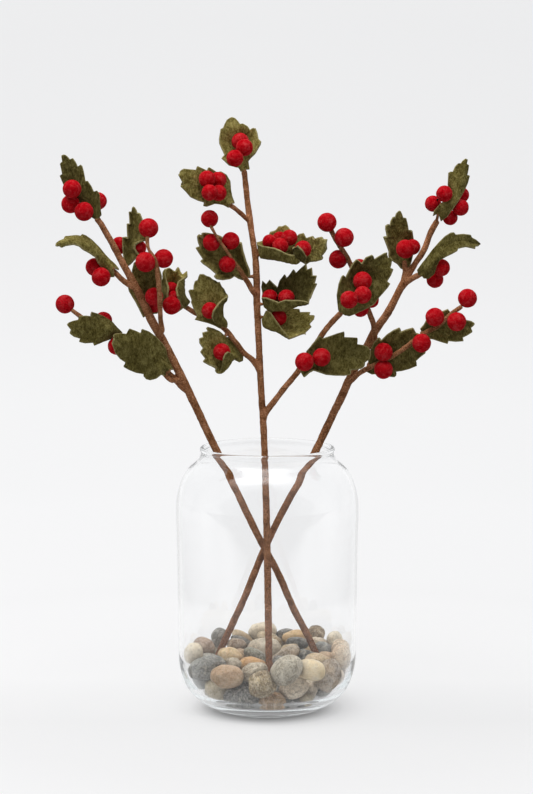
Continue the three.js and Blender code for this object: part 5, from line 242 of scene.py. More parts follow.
        [[38.6, -30.5, 365.2], [42.9, -34, 371], [47.8, -34.6, 377], [51.3, -33.9, 381.3], [53.8, -31.5, 378.1], [61.7, -29, 380.4], [68.6, -27.5, 382.8], [75.6, -26, 384.6], [74.9, -26.5, 379.1], [81.5, -25.5, 378.8], [88.7, -24.5, 378.3], [87.5, -25, 372.1], [94.4, -25, 371.1], [99.3, -26, 369.2], [101.8, -27, 365.8], [100.7, -28, 363.2]],
    ]},
    "R7": {"thick": 2.4, "columns": [
        [[98.4, -2, 345.7], [98.4, -3, 342.4], [104.3, -5, 339.5], [111.2, -6.9, 340.3], [118, -8.8, 341], [121.5, -9.3, 337.7], [126.4, -9.9, 337.3], [128.1, -9.9, 339], [126.9, -9.4, 342.6], [133.8, -11, 343.7], [140.7, -12.5, 345.7], [148.4, -14.5, 349.1], [146.3, -14, 352.8], [151.3, -15.5, 357.7], [156.1, -17, 361.7], [155.1, -17, 364.8]],
        [[100.3, -4.5, 350.5], [110.1, -5.4, 355.1], [122, -7.6, 360.3], [133.7, -10.9, 366.7], [144.4, -13.8, 372.4], [154.2, -14.9, 378]],
        [[100.8, -2.5, 355.8], [102.9, -6.4, 365.2], [106.3, -11.1, 372.7], [110.2, -14.1, 377.3], [112.6, -14.2, 374.4], [118.4, -16.7, 380.7], [124.2, -18.5, 384.9], [130.1, -20, 387.8], [130.9, -19, 383.4], [137, -20, 385.8], [143.4, -20.7, 387.7], [144.8, -19.1, 382.8], [149, -17.8, 381.8]],
    ]},
    "R8": {"thick": 2.4, "columns": [
        [[152.3, -20.5, 381], [157.8, -20.3, 377.1], [163.7, -20.6, 376.2], [171.5, -22, 373.7], [177.9, -23.5, 371.9], [178.9, -23, 374.8], [186.2, -24, 374.1], [193.5, -25, 374.8], [192.4, -24.4, 378.1], [197.3, -25.4, 380.6], [202, -26.4, 383.9], [198.4, -25.1, 386.3], [202.6, -26.3, 389.6]],
        [[152.5, -17.6, 383.2], [160.9, -16.9, 384.2], [171.7, -18.2, 386.7], [184.4, -19.7, 389], [195, -22.9, 390.7], [204.1, -26.8, 391.8]],
        [[150.9, -18.4, 386.5], [154.7, -20.1, 390.9], [157.5, -22, 397.5], [163.4, -21.3, 401.8], [171.1, -23.7, 404], [177.8, -26.4, 406.8], [179.9, -24.8, 404.1], [179.7, -23, 401.1], [187, -22.5, 398.1], [194.8, -24.4, 396], [200.6, -26.3, 394.9], [203.5, -26.8, 393.2]],
    ]},
}
# berries: x, y, z, radius
BERRIES = {
    "L1a": [-188.3, -62, 525.8, 9],
    "L1b": [-190.6, -53, 511, 9],
    "L1c": [-176.9, -62.9, 504.2, 9.2],
    "L1d": [-164.8, -40, 513.4, 8.6],
    "L2a": [-168, -51.7, 449.9, 8.7],
    "L2b": [-160.8, -65.7, 441.2, 9.2],
    "L3a": [-144.8, -30, 469.5, 8.6],
    "L3b": [-125.77, -36.5, 467.63, 7.6],
    "FT1": [-114.7, -63, 488.3, 9.5],
    "FT2": [-117.5, -69.4, 455.9, 9.8],
    "FT3": [-100.4, -62.6, 458.8, 9.3],
    "L4a": [-110.2, -53, 421.2, 8.7],
    "L4b": [-111.6, -34.4, 412.4, 8.5],
    "L5a": [-93.8, -39.6, 411.4, 8.9],
    "L5b": [-95, -14.3, 425.6, 7],
    "L5c": [-91.9, -24.5, 417.7, 6.8],
    "L6a": [-197, -52, 413.8, 9.2],
    "L6b": [-160.4, -40.5, 396.7, 8.6],
    "L6c": [-147.3, -49.5, 372.5, 8.6],
    "C1a": [-26.7, 3.8, 570.3, 8.6],
    "C1b": [-22.5, -11.1, 564.6, 8.4],
    "C1c": [-31.8, -19.7, 554.4, 8.3],
    "C2a": [-58.6, -42.9, 534.8, 8.2],
    "C2b": [-47.7, -31.8, 533.7, 7.9],
    "C2c": [-55.9, -53.6, 522.1, 7.9],
    "C2d": [-47.6, -40.7, 521.3, 7.9],
    "C3a": [-56.3, -39, 496.1, 8.5],
    "C3b": [-54.7, -35, 472.6, 8.4],
    "C3c": [-35.8, -31.5, 474.2, 8.6],
    "C3d": [-39.3, -32, 451.3, 8.3],
    "C4a": [-56.2, -35.3, 406, 8.2],
    "C5a": [-44.7, -36.7, 365.5, 8.4],
    "C6a": [2.2, -14.9, 472.3, 7.2],
    "C6b_": [12.4, -4.4, 474.2, 7.6],
    "C6c": [12.8, -26.4, 468.8, 8],
    "C6d": [21.7, -16.1, 476.4, 8],
    "C6e": [35.2, -28.2, 466, 8.2],
    "C7a": [2.6, -21.3, 417.4, 8.2],
    "C7b": [18.6, -32.2, 418.3, 8.2],
    "C8a": [11.1, -24.4, 398.1, 8],
    "R1a": [176.4, 17.7, 518.3, 8.2],
    "R1b": [166.3, 35, 507.7, 8.2],
    "R1c": [194.8, 40.8, 516.1, 8.2],
    "R1d": [193.6, 30.2, 504, 8.4],
    "R1e": [183.8, 36.3, 493.6, 7.6],
    "R2a": [138, 17.8, 463.2, 9.4],
    "R2b": [145.9, 32.7, 464.3, 8],
    "R3a": [173.8, 15.7, 444.7, 8.8],
    "R3b": [168.3, 25.7, 432.2, 8.6],
    "R4a": [58.8, -14, 491.4, 9.5],
    "R4b": [75.7, -16, 476.7, 9.5],
    "R4c": [70.3, -4, 454.4, 9.3],
    "R4d": [91.5, -2, 447, 7.6],
    "R4e": [103, -2.2, 413.7, 8],
    "R4f": [92.3, -9.8, 405.4, 8],
    "R5a": [93.4, -31.3, 434.8, 9.2],
    "R5b": [93.1, -43.1, 422.1, 8.6],
    "R5c": [79.5, -52, 418.1, 8.6],
    "R6a": [36.3, -45.8, 356.6, 9.2],
    "R6b": [53.2, -42.5, 360.8, 9],
    "R7a": [114.8, -20.3, 363.6, 9.1],
    "R7b": [115, -18.4, 345.9, 9.2],
    "R7c": [151.7, -33, 373.8, 9.3],
    "R8a": [164.5, -32.3, 399.4, 9.2],
    "R8b": [185.9, -33.2, 394.9, 9.4],
    "R8c": [196.8, -27, 417.5, 9.4],
}
CLUSTERS = {
    "L1_front": {"berries": ["L1a", "L1b", "L1c"], "links": [[[-188.3, -62, 525.8], [-190.6, -53, 511]], [[-190.6, -53, 511], [-176.9, -62.9, 504.2]]]},
    "L1_back": {"berries": ["L1d"], "links": []},
    "L2": {"berries": ["L2a", "L2b"], "links": [[[-168, -51.7, 449.9], [-160.8, -65.7, 441.2]]]},
    "L3_back": {"berries": ["L3a"], "links": []},
    "L3_front": {"berries": ["L3b"], "links": []},
    "L4": {"berries": ["L4a", "L4b"], "links": [[[-110.2, -53, 421.2], [-111.6, -34.4, 412.4]]]},
    "L5": {"berries": ["L5a", "L5b", "L5c"], "links": [[[-95, -14.3, 425.6], [-91.9, -24.5, 417.7]], [[-93.8, -39.6, 411.4], [-91.9, -24.5, 417.7]]]},
    "C1": {"berries": ["C1a", "C1b", "C1c"], "links": [[[-26.7, 3.8, 570.3], [-22.5, -11.1, 564.6]], [[-22.5, -11.1, 564.6], [-31.8, -19.7, 554.4]]]},
    "C2": {"berries": ["C2a", "C2b", "C2c", "C2d"], "links": [[[-47.7, -31.8, 533.7], [-47.6, -40.7, 521.3]], [[-58.6, -42.9, 534.8], [-47.7, -31.8, 533.7]], [[-55.9, -53.6, 522.1], [-47.6, -40.7, 521.3]]]},
    "C4": {"berries": ["C4a"], "links": []},
    "C5": {"berries": ["C5a"], "links": []},
    "C6": {"berries": ["C6a", "C6b_", "C6c", "C6d"], "links": [[[12.4, -4.4, 474.2], [21.7, -16.1, 476.4]], [[12.8, -26.4, 468.8], [21.7, -16.1, 476.4]], [[2.2, -14.9, 472.3], [12.4, -4.4, 474.2]]]},
    "C6e": {"berries": ["C6e"], "links": []},
    "C7": {"berries": ["C7a", "C7b"], "links": [[[2.6, -21.3, 417.4], [18.6, -32.2, 418.3]]]},
    "C8": {"berries": ["C8a"], "links": []},
    "R1_left": {"berries": ["R1a", "R1b"], "links": [[[176.4, 17.7, 518.3], [166.3, 35, 507.7]]]},
    "R1_right": {"berries": ["R1c", "R1d", "R1e"], "links": [[[194.8, 40.8, 516.1], [193.6, 30.2, 504]], [[193.6, 30.2, 504], [183.8, 36.3, 493.6]]]},
    "R2": {"berries": ["R2a", "R2b"], "links": [[[138, 17.8, 463.2], [145.9, 32.7, 464.3]]]},
    "R3": {"berries": ["R3a", "R3b"], "links": [[[173.8, 15.7, 444.7], [168.3, 25.7, 432.2]]]},
    "R5": {"berries": ["R5a", "R5b", "R5c"], "links": [[[93.1, -43.1, 422.1], [79.5, -52, 418.1]], [[93.4, -31.3, 434.8], [93.1, -43.1, 422.1]]]},
    "R6": {"berries": ["R6a", "R6b"], "links": [[[36.3, -45.8, 356.6], [53.2, -42.5, 360.8]]]},
    "front_twig": {"berries": ["FT1", "FT2", "FT3"], "links": [[[-117.5, -69.4, 455.9], [-109.6, -70, 460.3]], [[-114.7, -63, 488.3], [-115.6, -67, 480.8]], [[-100.4, -62.6, 458.8], [-107.9, -69.9, 456.7]]]},
    "l6_twig": {"berries": ["L6a", "L6b", "L6c"], "links": [[[-147.3, -49.5, 372.5], [-144.2, -48.4, 378.5]], [[-197, -52, 413.8], [-189.5, -55, 407.8]], [[-160.4, -40.5, 396.7], [-163.4, -49.9, 389.4]]]},
    "c3_twig": {"berries": ["C3a", "C3b", "C3c", "C3d"], "links": [[[-39.3, -32, 451.3], [-33.4, -32.7, 454.7]], [[-56.3, -39, 496.1], [-55, -44, 489.3]], [[-54.7, -35, 472.6], [-46.9, -42.1, 475.4]], [[-35.8, -31.5, 474.2], [-41.5, -39.2, 467.3]]]},
    "r4_twig": {"berries": ["R4a", "R4b", "R4c", "R4d", "R4e", "R4f"], "links": [[[103, -2.2, 413.7], [97.3, -1.7, 411.7]], [[70.3, -4, 454.4], [77.6, -8.4, 458.7]], [[75.7, -16, 476.7], [68.3, -10.9, 472.9]], [[58.8, -14, 491.4], [63.3, -12, 482.7]], [[91.5, -2, 447], [85, -5.9, 443.5]], [[103, -2.2, 413.7], [92.3, -9.8, 405.4]]]},
    "r8_twig": {"berries": ["R7a", "R7b", "R7c", "R8a", "R8b", "R8c"], "links": [[[115, -18.4, 345.9], [112.8, -14.4, 353.1]], [[114.8, -20.3, 363.6], [119.7, -16.5, 356.8]], [[185.9, -33.2, 394.9], [179.9, -28.6, 401.1]], [[151.7, -33, 373.8], [150.2, -23.8, 379.1]], [[164.5, -32.3, 399.4], [171.2, -27.4, 392.7]], [[196.8, -27, 417.5], [190.3, -30, 409.1]]]},
}
# pebbles: name, heap, centre, quaternion w x y z, half sizes, colour, seen
PEBBLES = [
    ["cream_left", 5, [-73, -26.1, 62.3], [0.9992, 0.0347, 0.0165, 0.0085], [8.8, 8.2, 11], "cream", 1],
    ["brown_pink", 4, [-64.4, -4, 62.9], [0.9764, 0.001, 0.2158, 0.0018], [11.1, 8.8, 9.6], "brownpink", 1],
    ["slate_top", 3, [-48.5, 28.2, 64.8], [1, 0.0002, 0.0011, -0.0007], [9.2, 8.4, 10.7], "slate", 1],
    ["tan_long", 2, [-25.8, 51.1, 60.4], [0.9702, -0.0065, 0.242, -0.0092], [12.9, 5.6, 5.7], "tan", 1],
    ["slate_long", 2, [-27, 40.5, 59.1], [0.9816, 0.0007, 0.1908, -0.0013], [11.3, 4.8, 4.6], "slate", 1],
    ["brown_back", 3, [-30.9, 21.7, 58.3], [0.9915, 0.0003, 0.13, 0.0018], [10.7, 7.2, 7.7], "brown", 1],
    ["cream_top", 2, [-5, 56.6, 65.5], [1, -0.0042, 0.0023, -0.0076], [15, 9.2, 10.3], "cream", 1],
    ["tan_line", 2, [3.9, 41.6, 58.8], [0.9652, 0.0185, 0.2575, 0.0421], [15.4, 7.2, 7.7], "creamline", 1],
    ["beige_back", 0, [-2.3, 19.4, 55.8], [0.9999, 0.0016, -0.0026, -0.016], [17.8, 10, 11.2], "beige", 1],
    ["greygreen_s", 0, [-12.1, -6.8, 54.5], [0.9708, 0.0076, 0.2396, 0.009], [12.6, 6.4, 6.6], "greygreen", 1],
    ["cream_yellow", 0, [-36.9, -11.2, 54.6], [0.9894, -0.0021, 0.1446, -0.0156], [12.4, 8.8, 9.6], "creamyellow", 1],
    ["orange", 0, [-14.7, -20.1, 48.4], [0.9971, 0.0248, 0.0627, -0.0351], [13.5, 8, 8.5], "orange", 1],
    ["greytan_s", 5, [-34.3, -34.9, 52.7], [1, 0.0025, 0.0056, 0.0056], [8.5, 6, 6], "greytan", 1],
    ["dark_vein", 5, [-58.4, -39.6, 51.4], [0.9844, 0.0125, -0.1586, -0.0752], [17.4, 11.2, 12.4], "darkvein", 1],
    ["grey_s", 4, [-58.5, -15.5, 53.7], [0.9965, 0.0001, 0.0834, 0.0059], [8.1, 5.6, 5.5], "grey", 1],
    ["pink_tan", 5, [-39.3, -61.7, 46.6], [0.9981, -0.0006, 0.0568, -0.0224], [15.1, 10.5, 11.4], "pinktan", 1],
    ["curved", 5, [-13, -51.7, 48.1], [0.9781, 0.0017, -0.2058, 0.0325], [13.4, 8.8, 9.4], "greytan", 1],
    ["rough_tan", 5, [-7.3, -70.6, 40.3], [0.9978, 0.0139, -0.06, -0.0257], [14.5, 11.6, 12.8], "rough", 1],
    ["beige_low", 5, [-48, -42.6, 29.6], [0.9987, 0.0295, 0.0284, -0.0288], [11.9, 10.4, 11.4], "olive", 1],
    ["bluegrey", 5, [-25.1, -57.2, 26.8], [0.9991, 0.0081, 0.0325, -0.0274], [16.3, 9.6, 10.4], "bluegrey", 1],
    ["greyblue_l", 4, [-66.3, -24.9, 34.2], [0.9998, 0.0017, -0.0185, 0.0045], [9, 8.4, 10.5], "greyblue", 1],
    ["orange_low", 5, [4.6, -56.1, 20.6], [0.9996, 0.0069, 0.0235, 0.0163], [14.3, 8, 8.4], "tanorange", 1],
    ["slate_b", 2, [20.2, 56.6, 62.3], [0.9998, -0.0019, -0.0112, -0.0179], [10.3, 6, 6.2], "slate", 1],
    ["tan_b", 2, [27.7, 40.4, 63], [0.998, -0.0001, -0.0637, 0.0019], [12.3, 7.2, 7.7], "tanorange", 1],
    ["pit_b", 2, [50.7, 48, 64], [0.9848, 0, 0.1736, 0], [9.5, 8.4, 9.3], "pit", 1],
    ["dark_m", 2, [31.1, 21.1, 61.3], [0.9975, 0.0137, 0.0697, 0.0052], [11.3, 6, 6.1], "dark", 1],
    ["cream_rib", 0, [23.6, 9.8, 56.3], [0.999, -0.0002, -0.0437, 0.0003], [9.6, 6.8, 7.1], "creamline", 1],
    ["pink_long", 0, [18.1, -5.1, 53.8], [0.961, 0.0086, -0.2759, -0.0187], [16.1, 7.2, 7.6], "pinktan", 1],
    ["dark_m2", 1, [38.5, -1, 52.6], [0.9999, 0.0072, -0.0124, 0.0062], [9.1, 7.2, 7.6], "darkvein", 1],
    ["pink_r", 1, [53, 29.8, 58.7], [0.9868, -0.007, 0.1614, -0.0055], [9.7, 6.4, 6.6], "pinktan", 1],
    ["grey_r", 1, [58.9, 16.6, 54.6], [0.9574, 0.0141, 0.2881, -0.0159], [11.2, 7.2, 7.6], "greyblue", 1],
    ["cream_rb", 1, [69.8, 33.7, 61.7], [1, 0.0034, -0.0091, -0.0015], [8.5, 7.8, 8.7], "cream", 1],
    ["cream_r1", 1, [74.3, 6.9, 58.2], [0.988, 0.0244, 0.1504, -0.0258], [9.6, 8.8, 10.1], "creampink", 1],
    ["cream_r2", 6, [73.2, -24.7, 56.6], [0.9969, -0.0698, -0.0305, -0.0185], [9, 8.4, 13], "creampink", 1],
    ["tan_r", 6, [50.9, -28.8, 54.1], [0.9983, -0.0273, 0.0513, -0.002], [13.5, 7.6, 8], "tan", 1],
    ["greygreen", 5, [18.3, -71.9, 57.2], [0.9553, -0.0262, -0.2927, 0.0338], [16.2, 11.8, 13.1], "greygreen", 1],
    ["bright", 6, [42.9, -61.3, 53.1], [0.998, 0.0002, 0.0638, 0.0049], [13.3, 9.6, 10.4], "bright", 1],
    ["browngrey", 6, [59, -44.7, 45.1], [0.9924, -0.0062, 0.1211, 0.0188], [11.1, 10.2, 16.4], "browngrey", 1],
    ["beige_f", 6, [28.5, -51.2, 35.2], [0.985, -0.0257, -0.1327, -0.1077], [13.3, 10.4, 11.3], "beigegrey", 1],
    ["beige_f2", 6, [43.1, -38.8, 28.9], [0.9966, -0.0737, 0.0005, -0.0368], [8.9, 8.4, 8.9], "beigegrey", 1],
    ["cream_s", 6, [39, -50.5, 21.2], [0.999, -0.0042, -0.0448, 0.0056], [6, 5.6, 5.5], "olive", 1],
    ["cream_r3", 6, [70, -32.1, 38.1], [0.9891, 0.0165, 0.1459, -0.011], [5.5, 5.6, 8], "creampink", 1],
    ["grey_low", 6, [56.5, -31.5, 22.9], [0.9697, -0.023, -0.2172, 0.1097], [9, 6, 6], "greyblue", 1],
    ["dark_low", 6, [34.2, -39.6, 15.6], [0.9837, 0.0027, -0.0938, -0.1536], [9, 5.6, 5.5], "dark", 1],
    ["h00", 4, [-47.3, -22.4, 20.3], [-0.2138, -0.0216, 0.9561, 0.1992], [12.6, 9.9, 9.9], "greytan", 0],
    ["h01", 2, [14.4, 26, 20.7], [0.2069, 0.305, 0.6668, -0.6477], [14.7, 10.4, 9], "beigegrey", 0],
    ["h02", 2, [23.3, 27.7, 46.8], [-0.8879, -0.2985, 0.1129, 0.3315], [15.3, 11.2, 9], "slate", 0],
    ["h03", 1, [68.5, 4.9, 33.5], [-0.5578, 0.6362, 0.5324, -0.0237], [13.2, 10.9, 9], "tan", 0],
    ["h04", 2, [11.7, 73.1, 41.6], [0.1534, 0.1877, 0.7324, -0.6362], [15.3, 11.7, 8.3], "brown", 0],
    ["h05", 1, [63.9, 26.3, 33.5], [-0.3144, 0.3162, -0.6014, -0.663], [15.6, 10.6, 8.3], "greygreen", 0],
    ["h06", 0, [7.8, -7.6, 33.4], [0.7728, 0.5846, 0.1329, 0.2083], [13.3, 9.6, 8.4], "cream", 0],
    ["h07", 6, [49, -21.7, 35.8], [-0.3286, 0.3282, 0.4256, -0.7766], [14.9, 10.3, 8], "greyblue", 0],
    ["h08", 4, [-48.9, 26.1, 39.9], [0.8647, 0.3595, 0.1995, 0.2884], [14.9, 9.6, 8.1], "darkvein", 0],
    ["h09", 3, [-16, 73.4, 45.3], [-0.0278, 0.9917, 0.0033, -0.1254], [13.6, 9.7, 8.3], "pinktan", 0],
    ["h10", 4, [-46.7, 18.2, 21.4], [0.7964, -0.5397, -0.2622, 0.0757], [12.9, 11.3, 8.4], "greytan", 0],
    ["h11", 6, [39.7, -22.3, 17.4], [0.7517, 0.0294, -0.0861, -0.6532], [12.6, 11.5, 8.4], "beigegrey", 0],
    ["h12", 3, [-4.7, 39.4, 20.6], [0.9288, 0.3071, 0.1163, 0.1716], [15, 10.7, 9.7], "slate", 0],
    ["h13", 3, [-14.3, 50.7, 38.3], [-0.8032, 0.1913, -0.0855, 0.5576], [15.9, 11.9, 8.7], "tan", 0],
    ["h14", 5, [-7.8, -25.6, 20], [0.3774, -0.5003, 0.6938, 0.3548], [12.6, 9.7, 8.8], "brown", 0],
    ["h15", 5, [-26.4, -37.1, 18.7], [-0.1252, -0.9521, 0.2382, 0.145], [14.4, 11.2, 9.4], "greygreen", 0],
    ["h16", 2, [38.1, 64.1, 41.6], [-0.3697, 0.795, -0.4154, -0.2424], [14.7, 9.9, 8.9], "cream", 0],
    ["h18", 3, [-2.6, 26.2, 35.8], [-0.5104, -0.2221, -0.0026, 0.8308], [13.8, 9.7, 9.7], "darkvein", 0],
    ["h19", 4, [-23.8, 5.9, 49.6], [-0.9864, -0.0474, -0.1345, -0.0819], [12.8, 11, 8.5], "pinktan", 0],
    ["h20", 3, [-15, 19.2, 18.1], [0.072, -0.1912, -0.8766, 0.4356], [14.7, 10.3, 9.3], "greytan", 0],
    ["h21", 3, [-28.6, 37.3, 27.6], [0.2483, 0.4869, 0.3191, -0.7742], [13.9, 11.8, 8.2], "beigegrey", 0],
    ["h22", 1, [52.5, -3.5, 21.5], [0.5026, 0.3928, 0.5684, 0.5197], [15.7, 11.3, 8.1], "slate", 0],
    ["h23", 2, [37, 44.1, 47.4], [-0.5043, 0.2253, 0.6171, -0.5604], [14.1, 9.6, 9.6], "tan", 0],
    ["h24", 6, [30, -26.3, 36.4], [0.0769, 0.6869, -0.4014, -0.601], [13.4, 11.5, 8.5], "brown", 0],
    ["h25", 3, [-28, 20.4, 37.1], [-0.3463, 0.59, -0.6598, -0.3108], [13.5, 11, 9.2], "greygreen", 0],
    ["h26", 3, [-39.8, 58.8, 36.8], [0.7986, 0.4977, -0.0934, 0.3253], [15.1, 10.2, 9.6], "cream", 0],
    ["h27", 4, [-28, -15.9, 27.8], [0.0782, -0.3831, -0.5631, -0.728], [14.3, 10.1, 10], "greyblue", 0],
    ["h28", 4, [-40.1, 3.7, 37], [0.2624, 0.2061, 0.6281, 0.703], [12.6, 9.9, 9.6], "darkvein", 0],
    ["h29", 1, [58.6, -6.9, 49.9], [0.161, 0.7637, 0.6188, 0.0896], [15.1, 10.2, 9.3], "pinktan", 0],
    ["h30", 3, [-55.7, 46.1, 45.1], [0.8694, 0.1503, -0.424, -0.2044], [13, 11.7, 9.4], "greytan", 0],
    ["h31", 1, [30.6, -4.2, 31.8], [0.2209, 0.808, 0.2326, -0.4942], [14.1, 10.9, 8.1], "beigegrey", 0],
    ["h32", 5, [-16.3, -35.2, 36.2], [0.2653, -0.1127, -0.7953, 0.5333], [15.3, 10.7, 9.8], "slate", 0],
    ["h33", 3, [-51.2, 37.4, 25.4], [-0.1798, -0.3871, 0.829, 0.3614], [12.8, 11, 8.9], "tan", 0],
    ["h34", 1, [53.7, 45.3, 34.1], [0.3467, -0.6698, 0.6176, 0.2232], [14.7, 10.5, 9.1], "brown", 0],
    ["h35", 0, [-10.5, 4.1, 35.2], [-0.1775, 0.2958, -0.0109, -0.9385], [15.5, 9.9, 8], "greygreen", 0],
    ["h36", 1, [35.4, 15, 17.3], [0.6843, 0.0144, 0.0594, 0.7266], [12.7, 12, 9.1], "cream", 0],
    ["h37", 2, [34.4, 39.9, 19.4], [0.3543, 0.0993, 0.2319, -0.9005], [15, 10.9, 8.6], "greyblue", 0],
    ["h38", 5, [16.3, -38, 21.7], [0.5522, -0.3656, -0.7483, 0.0382], [14, 10.5, 9.5], "darkvein", 0],
    ["h39", 0, [13.2, 11.4, 38.6], [-0.1777, -0.1192, 0.9482, -0.2349], [13.8, 10.8, 8.1], "pinktan", 0],
    ["h40", 3, [-22, 54.6, 21.5], [0.0157, 0.0902, -0.2692, 0.9587], [15.1, 11, 8.1], "greytan", 0],
    ["h41", 0, [11.9, 6.7, 19.4], [0.0369, -0.2635, -0.7595, -0.5937], [15.7, 10.4, 9.8], "beigegrey", 0],
    ["h42", 0, [11.6, -22.5, 44.4], [-0.6608, 0.2403, -0.7017, 0.115], [13.8, 9.9, 9.2], "slate", 0],
    ["h43", 0, [17.4, -16, 17.5], [0.3327, -0.8655, -0.3605, 0.1012], [15.7, 10.6, 8.2], "tan", 0],
    ["h44", 6, [68.3, -16.4, 34.2], [0.5249, 0.0611, 0.7732, -0.3506], [14.6, 11.2, 8.7], "brown", 0],
    ["h45", 0, [-6.7, -6, 17.9], [-0.0031, -0.2182, -0.9332, -0.2855], [13.6, 11.2, 9], "greygreen", 0],
    ["h46", 2, [23, 58.8, 26.5], [0.6747, -0.2792, -0.6468, 0.2201], [14.2, 9.9, 9.9], "cream", 0],
    ["h47", 2, [18.2, 41.8, 33.5], [0.896, 0.4336, -0.0948, 0.0131], [14.6, 10.5, 8.3], "greyblue", 0],
    ["h48", 4, [-32.7, 3, 18.1], [-0.1056, -0.0819, -0.0303, 0.9906], [14.3, 11.8, 9.8], "darkvein", 0],
    ["h49", 4, [-58.7, -2.5, 23], [0.1121, -0.1818, -0.9717, 0.1011], [14.3, 10.5, 8.8], "pinktan", 0],
    ["h50", 2, [1.9, 60.6, 25.4], [-0.1505, 0.4924, 0.6233, 0.5885], [12.6, 10.7, 9.4], "greytan", 0],
    ["h51", 4, [-43.4, -25.5, 40], [-0.8339, 0.4326, -0.0825, 0.3326], [13.1, 9.5, 9.2], "beigegrey", 0],
    ["h52", 4, [-67.9, 26.7, 36.6], [0.6704, -0.141, 0.6202, -0.3822], [15.3, 9.5, 8.1], "slate", 0],
    ["h53", 1, [38.9, 26.9, 32.4], [0.0767, 0.981, 0.1774, 0.0176], [12.9, 10.4, 8.7], "tan", 0],
]

# ------------------------------------------------------------------ helpers
def hash3(ix, iy, iz, seed):
    h = (ix * 374761393 + iy * 668265263 + iz * 2147483647 + seed * 1274126177) & 0xFFFFFFFF
    h = ((h ^ (h >> 13)) * 1274126177) & 0xFFFFFFFF
    h = ((h ^ (h >> 16)) * 2246822519) & 0xFFFFFFFF
    return ((h ^ (h >> 15)) & 0xFFFFFF).astype(np.float64) / 0xFFFFFF


def noise3(p, seed=0):
    """Smooth value noise at points p, from -1 to 1."""
    p = np.asarray(p, float)
    i = np.floor(p).astype(np.int64)
    f = p - i
    u = f * f * f * (f * (f * 6 - 15) + 10)
    out = np.zeros(len(p))
    for dx in (0, 1):
        wx = u[:, 0] if dx else 1 - u[:, 0]
        for dy in (0, 1):
            wy = u[:, 1] if dy else 1 - u[:, 1]
            for dz in (0, 1):
                wz = u[:, 2] if dz else 1 - u[:, 2]
                out += wx * wy * wz * hash3(i[:, 0] + dx, i[:, 1] + dy, i[:, 2] + dz, seed)
    return out * 2 - 1


def fbm(p, octaves=3, seed=0, gain=0.5):
    out, amp, total = 0, 1.0, 0
    for k in range(octaves):
        out = out + amp * noise3(p * 2.03**k + 17.3 * k, seed + k)
        total += amp
        amp *= gain
    return out / total


def smooth_step(a, b, x):
    t = np.clip((x - a) / (b - a), 0, 1)
    return t * t * (3 - 2 * t)


def chord(P):
    s = np.concatenate([[0], np.cumsum(np.linalg.norm(np.diff(P, axis=0), axis=1))])
    return s / s[-1]


def linear(P, s, t):
    return np.stack([np.interp(t, s, P[:, k]) for k in range(P.shape[1])], axis=1)


def hermite(P, s, t):
    """A smooth curve through P at the parameters s, at t."""
    P = np.asarray(P, float)
    m = np.zeros_like(P)
    m[0] = (P[1] - P[0]) / (s[1] - s[0])
    m[-1] = (P[-1] - P[-2]) / (s[-1] - s[-2])
    for i in range(1, len(P) - 1):
        h0, h1 = s[i] - s[i - 1], s[i + 1] - s[i]
        a, b = (P[i] - P[i - 1]) / h0, (P[i + 1] - P[i]) / h1
        m[i] = (a * h1 + b * h0) / (h0 + h1)
    t = np.atleast_1d(t)
    k = np.clip(np.searchsorted(s, t) - 1, 0, len(P) - 2)
    h = (s[k + 1] - s[k])[:, None]
    u = ((t - s[k])[:, None]) / h
    u2, u3 = u * u, u * u * u
    return (
        (2 * u3 - 3 * u2 + 1) * P[k]
        + (u3 - 2 * u2 + u) * h * m[k]
        + (-2 * u3 + 3 * u2) * P[k + 1]
        + (u3 - u2) * h * m[k + 1]
    )


def make_object(name, verts_mm, faces, mats, face_mat=None, smooth=True):
    me = bpy.data.meshes.new(name)
    me.from_pydata((np.asarray(verts_mm) * MM).tolist(), [], [tuple(int(i) for i in f) for f in faces])
    me.validate(verbose=False)
    for m in mats:
        me.materials.append(m)
    if face_mat is not None:
        me.polygons.foreach_set("material_index", np.asarray(face_mat, np.int32))
    me.polygons.foreach_set("use_smooth", [smooth] * len(me.polygons))
    me.update()
    o = bpy.data.objects.new(name, me)
    scene.collection.objects.link(o)
    return o


def float_attribute(o, name, values):
    a = o.data.attributes.new(name, "FLOAT", "POINT")
    a.data.foreach_set("value", np.asarray(values, np.float32))


def colour_attribute(o, name, rgb):
    a = o.data.attributes.new(name, "FLOAT_COLOR", "POINT")
    rgba = np.ones((len(rgb), 4), np.float32)
    rgba[:, :3] = rgb
    a.data.foreach_set("color", rgba.reshape(-1))


def srgb(r, g, b):
    return tuple(
        (v / 255 / 12.92) if v / 255 <= 0.04045 else ((v / 255 + 0.055) / 1.055) ** 2.4 for v in (r, g, b)
    )


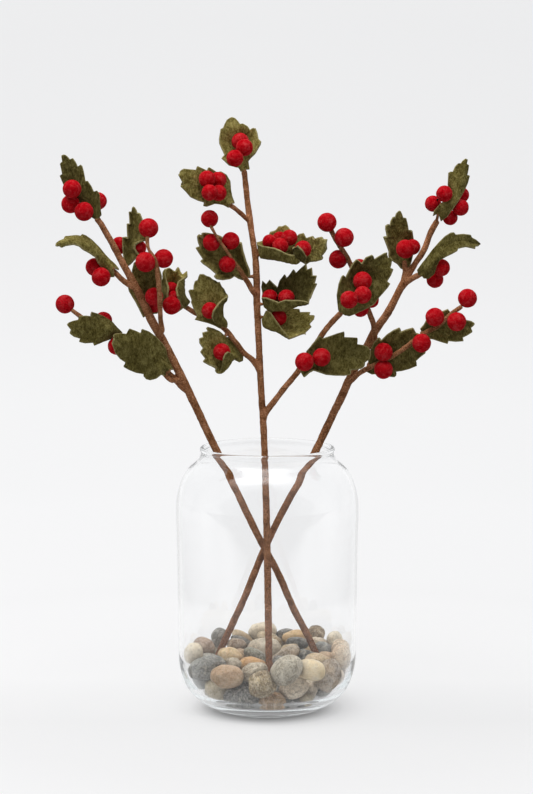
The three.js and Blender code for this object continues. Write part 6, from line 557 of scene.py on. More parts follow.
# ------------------------------------------------------------------ materials
class Nodes:
    def __init__(self, name):
        self.mat = bpy.data.materials.new(name)
        self.mat.use_nodes = True
        self.t = self.mat.node_tree
        self.t.nodes.clear()
        self.out = self.t.nodes.new("ShaderNodeOutputMaterial")

    def add(self, kind, **values):
        n = self.t.nodes.new(kind)
        for k, v in values.items():
            if hasattr(n, k) and k not in n.inputs:
                setattr(n, k, v)
            else:
                n.inputs[k].default_value = v
        return n

    def link(self, a, b):
        self.t.links.new(a, b)

    def noise(self, coord, scale, detail=4.0, rough=0.55, distort=0.0):
        n = self.add("ShaderNodeTexNoise")
        n.inputs["Scale"].default_value = scale
        n.inputs["Detail"].default_value = detail
        n.inputs["Roughness"].default_value = rough
        n.inputs["Distortion"].default_value = distort
        self.link(coord, n.inputs["Vector"])
        return n.outputs["Fac"]

    def stretch(self, coord, scale):
        n = self.add("ShaderNodeMapping")
        n.inputs["Scale"].default_value = scale
        self.link(coord, n.inputs["Vector"])
        return n.outputs["Vector"]

    def ramp(self, fac, stops):
        n = self.add("ShaderNodeValToRGB")
        e = n.color_ramp.elements
        while len(e) < len(stops):
            e.new(0.5)
        for el, (pos, col) in zip(e, stops):
            el.position = pos
            el.color = (*col, 1) if len(col) == 3 else col
        self.link(fac, n.inputs["Fac"])
        return n.outputs["Color"]

    def mix(self, fac, a, b, kind="MIX"):
        n = self.add("ShaderNodeMix", data_type="RGBA", blend_type=kind)
        for sock, v in ((n.inputs[0], fac), (n.inputs[6], a), (n.inputs[7], b)):
            if hasattr(v, "links"):
                self.link(v, sock)
            elif isinstance(v, (int, float)):
                sock.default_value = v
            else:
                sock.default_value = (*v, 1)
        return n.outputs[2]

    def math(self, op, a, b=None, clamp=False):
        n = self.add("ShaderNodeMath", operation=op, use_clamp=clamp)
        for sock, v in ((n.inputs[0], a), (n.inputs[1], b)):
            if v is None:
                continue
            if hasattr(v, "links"):
                self.link(v, sock)
            else:
                sock.default_value = v
        return n.outputs[0]

    def map_range(self, v, a, b, c, d):
        n = self.add("ShaderNodeMapRange")
        for k, x in zip(("From Min", "From Max", "To Min", "To Max"), (a, b, c, d)):
            n.inputs[k].default_value = x
        self.link(v, n.inputs["Value"])
        return n.outputs["Result"]

    def attribute(self, name, colour=False):
        n = self.add("ShaderNodeAttribute", attribute_name=name)
        return n.outputs["Color"] if colour else n.outputs["Fac"]

    def coord(self):
        return self.add("ShaderNodeTexCoord").outputs["Object"]

    def bump(self, height, distance, strength=1.0, normal=None):
        n = self.add("ShaderNodeBump")
        n.inputs["Strength"].default_value = strength
        n.inputs["Distance"].default_value = distance
        self.link(height, n.inputs["Height"])
        if normal is not None:
            self.link(normal, n.inputs["Normal"])
        return n.outputs["Normal"]

    def principled(self, colour=None, rough=None, normal=None, **values):
        p = self.add("ShaderNodeBsdfPrincipled")
        if colour is not None:
            if hasattr(colour, "links"):
                self.link(colour, p.inputs["Base Color"])
            else:
                p.inputs["Base Color"].default_value = (*colour, 1)
        if rough is not None:
            if hasattr(rough, "links"):
                self.link(rough, p.inputs["Roughness"])
            else:
                p.inputs["Roughness"].default_value = rough
        if normal is not None:
            self.link(normal, p.inputs["Normal"])
        for k, v in values.items():
            p.inputs[k.replace("_", " ")].default_value = v
        self.link(p.outputs[0], self.out.inputs["Surface"])
        return p


def felt_green(name, light, mid, dark, edge):
    """Thick wool felt in heathered olive: matted fibres, with painted shade in the pressed veins, painted light and
    shade per leaf, and a painted highlight along the cut edges.
    """
    m = Nodes(name)
    c = m.coord()
    cloud = m.noise(c, 150.0, 3.0, 0.6)  # 7 mm clouds of blended wool
    heather = m.noise(m.stretch(c, (1.0, 1.0, 0.45)), 620.0, 5.0, 0.7, 1.2)  # 1.5 mm tufts
    fibre = m.noise(m.stretch(c, (1.0, 1.0, 0.22)), 2300.0, 3.0, 0.65, 2.5)  # single fibres
    tone = m.math("ADD", m.math("MULTIPLY", cloud, 0.22), m.math("MULTIPLY", heather, 0.48))
    tone = m.math("ADD", tone, m.math("MULTIPLY", fibre, 0.30))
    col = m.ramp(tone, [(0.425, dark), (0.495, mid), (0.575, light)])
    # painted shade: the pressed vein grooves are darkened towards the dark felt
    vein = m.attribute("vein")
    col = m.mix(m.math("MULTIPLY", vein, 0.35), col, dark)
    # painted light and shade: each leaf, and each of its faces, is lightened or darkened across its width where it lies
    # in light or in shade
    painted_light_shade = m.attribute("tone")
    painted_light_shade_rgb = m.add("ShaderNodeCombineColor")
    for k in range(3):
        m.link(painted_light_shade, painted_light_shade_rgb.inputs[k])
    col = m.mix(1.0, col, painted_light_shade_rgb.outputs[0], "MULTIPLY")
    rim = m.attribute("rim")
    # painted highlight: the cut edges are mixed towards the pale edge colour, where they would catch the light
    col = m.mix(m.math("MULTIPLY", rim, m.map_range(heather, 0.35, 0.65, 0.40, 0.85)), col, edge)
    h = m.math("ADD", m.math("MULTIPLY", heather, 0.6), m.math("MULTIPLY", fibre, 0.4))
    nor = m.bump(h, 0.00060, 0.95)
    rough = m.map_range(fibre, 0.3, 0.7, 0.86, 0.98)
    p = m.principled(col, rough, nor)
    p.inputs["Sheen Weight"].default_value = 0.10
    p.inputs["Sheen Roughness"].default_value = 0.35
    p.inputs["Sheen Tint"].default_value = (0.95, 0.86, 0.45, 1)
    p.inputs["Specular IOR Level"].default_value = 0.03
    return m.mat


def felt_red():
    """Needle-felted wool balls: deep red with matted swirls and fine fibres."""
    m = Nodes("berry_felt")
    c = m.coord()
    cloud = m.noise(c, 210.0, 2.0, 0.5, 0.6)
    tuft = m.noise(c, 760.0, 5.0, 0.7, 1.6)
    fibre = m.noise(m.stretch(c, (1.0, 0.35, 0.7)), 2600.0, 3.0, 0.6, 3.0)
    tone = m.math("ADD", m.math("MULTIPLY", cloud, 0.25), m.math("MULTIPLY", tuft, 0.45))
    tone = m.math("ADD", tone, m.math("MULTIPLY", fibre, 0.3))
    col = m.ramp(
        tone, [(0.41, RED_DARK), (0.5, RED_MID), (0.61, RED_LIGHT)]
    )
    h = m.math("ADD", m.math("MULTIPLY", tuft, 0.65), m.math("MULTIPLY", fibre, 0.35))
    nor = m.bump(h, 0.00060, 0.9)
    p = m.principled(col, m.map_range(fibre, 0.3, 0.7, 0.84, 0.97), nor)
    p.inputs["Sheen Weight"].default_value = 0.16
    p.inputs["Sheen Roughness"].default_value = 0.24
    p.inputs["Sheen Tint"].default_value = (1.0, 0.36, 0.30, 1)
    p.inputs["Specular IOR Level"].default_value = 0.03
    return m.mat


def stem_wrap():
    """Brown fibre wrap over wire: fine turns across the stem, dry and slightly furry."""
    m = Nodes("stem_wrap")
    c = m.coord()
    turn = m.attribute("turn")
    cloud = m.noise(c, 95.0, 3.0, 0.6)
    tuft = m.noise(c, 620.0, 5.0, 0.7, 1.5)
    fibre = m.noise(m.stretch(c, (0.5, 1.0, 1.6)), 2200.0, 3.0, 0.65, 2.0)
    tone = m.math("ADD", m.math("MULTIPLY", cloud, 0.20), m.math("MULTIPLY", tuft, 0.45))
    tone = m.math("ADD", tone, m.math("MULTIPLY", fibre, 0.35))
    col = m.ramp(tone, [(0.430, STEM_DARK), (0.495, STEM_MID), (0.572, STEM_LIGHT)])
    # painted shade in the step where each turn of the wrap overlaps the one below
    col = m.mix(m.math("MULTIPLY", turn, 0.75), col, STEM_DARK)
    # painted shade and light from the worn attribute: darker inside the jar, lighter high on the centre stem
    worn = m.add("ShaderNodeCombineColor")
    for k in range(3):
        m.link(m.attribute("worn"), worn.inputs[k])
    col = m.mix(1.0, col, worn.outputs[0], "MULTIPLY")
    h = m.math("SUBTRACT", m.math("MULTIPLY", tuft, 0.7), m.math("MULTIPLY", turn, 0.5))
    h = m.math("ADD", h, m.math("MULTIPLY", fibre, 0.35))
    nor = m.bump(h, 0.00040, 0.8)
    p = m.principled(col, m.map_range(fibre, 0.3, 0.7, 0.82, 0.96), nor)
    p.inputs["Sheen Weight"].default_value = 0.08
    p.inputs["Sheen Roughness"].default_value = 0.4
    p.inputs["Sheen Tint"].default_value = (1.0, 0.70, 0.45, 1)
    p.inputs["Specular IOR Level"].default_value = 0.05
    return m.mat


def river_stone():
    """Water-worn pebbles. Each one's colours and its character are attributes of its own."""
    m = Nodes("river_stone")
    a, b = m.attribute("stone_a", True), m.attribute("stone_b", True)
    p = m.attribute("stone_p", True)
    sep = m.add("ShaderNodeSeparateColor")
    m.link(m.attribute("stone_k", True), sep.inputs[0])
    speck, patch, pits = sep.outputs[0], sep.outputs[1], sep.outputs[2]
    sep2 = m.add("ShaderNodeSeparateColor")
    m.link(m.attribute("stone_v", True), sep2.inputs[0])
    pale_vein, rust, band = sep2.outputs[0], sep2.outputs[1], sep2.outputs[2]
    # slow drift that bends everything below
    wob = m.add("ShaderNodeTexNoise")
    wob.inputs["Scale"].default_value = 110.0
    wob.inputs["Detail"].default_value = 3.0
    m.link(p, wob.inputs["Vector"])
    push = m.add("ShaderNodeVectorMath", operation="MULTIPLY_ADD")
    m.link(wob.outputs["Color"], push.inputs[0])
    push.inputs[1].default_value = (0.012, 0.012, 0.012)
    m.link(p, push.inputs[2])
    q = push.outputs[0]
    cloud = m.noise(q, 75.0, 4.0, 0.55)
    mottle = m.noise(q, 260.0, 5.0, 0.68)
    grain = m.noise(p, 1100.0, 4.0, 0.75)
    # two colours in patches
    col = m.mix(m.math("MULTIPLY", m.map_range(cloud, 0.40, 0.60, 0.0, 1.0), patch, True), a, b)
    # growth rings or bedding
    wave = m.add("ShaderNodeTexWave", wave_type="RINGS")
    wave.inputs["Scale"].default_value = 62.0
    wave.inputs["Distortion"].default_value = 3.5
    wave.inputs["Detail"].default_value = 3.0
    wave.inputs["Detail Scale"].default_value = 1.6
    m.link(q, wave.inputs["Vector"])
    rings = m.math("MULTIPLY", m.map_range(wave.outputs["Fac"], 0.35, 0.95, 0.0, 0.8), band, True)
    col = m.mix(rings, col, b)
    dark = m.mix(1.0, col, (0.36, 0.32, 0.28), "MULTIPLY")
    light = m.mix(0.55, col, (0.82, 0.78, 0.68))
    # mottling of every stone, two to four millimetres across
    plain = col
    even = m.map_range(speck, 0.05, 0.32, 0.32, 1.0)
    broad = m.noise(q, 140.0, 3.0, 0.5)
    col = m.mix(m.map_range(broad, 0.50, 0.37, 0.0, 0.62), col, dark)
    col = m.mix(m.map_range(broad, 0.51, 0.63, 0.0, 0.58), col, light)
    col = m.mix(m.map_range(mottle, 0.48, 0.38, 0.0, 0.72), col, dark)
    col = m.mix(m.map_range(mottle, 0.54, 0.65, 0.0, 0.55), col, light)
    fleck = m.noise(q, 470.0, 4.0, 0.62, 0.8)
    col = m.mix(m.map_range(fleck, 0.47, 0.38, 0.0, 0.66), col, dark)
    col = m.mix(m.map_range(fleck, 0.54, 0.63, 0.0, 0.52), col, light)
    col = m.mix(even, plain, col)
    # hair-fine brown creases that soil has settled in
    fold = m.noise(q, 88.0, 3.0, 0.55, 1.2)
    line = m.map_range(m.math("ABSOLUTE", m.math("SUBTRACT", fold, 0.49)), 0.002, 0.014, 1.0, 0.0)
    line = m.math("MULTIPLY", line, m.map_range(mottle, 0.44, 0.60, 0.0, 1.0), True)
    line = m.math("MULTIPLY", line, m.math("MULTIPLY", rust, 1.9, True), True)
    col = m.mix(m.math("MULTIPLY", line, 0.75), col, (0.25, 0.145, 0.075))
    # thin pale veins
    ridge = m.noise(q, 62.0, 2.0, 0.5, 0.8)
    vein = m.map_range(m.math("ABSOLUTE", m.math("SUBTRACT", ridge, 0.5)), 0.004, 0.024, 1.0, 0.0)
    vein = m.math("MULTIPLY", vein, m.map_range(mottle, 0.42, 0.56, 0.15, 1.0), True)
    ridge2 = m.noise(q, 120.0, 3.0, 0.6, 1.4)
    vein2 = m.map_range(m.math("ABSOLUTE", m.math("SUBTRACT", ridge2, 0.52)), 0.003, 0.024, 0.8, 0.0)
    vein = m.math("MAXIMUM", vein, m.math("MULTIPLY", vein2, m.map_range(cloud, 0.45, 0.6, 0.0, 1.0)))
    vein = m.math("MULTIPLY", vein, pale_vein, True)
    col = m.mix(vein, col, (0.50, 0.45, 0.34))
    # pits and crevices
    crack = m.noise(q, 210.0, 4.0, 0.62, 1.0)
    pit = m.map_range(m.math("ABSOLUTE", m.math("SUBTRACT", crack, 0.47)), 0.0, 0.060, 1.0, 0.0)
    pit = m.math("MULTIPLY", pit, pits, True)
    col = m.mix(m.math("MULTIPLY", pit, 0.9), col, m.mix(1.0, col, (0.30, 0.25, 0.20), "MULTIPLY"))
    # dark and pale specks
    dots = m.map_range(m.noise(p, 520.0, 3.0, 0.7), 0.56, 0.64, 0.0, 0.9)
    col = m.mix(m.math("MULTIPLY", dots, speck, True), col, dark)
    dots2 = m.map_range(m.noise(p, 560.0, 3.0, 0.7, 0.5), 0.56, 0.65, 0.0, 0.9)
    col = m.mix(m.math("MULTIPLY", dots2, speck, True), col, light)
    # a few rusty spots
    spot = m.add("ShaderNodeTexVoronoi")
    spot.inputs["Scale"].default_value = 115.0
    m.link(q, spot.inputs["Vector"])
    pick = m.add("ShaderNodeSeparateColor")
    m.link(spot.outputs["Color"], pick.inputs[0])
    s1 = m.map_range(spot.outputs["Distance"], 0.10, 0.26, 1.0, 0.0)
    s1 = m.math("MULTIPLY", s1, m.math("GREATER_THAN", pick.outputs[0], 0.55))
    s1 = m.math("MULTIPLY", s1, m.map_range(mottle, 0.35, 0.6, 0.3, 1.0))
    col = m.mix(m.math("MULTIPLY", s1, rust, True), col, (0.27, 0.125, 0.055))
    # fine grain
    col = m.mix(m.math("MULTIPLY", m.map_range(grain, 0.48, 0.36, 0.0, 0.55), even), col, dark)
    col = m.mix(m.math("MULTIPLY", m.map_range(grain, 0.54, 0.68, 0.0, 0.42), even), col, light)
    # painted shade: the stone is darkened near its neighbours, where they shade each other
    contact_shade = m.attribute("stone_contact_shade")
    col = m.mix(m.math("MULTIPLY", contact_shade, 0.85), col, m.mix(1.0, col, (0.26, 0.23, 0.21), "MULTIPLY"))
    h = m.math("ADD", m.math("MULTIPLY", mottle, 0.55), m.math("MULTIPLY", grain, 0.35))
    h = m.math("SUBTRACT", h, m.math("MULTIPLY", pit, 0.55))
    nor = m.bump(h, 0.00055, 0.75)
    rough = m.map_range(grain, 0.35, 0.65, 0.42, 0.66)
    pr = m.principled(col, rough, nor)
    pr.inputs["Specular IOR Level"].default_value = 0.35
    return m.mat


def clear_glass():
    """Clear pressed glass with a trace of blue-green. Its shadow is soft, as real glass lets light through."""
    m = Nodes("jar_glass")
    p = m.principled((0.998, 0.999, 1.0), 0.0)
    p.inputs["Transmission Weight"].default_value = 1.0
    p.inputs["IOR"].default_value = 1.47
    lp = m.add("ShaderNodeLightPath")
    clear = m.add("ShaderNodeBsdfTransparent")
    clear.inputs["Color"].default_value = (0.957, 0.961, 0.963, 1)
    mix = m.add("ShaderNodeMixShader")
    m.link(lp.outputs["Is Shadow Ray"], mix.inputs[0])
    m.link(p.outputs[0], mix.inputs[1])
    m.link(clear.outputs[0], mix.inputs[2])
    m.link(mix.outputs[0], m.out.inputs["Surface"])
    ab = m.add("ShaderNodeVolumeAbsorption")
    ab.inputs["Color"].default_value = (0.60, 0.72, 0.74, 1)
    ab.inputs["Density"].default_value = 2.0
    m.link(ab.outputs[0], m.out.inputs["Volume"])
    return m.mat


STONE_LEVEL = (1.53, 1.50, 1.45)
RED_DARK, RED_MID, RED_LIGHT = (0.31, 0.0008, 0.0032), (0.49, 0.0015, 0.0078), (0.585, 0.070, 0.072)
STEM_DARK, STEM_MID, STEM_LIGHT = (0.104, 0.043, 0.0165), (0.302, 0.123, 0.050), (0.64, 0.320, 0.176)

# the last colour is the painted highlight along the cut edges
M_GREEN = felt_green(
    "leaf_felt", (0.210, 0.182, 0.066), (0.104, 0.087, 0.024), (0.042, 0.032, 0.007), (0.42, 0.37, 0.18)
)
M_RED = felt_red()
M_STEM = stem_wrap()
M_STONE = river_stone()
M_GLASS = clear_glass()

# ------------------------------------------------------------------ jar
JAR_PROFILE_OUT = [(0, 0), (10, 0), (20, 0), (30, 0)]
JAR_PROFILE_OUT += [
    (39.6 + 50 * math.sin(math.pi / 2 * k / 72), 50 * (1 - math.cos(math.pi / 2 * k / 72))) for k in range(0, 73)
]
_body = [(89.6, 50), (89.9, 68.9), (90.3, 120), (90.8, 173), (91.6, 187.8), (92.0, 203.1), (91.6, 215.3), (89.3, 223.4),
         (87.0, 231.2), (84.7, 237.4), (80.9, 242.9), (77.1, 246.7), (71.7, 250.8), (68.6, 253.8), (67.0, 257.2), (66.5, 260.6)]


def smooth_profile(points, n):
    P = np.array(points, float)
    # one pass of smoothing takes the corners of the measured points out
    Q = P.copy()
    Q[1:-1] = 0.25 * P[:-2] + 0.5 * P[1:-1] + 0.25 * P[2:]
    s = chord(Q)
    t = np.linspace(0, 1, n)
    return hermite(Q, s, t)


def jar():
    body = smooth_profile(_body, 70)
    prof = [p for p in JAR_PROFILE_OUT]
    prof += [tuple(p) for p in body[1:]]
    # rolled rim
    cz, cr, rr = 263.75, 65.1, 2.55
    for a in np.linspace(-30, 215, 22):
        t = math.radians(a)
        prof.append((cr + rr * math.cos(t), cz + rr * math.sin(t)))
    inner = [(63.3, 259.6), (64.0, 256.6), (66.4, 252.6), (70.2, 248.6), (75.1, 244.6), (78.9, 240.6), (82.2, 235.6),
             (84.2, 230), (86.5, 222), (88.6, 214.6), (89.1, 203.1), (88.7, 188), (87.9, 173), (87.4, 120), (87, 68.9), (86.8, 54)]
    prof += [tuple(p) for p in smooth_profile(inner, 70)[0:]]
    # the pressed base: its inside has shallow rings, and a small step where the plunger's edge was
    for k in range(71, -1, -1):
        a = math.pi / 2 * k / 72
        length = 46 * a
        ripple = 0.17 * math.sin(length / 2.1) * math.exp(-(((length - 30) / 22) ** 2))
        ripple += 0.75 * (1 / (1 + math.exp((length - 13.0) / 0.7)))
        prof.append((40.8 + (46 + ripple) * math.sin(a), 6.4 + 47.6 * (1 - math.cos(a)) - ripple * math.cos(a)))
    prof += [(36, 5.7), (30, 5.75), (15, 5.8), (0, 5.9)]
    prof = np.array(prof)
    # the heel runs into the straight body without a visible joint, outside and inside
    zone = (prof[:, 1] > 24) & (prof[:, 1] < 110)
    edge = zone & (np.roll(zone, 1) & np.roll(zone, -1))
    for _ in range(160):
        nxt = 0.25 * np.roll(prof, 1, 0) + 0.5 * prof + 0.25 * np.roll(prof, -1, 0)
        prof[edge, 0] = nxt[edge, 0]
    # the foot's underside is very slightly hollow, so that the jar stands on a soft ring
    under = np.arange(len(prof)) < 5
    prof[under, 1] = np.maximum(prof[under, 1], 0.45 * np.clip(1 - (prof[under, 0] / 41.0) ** 2, 0, 1))
    seg = 160
    verts, faces, rings = [], [], []
    for r, z in prof:
        if r < 1e-6:
            rings.append([len(verts)])
            verts.append((0, 0, z))
        else:
            rings.append(list(range(len(verts), len(verts) + seg)))
            for k in range(seg):
                a = 2 * math.pi * k / seg
                verts.append((r * math.cos(a), r * math.sin(a), z))
    for A, B in zip(rings[:-1], rings[1:]):
        for k in range(seg):
            k2 = (k + 1) % seg
            if len(A) == 1:
                faces.append((A[0], B[k2], B[k]))
            elif len(B) == 1:
                faces.append((A[k], A[k2], B[0]))
            else:
                faces.append((A[k], A[k2], B[k2], B[k]))
    v = np.array(verts, float)
    # hand-blown unevenness, a tenth of a millimetre over a few centimetres
    n = noise3(v / 70.0, 5)
    rad = np.hypot(v[:, 0], v[:, 1])
    ok = rad > 1
    v[ok, 0] += (v[:, 0] / np.maximum(rad, 1))[ok] * n[ok] * 0.10
    v[ok, 1] += (v[:, 1] / np.maximum(rad, 1))[ok] * n[ok] * 0.10
    o = make_object("jar", v, faces, [M_GLASS])
    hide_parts("glass_jar")
    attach(o, "root")
    return o


jar()


# ------------------------------------------------------------------ stems
def tube_mesh(points, sides=14, step=1.6):
    P = np.array(points, float)
    s = chord(P[:, :3])
    length = np.linalg.norm(np.diff(P[:, :3], axis=0), axis=1).sum()
    n = max(4, int(length / step))
    t = np.linspace(0, 1, n + 1)
    C = hermite(P[:, :3], s, t)
    R = np.interp(t, s, P[:, 3])
    T = np.gradient(C, axis=0)
    T /= np.linalg.norm(T, axis=1)[:, None]
    side = np.array([0.0, 1.0, 0.0])
    frames = []
    for i in range(len(C)):
        side = side - T[i] * (side @ T[i])
        side /= np.linalg.norm(side)
        frames.append((side.copy(), np.cross(T[i], side)))
    return C, R, T, frames, length


def tube_solid(points, sides=14, step=1.6, round_start=True, round_end=True):
    C, R, T, frames, length = tube_mesh(points, sides, step)
    verts, faces = [], []
    rings = []
    caps = []
    k_cap = [(-0.9, 0.44), (-0.6, 0.8), (-0.25, 0.97)]
    seq = []
    if round_start:
        seq += [(0, a * R[0] * 0.7, b) for a, b in k_cap]
    seq += [(i, 0.0, 1.0) for i in range(len(C))]
    if round_end:
        seq += [(len(C) - 1, -a * R[-1] * 0.7, b) for a, b in reversed(k_cap)]
    for i, shift, scale in seq:
        c = C[i] + T[i] * shift
        s, u = frames[i]
        ring = []
        for k in range(sides):
            a = 2 * math.pi * k / sides
            ring.append(len(verts))
            verts.append(c + (s * math.cos(a) + u * math.sin(a)) * R[i] * scale)
        rings.append(ring)
    for A, B in zip(rings[:-1], rings[1:]):
        for k in range(sides):
            k2 = (k + 1) % sides
            faces.append((A[k], A[k2], B[k2], B[k]))
    faces.append(tuple(reversed(rings[0])))
    faces.append(tuple(rings[-1]))
    return verts, faces, (C, R, T, frames, length)


def wrapped(name, tubes, nodes, voxel=0.62):
    """Tubes joined into one skin, with the turns of the wrap across it."""
    verts, faces, lines = [], [], []
    for pts in tubes:
        v, f, line = tube_solid(pts)
        base = len(verts)
        verts += [tuple(x) for x in v]
        faces += [tuple(base + i for i in q) for q in f]
        lines.append(line)
    o = make_object(name, np.array(verts), faces, [M_STEM])
    mod = o.modifiers.new("skin", "REMESH")
    mod.mode = "VOXEL"
    mod.voxel_size = voxel * MM
    mod.use_smooth_shade = True
    dg = bpy.context.evaluated_depsgraph_get()
    me = bpy.data.meshes.new_from_object(o.evaluated_get(dg))
    o.modifiers.clear()
    old = o.data
    o.data = me
    bpy.data.meshes.remove(old)
    me.materials.clear()
    me.materials.append(M_STEM)
    n = len(me.vertices)
    co = np.empty(n * 3)
    me.vertices.foreach_get("co", co)
    co = co.reshape(-1, 3) / MM
    # smooth the voxel steps
    e = np.empty(len(me.edges) * 2, np.int64)
    me.edges.foreach_get("vertices", e)
    e = e.reshape(-1, 2)
    deg = np.bincount(e.reshape(-1), minlength=n).astype(float)
    for lam in (0.6, -0.62) * 6:
        acc = np.zeros_like(co)
        np.add.at(acc, e[:, 0], co[e[:, 1]])
        np.add.at(acc, e[:, 1], co[e[:, 0]])
        co += lam * (acc / deg[:, None] - co)
    # nearest centre line: distance along, angle round and radius
    tree_pts, tree_ref = [], []
    for li, (C, R, T, frames, length) in enumerate(lines):
        for i in range(len(C)):
            tree_pts.append(C[i])
            tree_ref.append((li, i))
    kd = KDTree(len(tree_pts))
    for i, p in enumerate(tree_pts):
        kd.insert(Vector(p), i)
    kd.balance()
    turn = np.zeros(n)
    disp = np.zeros(n)
    outward = np.zeros_like(co)
    s_all = np.zeros(n)
    ang = np.zeros(n)
    rr = np.ones(n)
    for q in range(n):
        _, idx, _ = kd.find(Vector(co[q]))
        li, i = tree_ref[idx]
        C, R, T, frames, length = lines[li]
        d = co[q] - C[i]
        along = float(d @ T[i])
        d = d - T[i] * along
        rad = float(np.linalg.norm(d)) + 1e-9
        outward[q] = d / rad
        s_all[q] = length * i / (len(C) - 1) + along + li * 37.0
        ang[q] = math.atan2(float(d @ frames[i][1]), float(d @ frames[i][0]))
        rr[q] = R[i]
    pitch = 2.3
    ph = s_all + pitch * ang / (2 * math.pi) + 0.55 * noise3(co / 5.0, 21) + 0.9 * noise3(co / 17.0, 22)
    f = (ph / pitch) % 1.0
    # each turn overlaps the one below: a soft step
    ridge = np.where(f < 0.82, f / 0.82, (1 - f) / 0.18)
    seam_groove_and_shade = np.exp(-(((f - 0.93) / 0.09) ** 2))
    strength = smooth_step(-0.5, 0.5, noise3(co / 11.0, 23))
    disp = 0.16 * (ridge - 0.5) * (0.4 + 0.6 * strength)
    disp += 0.21 * noise3(co / 6.5, 24) + 0.15 * noise3(co / 2.6, 25)
    co += outward * disp[:, None]
    me.vertices.foreach_set("co", (co * MM).reshape(-1))
    me.update()
    # painted shade, and the bump's groove, in the step where each turn overlaps the one below
    float_attribute(o, "turn", seam_groove_and_shade * (0.35 + 0.65 * strength))
    # painted shade and light: the wrap is darkened inside the jar, under the glass, and the centre stem is lightened
    # high up
    worn = 1.0 - 0.25 * smooth_step(242.0, 205.0, co[:, 2])
    if name.startswith("centre"):
        worn = worn + 0.17 * smooth_step(395.0, 480.0, co[:, 2])
    float_attribute(o, "worn", worn)
    me.polygons.foreach_set("use_smooth", [True] * len(me.polygons))
    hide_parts(*nodes)
    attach(o, "root")
    return o


STEM_OBJECTS = {}
for _name, _tubes in STEMS.items():
    STEM_OBJECTS[_name] = wrapped(_name + "_stem_wrapped", _tubes + STALKS.get(_name, []), [_name + "_stem"], 0.62)
SPRAY_NODE = {
    "front_twig": "spray_front", "l6_twig": "spray_L6", "c3_twig": "spray_C3", "r4_twig": "spray_R4", "r8_twig": "spray_R8",
}
for _name, _pts in TWIGS.items():
    STEM_OBJECTS[_name] = wrapped(_name + "_wrapped", [_pts] + STALKS.get(_name, []), [SPRAY_NODE[_name]], 0.5)

# every tube as points, for the soft felt to give way to
TUBE_POINTS, TUBE_RADII = [], []
for _tt in list(STEMS.values()) + [[t] for t in TWIGS.values()]:
    for _t in _tt:
        _C, _R, _T, _f, _l = tube_mesh(_t, step=0.8)
        TUBE_POINTS.append(_C)
        TUBE_RADII.append(_R)
TUBE_POINTS = np.concatenate(TUBE_POINTS)
TUBE_RADII = np.concatenate(TUBE_RADII)

# ------------------------------------------------------------------ berries
BERRY_NODES = {
    "L1_front": "berries_L1_front", "L1_back": "berry_L1_back", "L2": "berries_L2", "L3_back": "berry_L3_back",
    "L3_front": "berry_L3_front", "L4": "berries_L4", "L5": "berries_L5", "C1": "berries_C1", "C2": "berries_C2",
    "C4": "berry_C4", "C5": "berry_C5", "C6": "berries_C6", "C6e": "berry_C6_low", "C7": "berries_C7", "C8": "berry_C8",
    "R1_left": "berries_R1_left", "R1_right": "berries_R1_right", "R2": "berries_R2", "R3": "berries_R3", "R5": "berries_R5",
    "R6": "berries_R6", "front_twig": "spray_front", "l6_twig": "spray_L6", "c3_twig": "spray_C3", "r4_twig": "spray_R4",
    "r8_twig": "spray_R8",
}


def ico(sub):
    bm = bmesh.new()
    bmesh.ops.create_icosphere(bm, subdivisions=sub, radius=1.0)
    v = np.array([x.co[:] for x in bm.verts])
    f = [tuple(x.index for x in g.verts) for g in bm.faces]
    bm.free()
    return v / np.linalg.norm(v, axis=1)[:, None], f


ICO5, ICO5F = ico(5)  # 1 mm or finer on a berry
ICO4, ICO4F = ico(4)


def rot_from_seed(seed):
    rng = np.random.RandomState(seed)
    q = Quaternion(rng.normal(size=4).tolist())
    q.normalize()
    return np.array(q.to_matrix())


def berry_shape(centre, r, seed):
    d = ICO5 @ rot_from_seed(seed).T
    n1 = noise3(d * 1.15 + seed * 3.1, 31)
    n2 = noise3(d * r / 3.4 + seed * 1.7, 32)
    n3 = noise3(d * r / 1.25 + seed * 2.3, 33)
    # a felted ball is never quite round, and has soft dimples where the fibres matted down
    rad = r * (1 + 0.011 * n1) + 0.10 * n2 + 0.065 * n3
    return np.array(centre) + d * rad[:, None]


seed = 100
for key, cl in CLUSTERS.items():
    verts, faces, fmat = [], [], []
    cents = [BERRIES[b] for b in cl["berries"]]
    for b in cents:
        seed += 1
        v = berry_shape(b[:3], b[3], seed)
        # where two balls press together each is flattened up to the plane between them
        for o in cents:
            if o is b:
                continue
            c0, c1 = np.array(b[:3]), np.array(o[:3])
            gap = np.linalg.norm(c1 - c0)
            if gap < b[3] + o[3] + 0.2:
                n = (c1 - c0) / gap
                cut = (gap + b[3] - o[3]) / 2 - 0.05
                over = (v - c0) @ n - cut
                m = over > 0
                v[m] -= n * (over[m] * 0.9)[:, None]
        base = sum(len(x) for x in verts)
        verts.append(v)
        faces += [tuple(base + i for i in f) for f in ICO5F]
        fmat += [0] * len(ICO5F)
    # wires or glue spots where the balls stand apart
    for a, b in cl["links"]:
        a, b = np.array(a), np.array(b)
        v, f, _ = tube_solid([(*a, 0.85), (*((a + b) / 2), 0.85), (*b, 0.85)], sides=10, step=2.0, round_start=False, round_end=False)
        base = sum(len(x) for x in verts)
        verts.append(np.array(v))
        faces += [tuple(base + i for i in q) for q in f]
        fmat += [1] * len(f)
    o = make_object("felt_berries_" + key, np.concatenate(verts), faces, [M_RED, M_STEM], fmat)
    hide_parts(BERRY_NODES[key])
    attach(o, "root")

BERRY_C = np.array([b[:3] for b in BERRIES.values()])
BERRY_R = np.array([b[3] for b in BERRIES.values()])


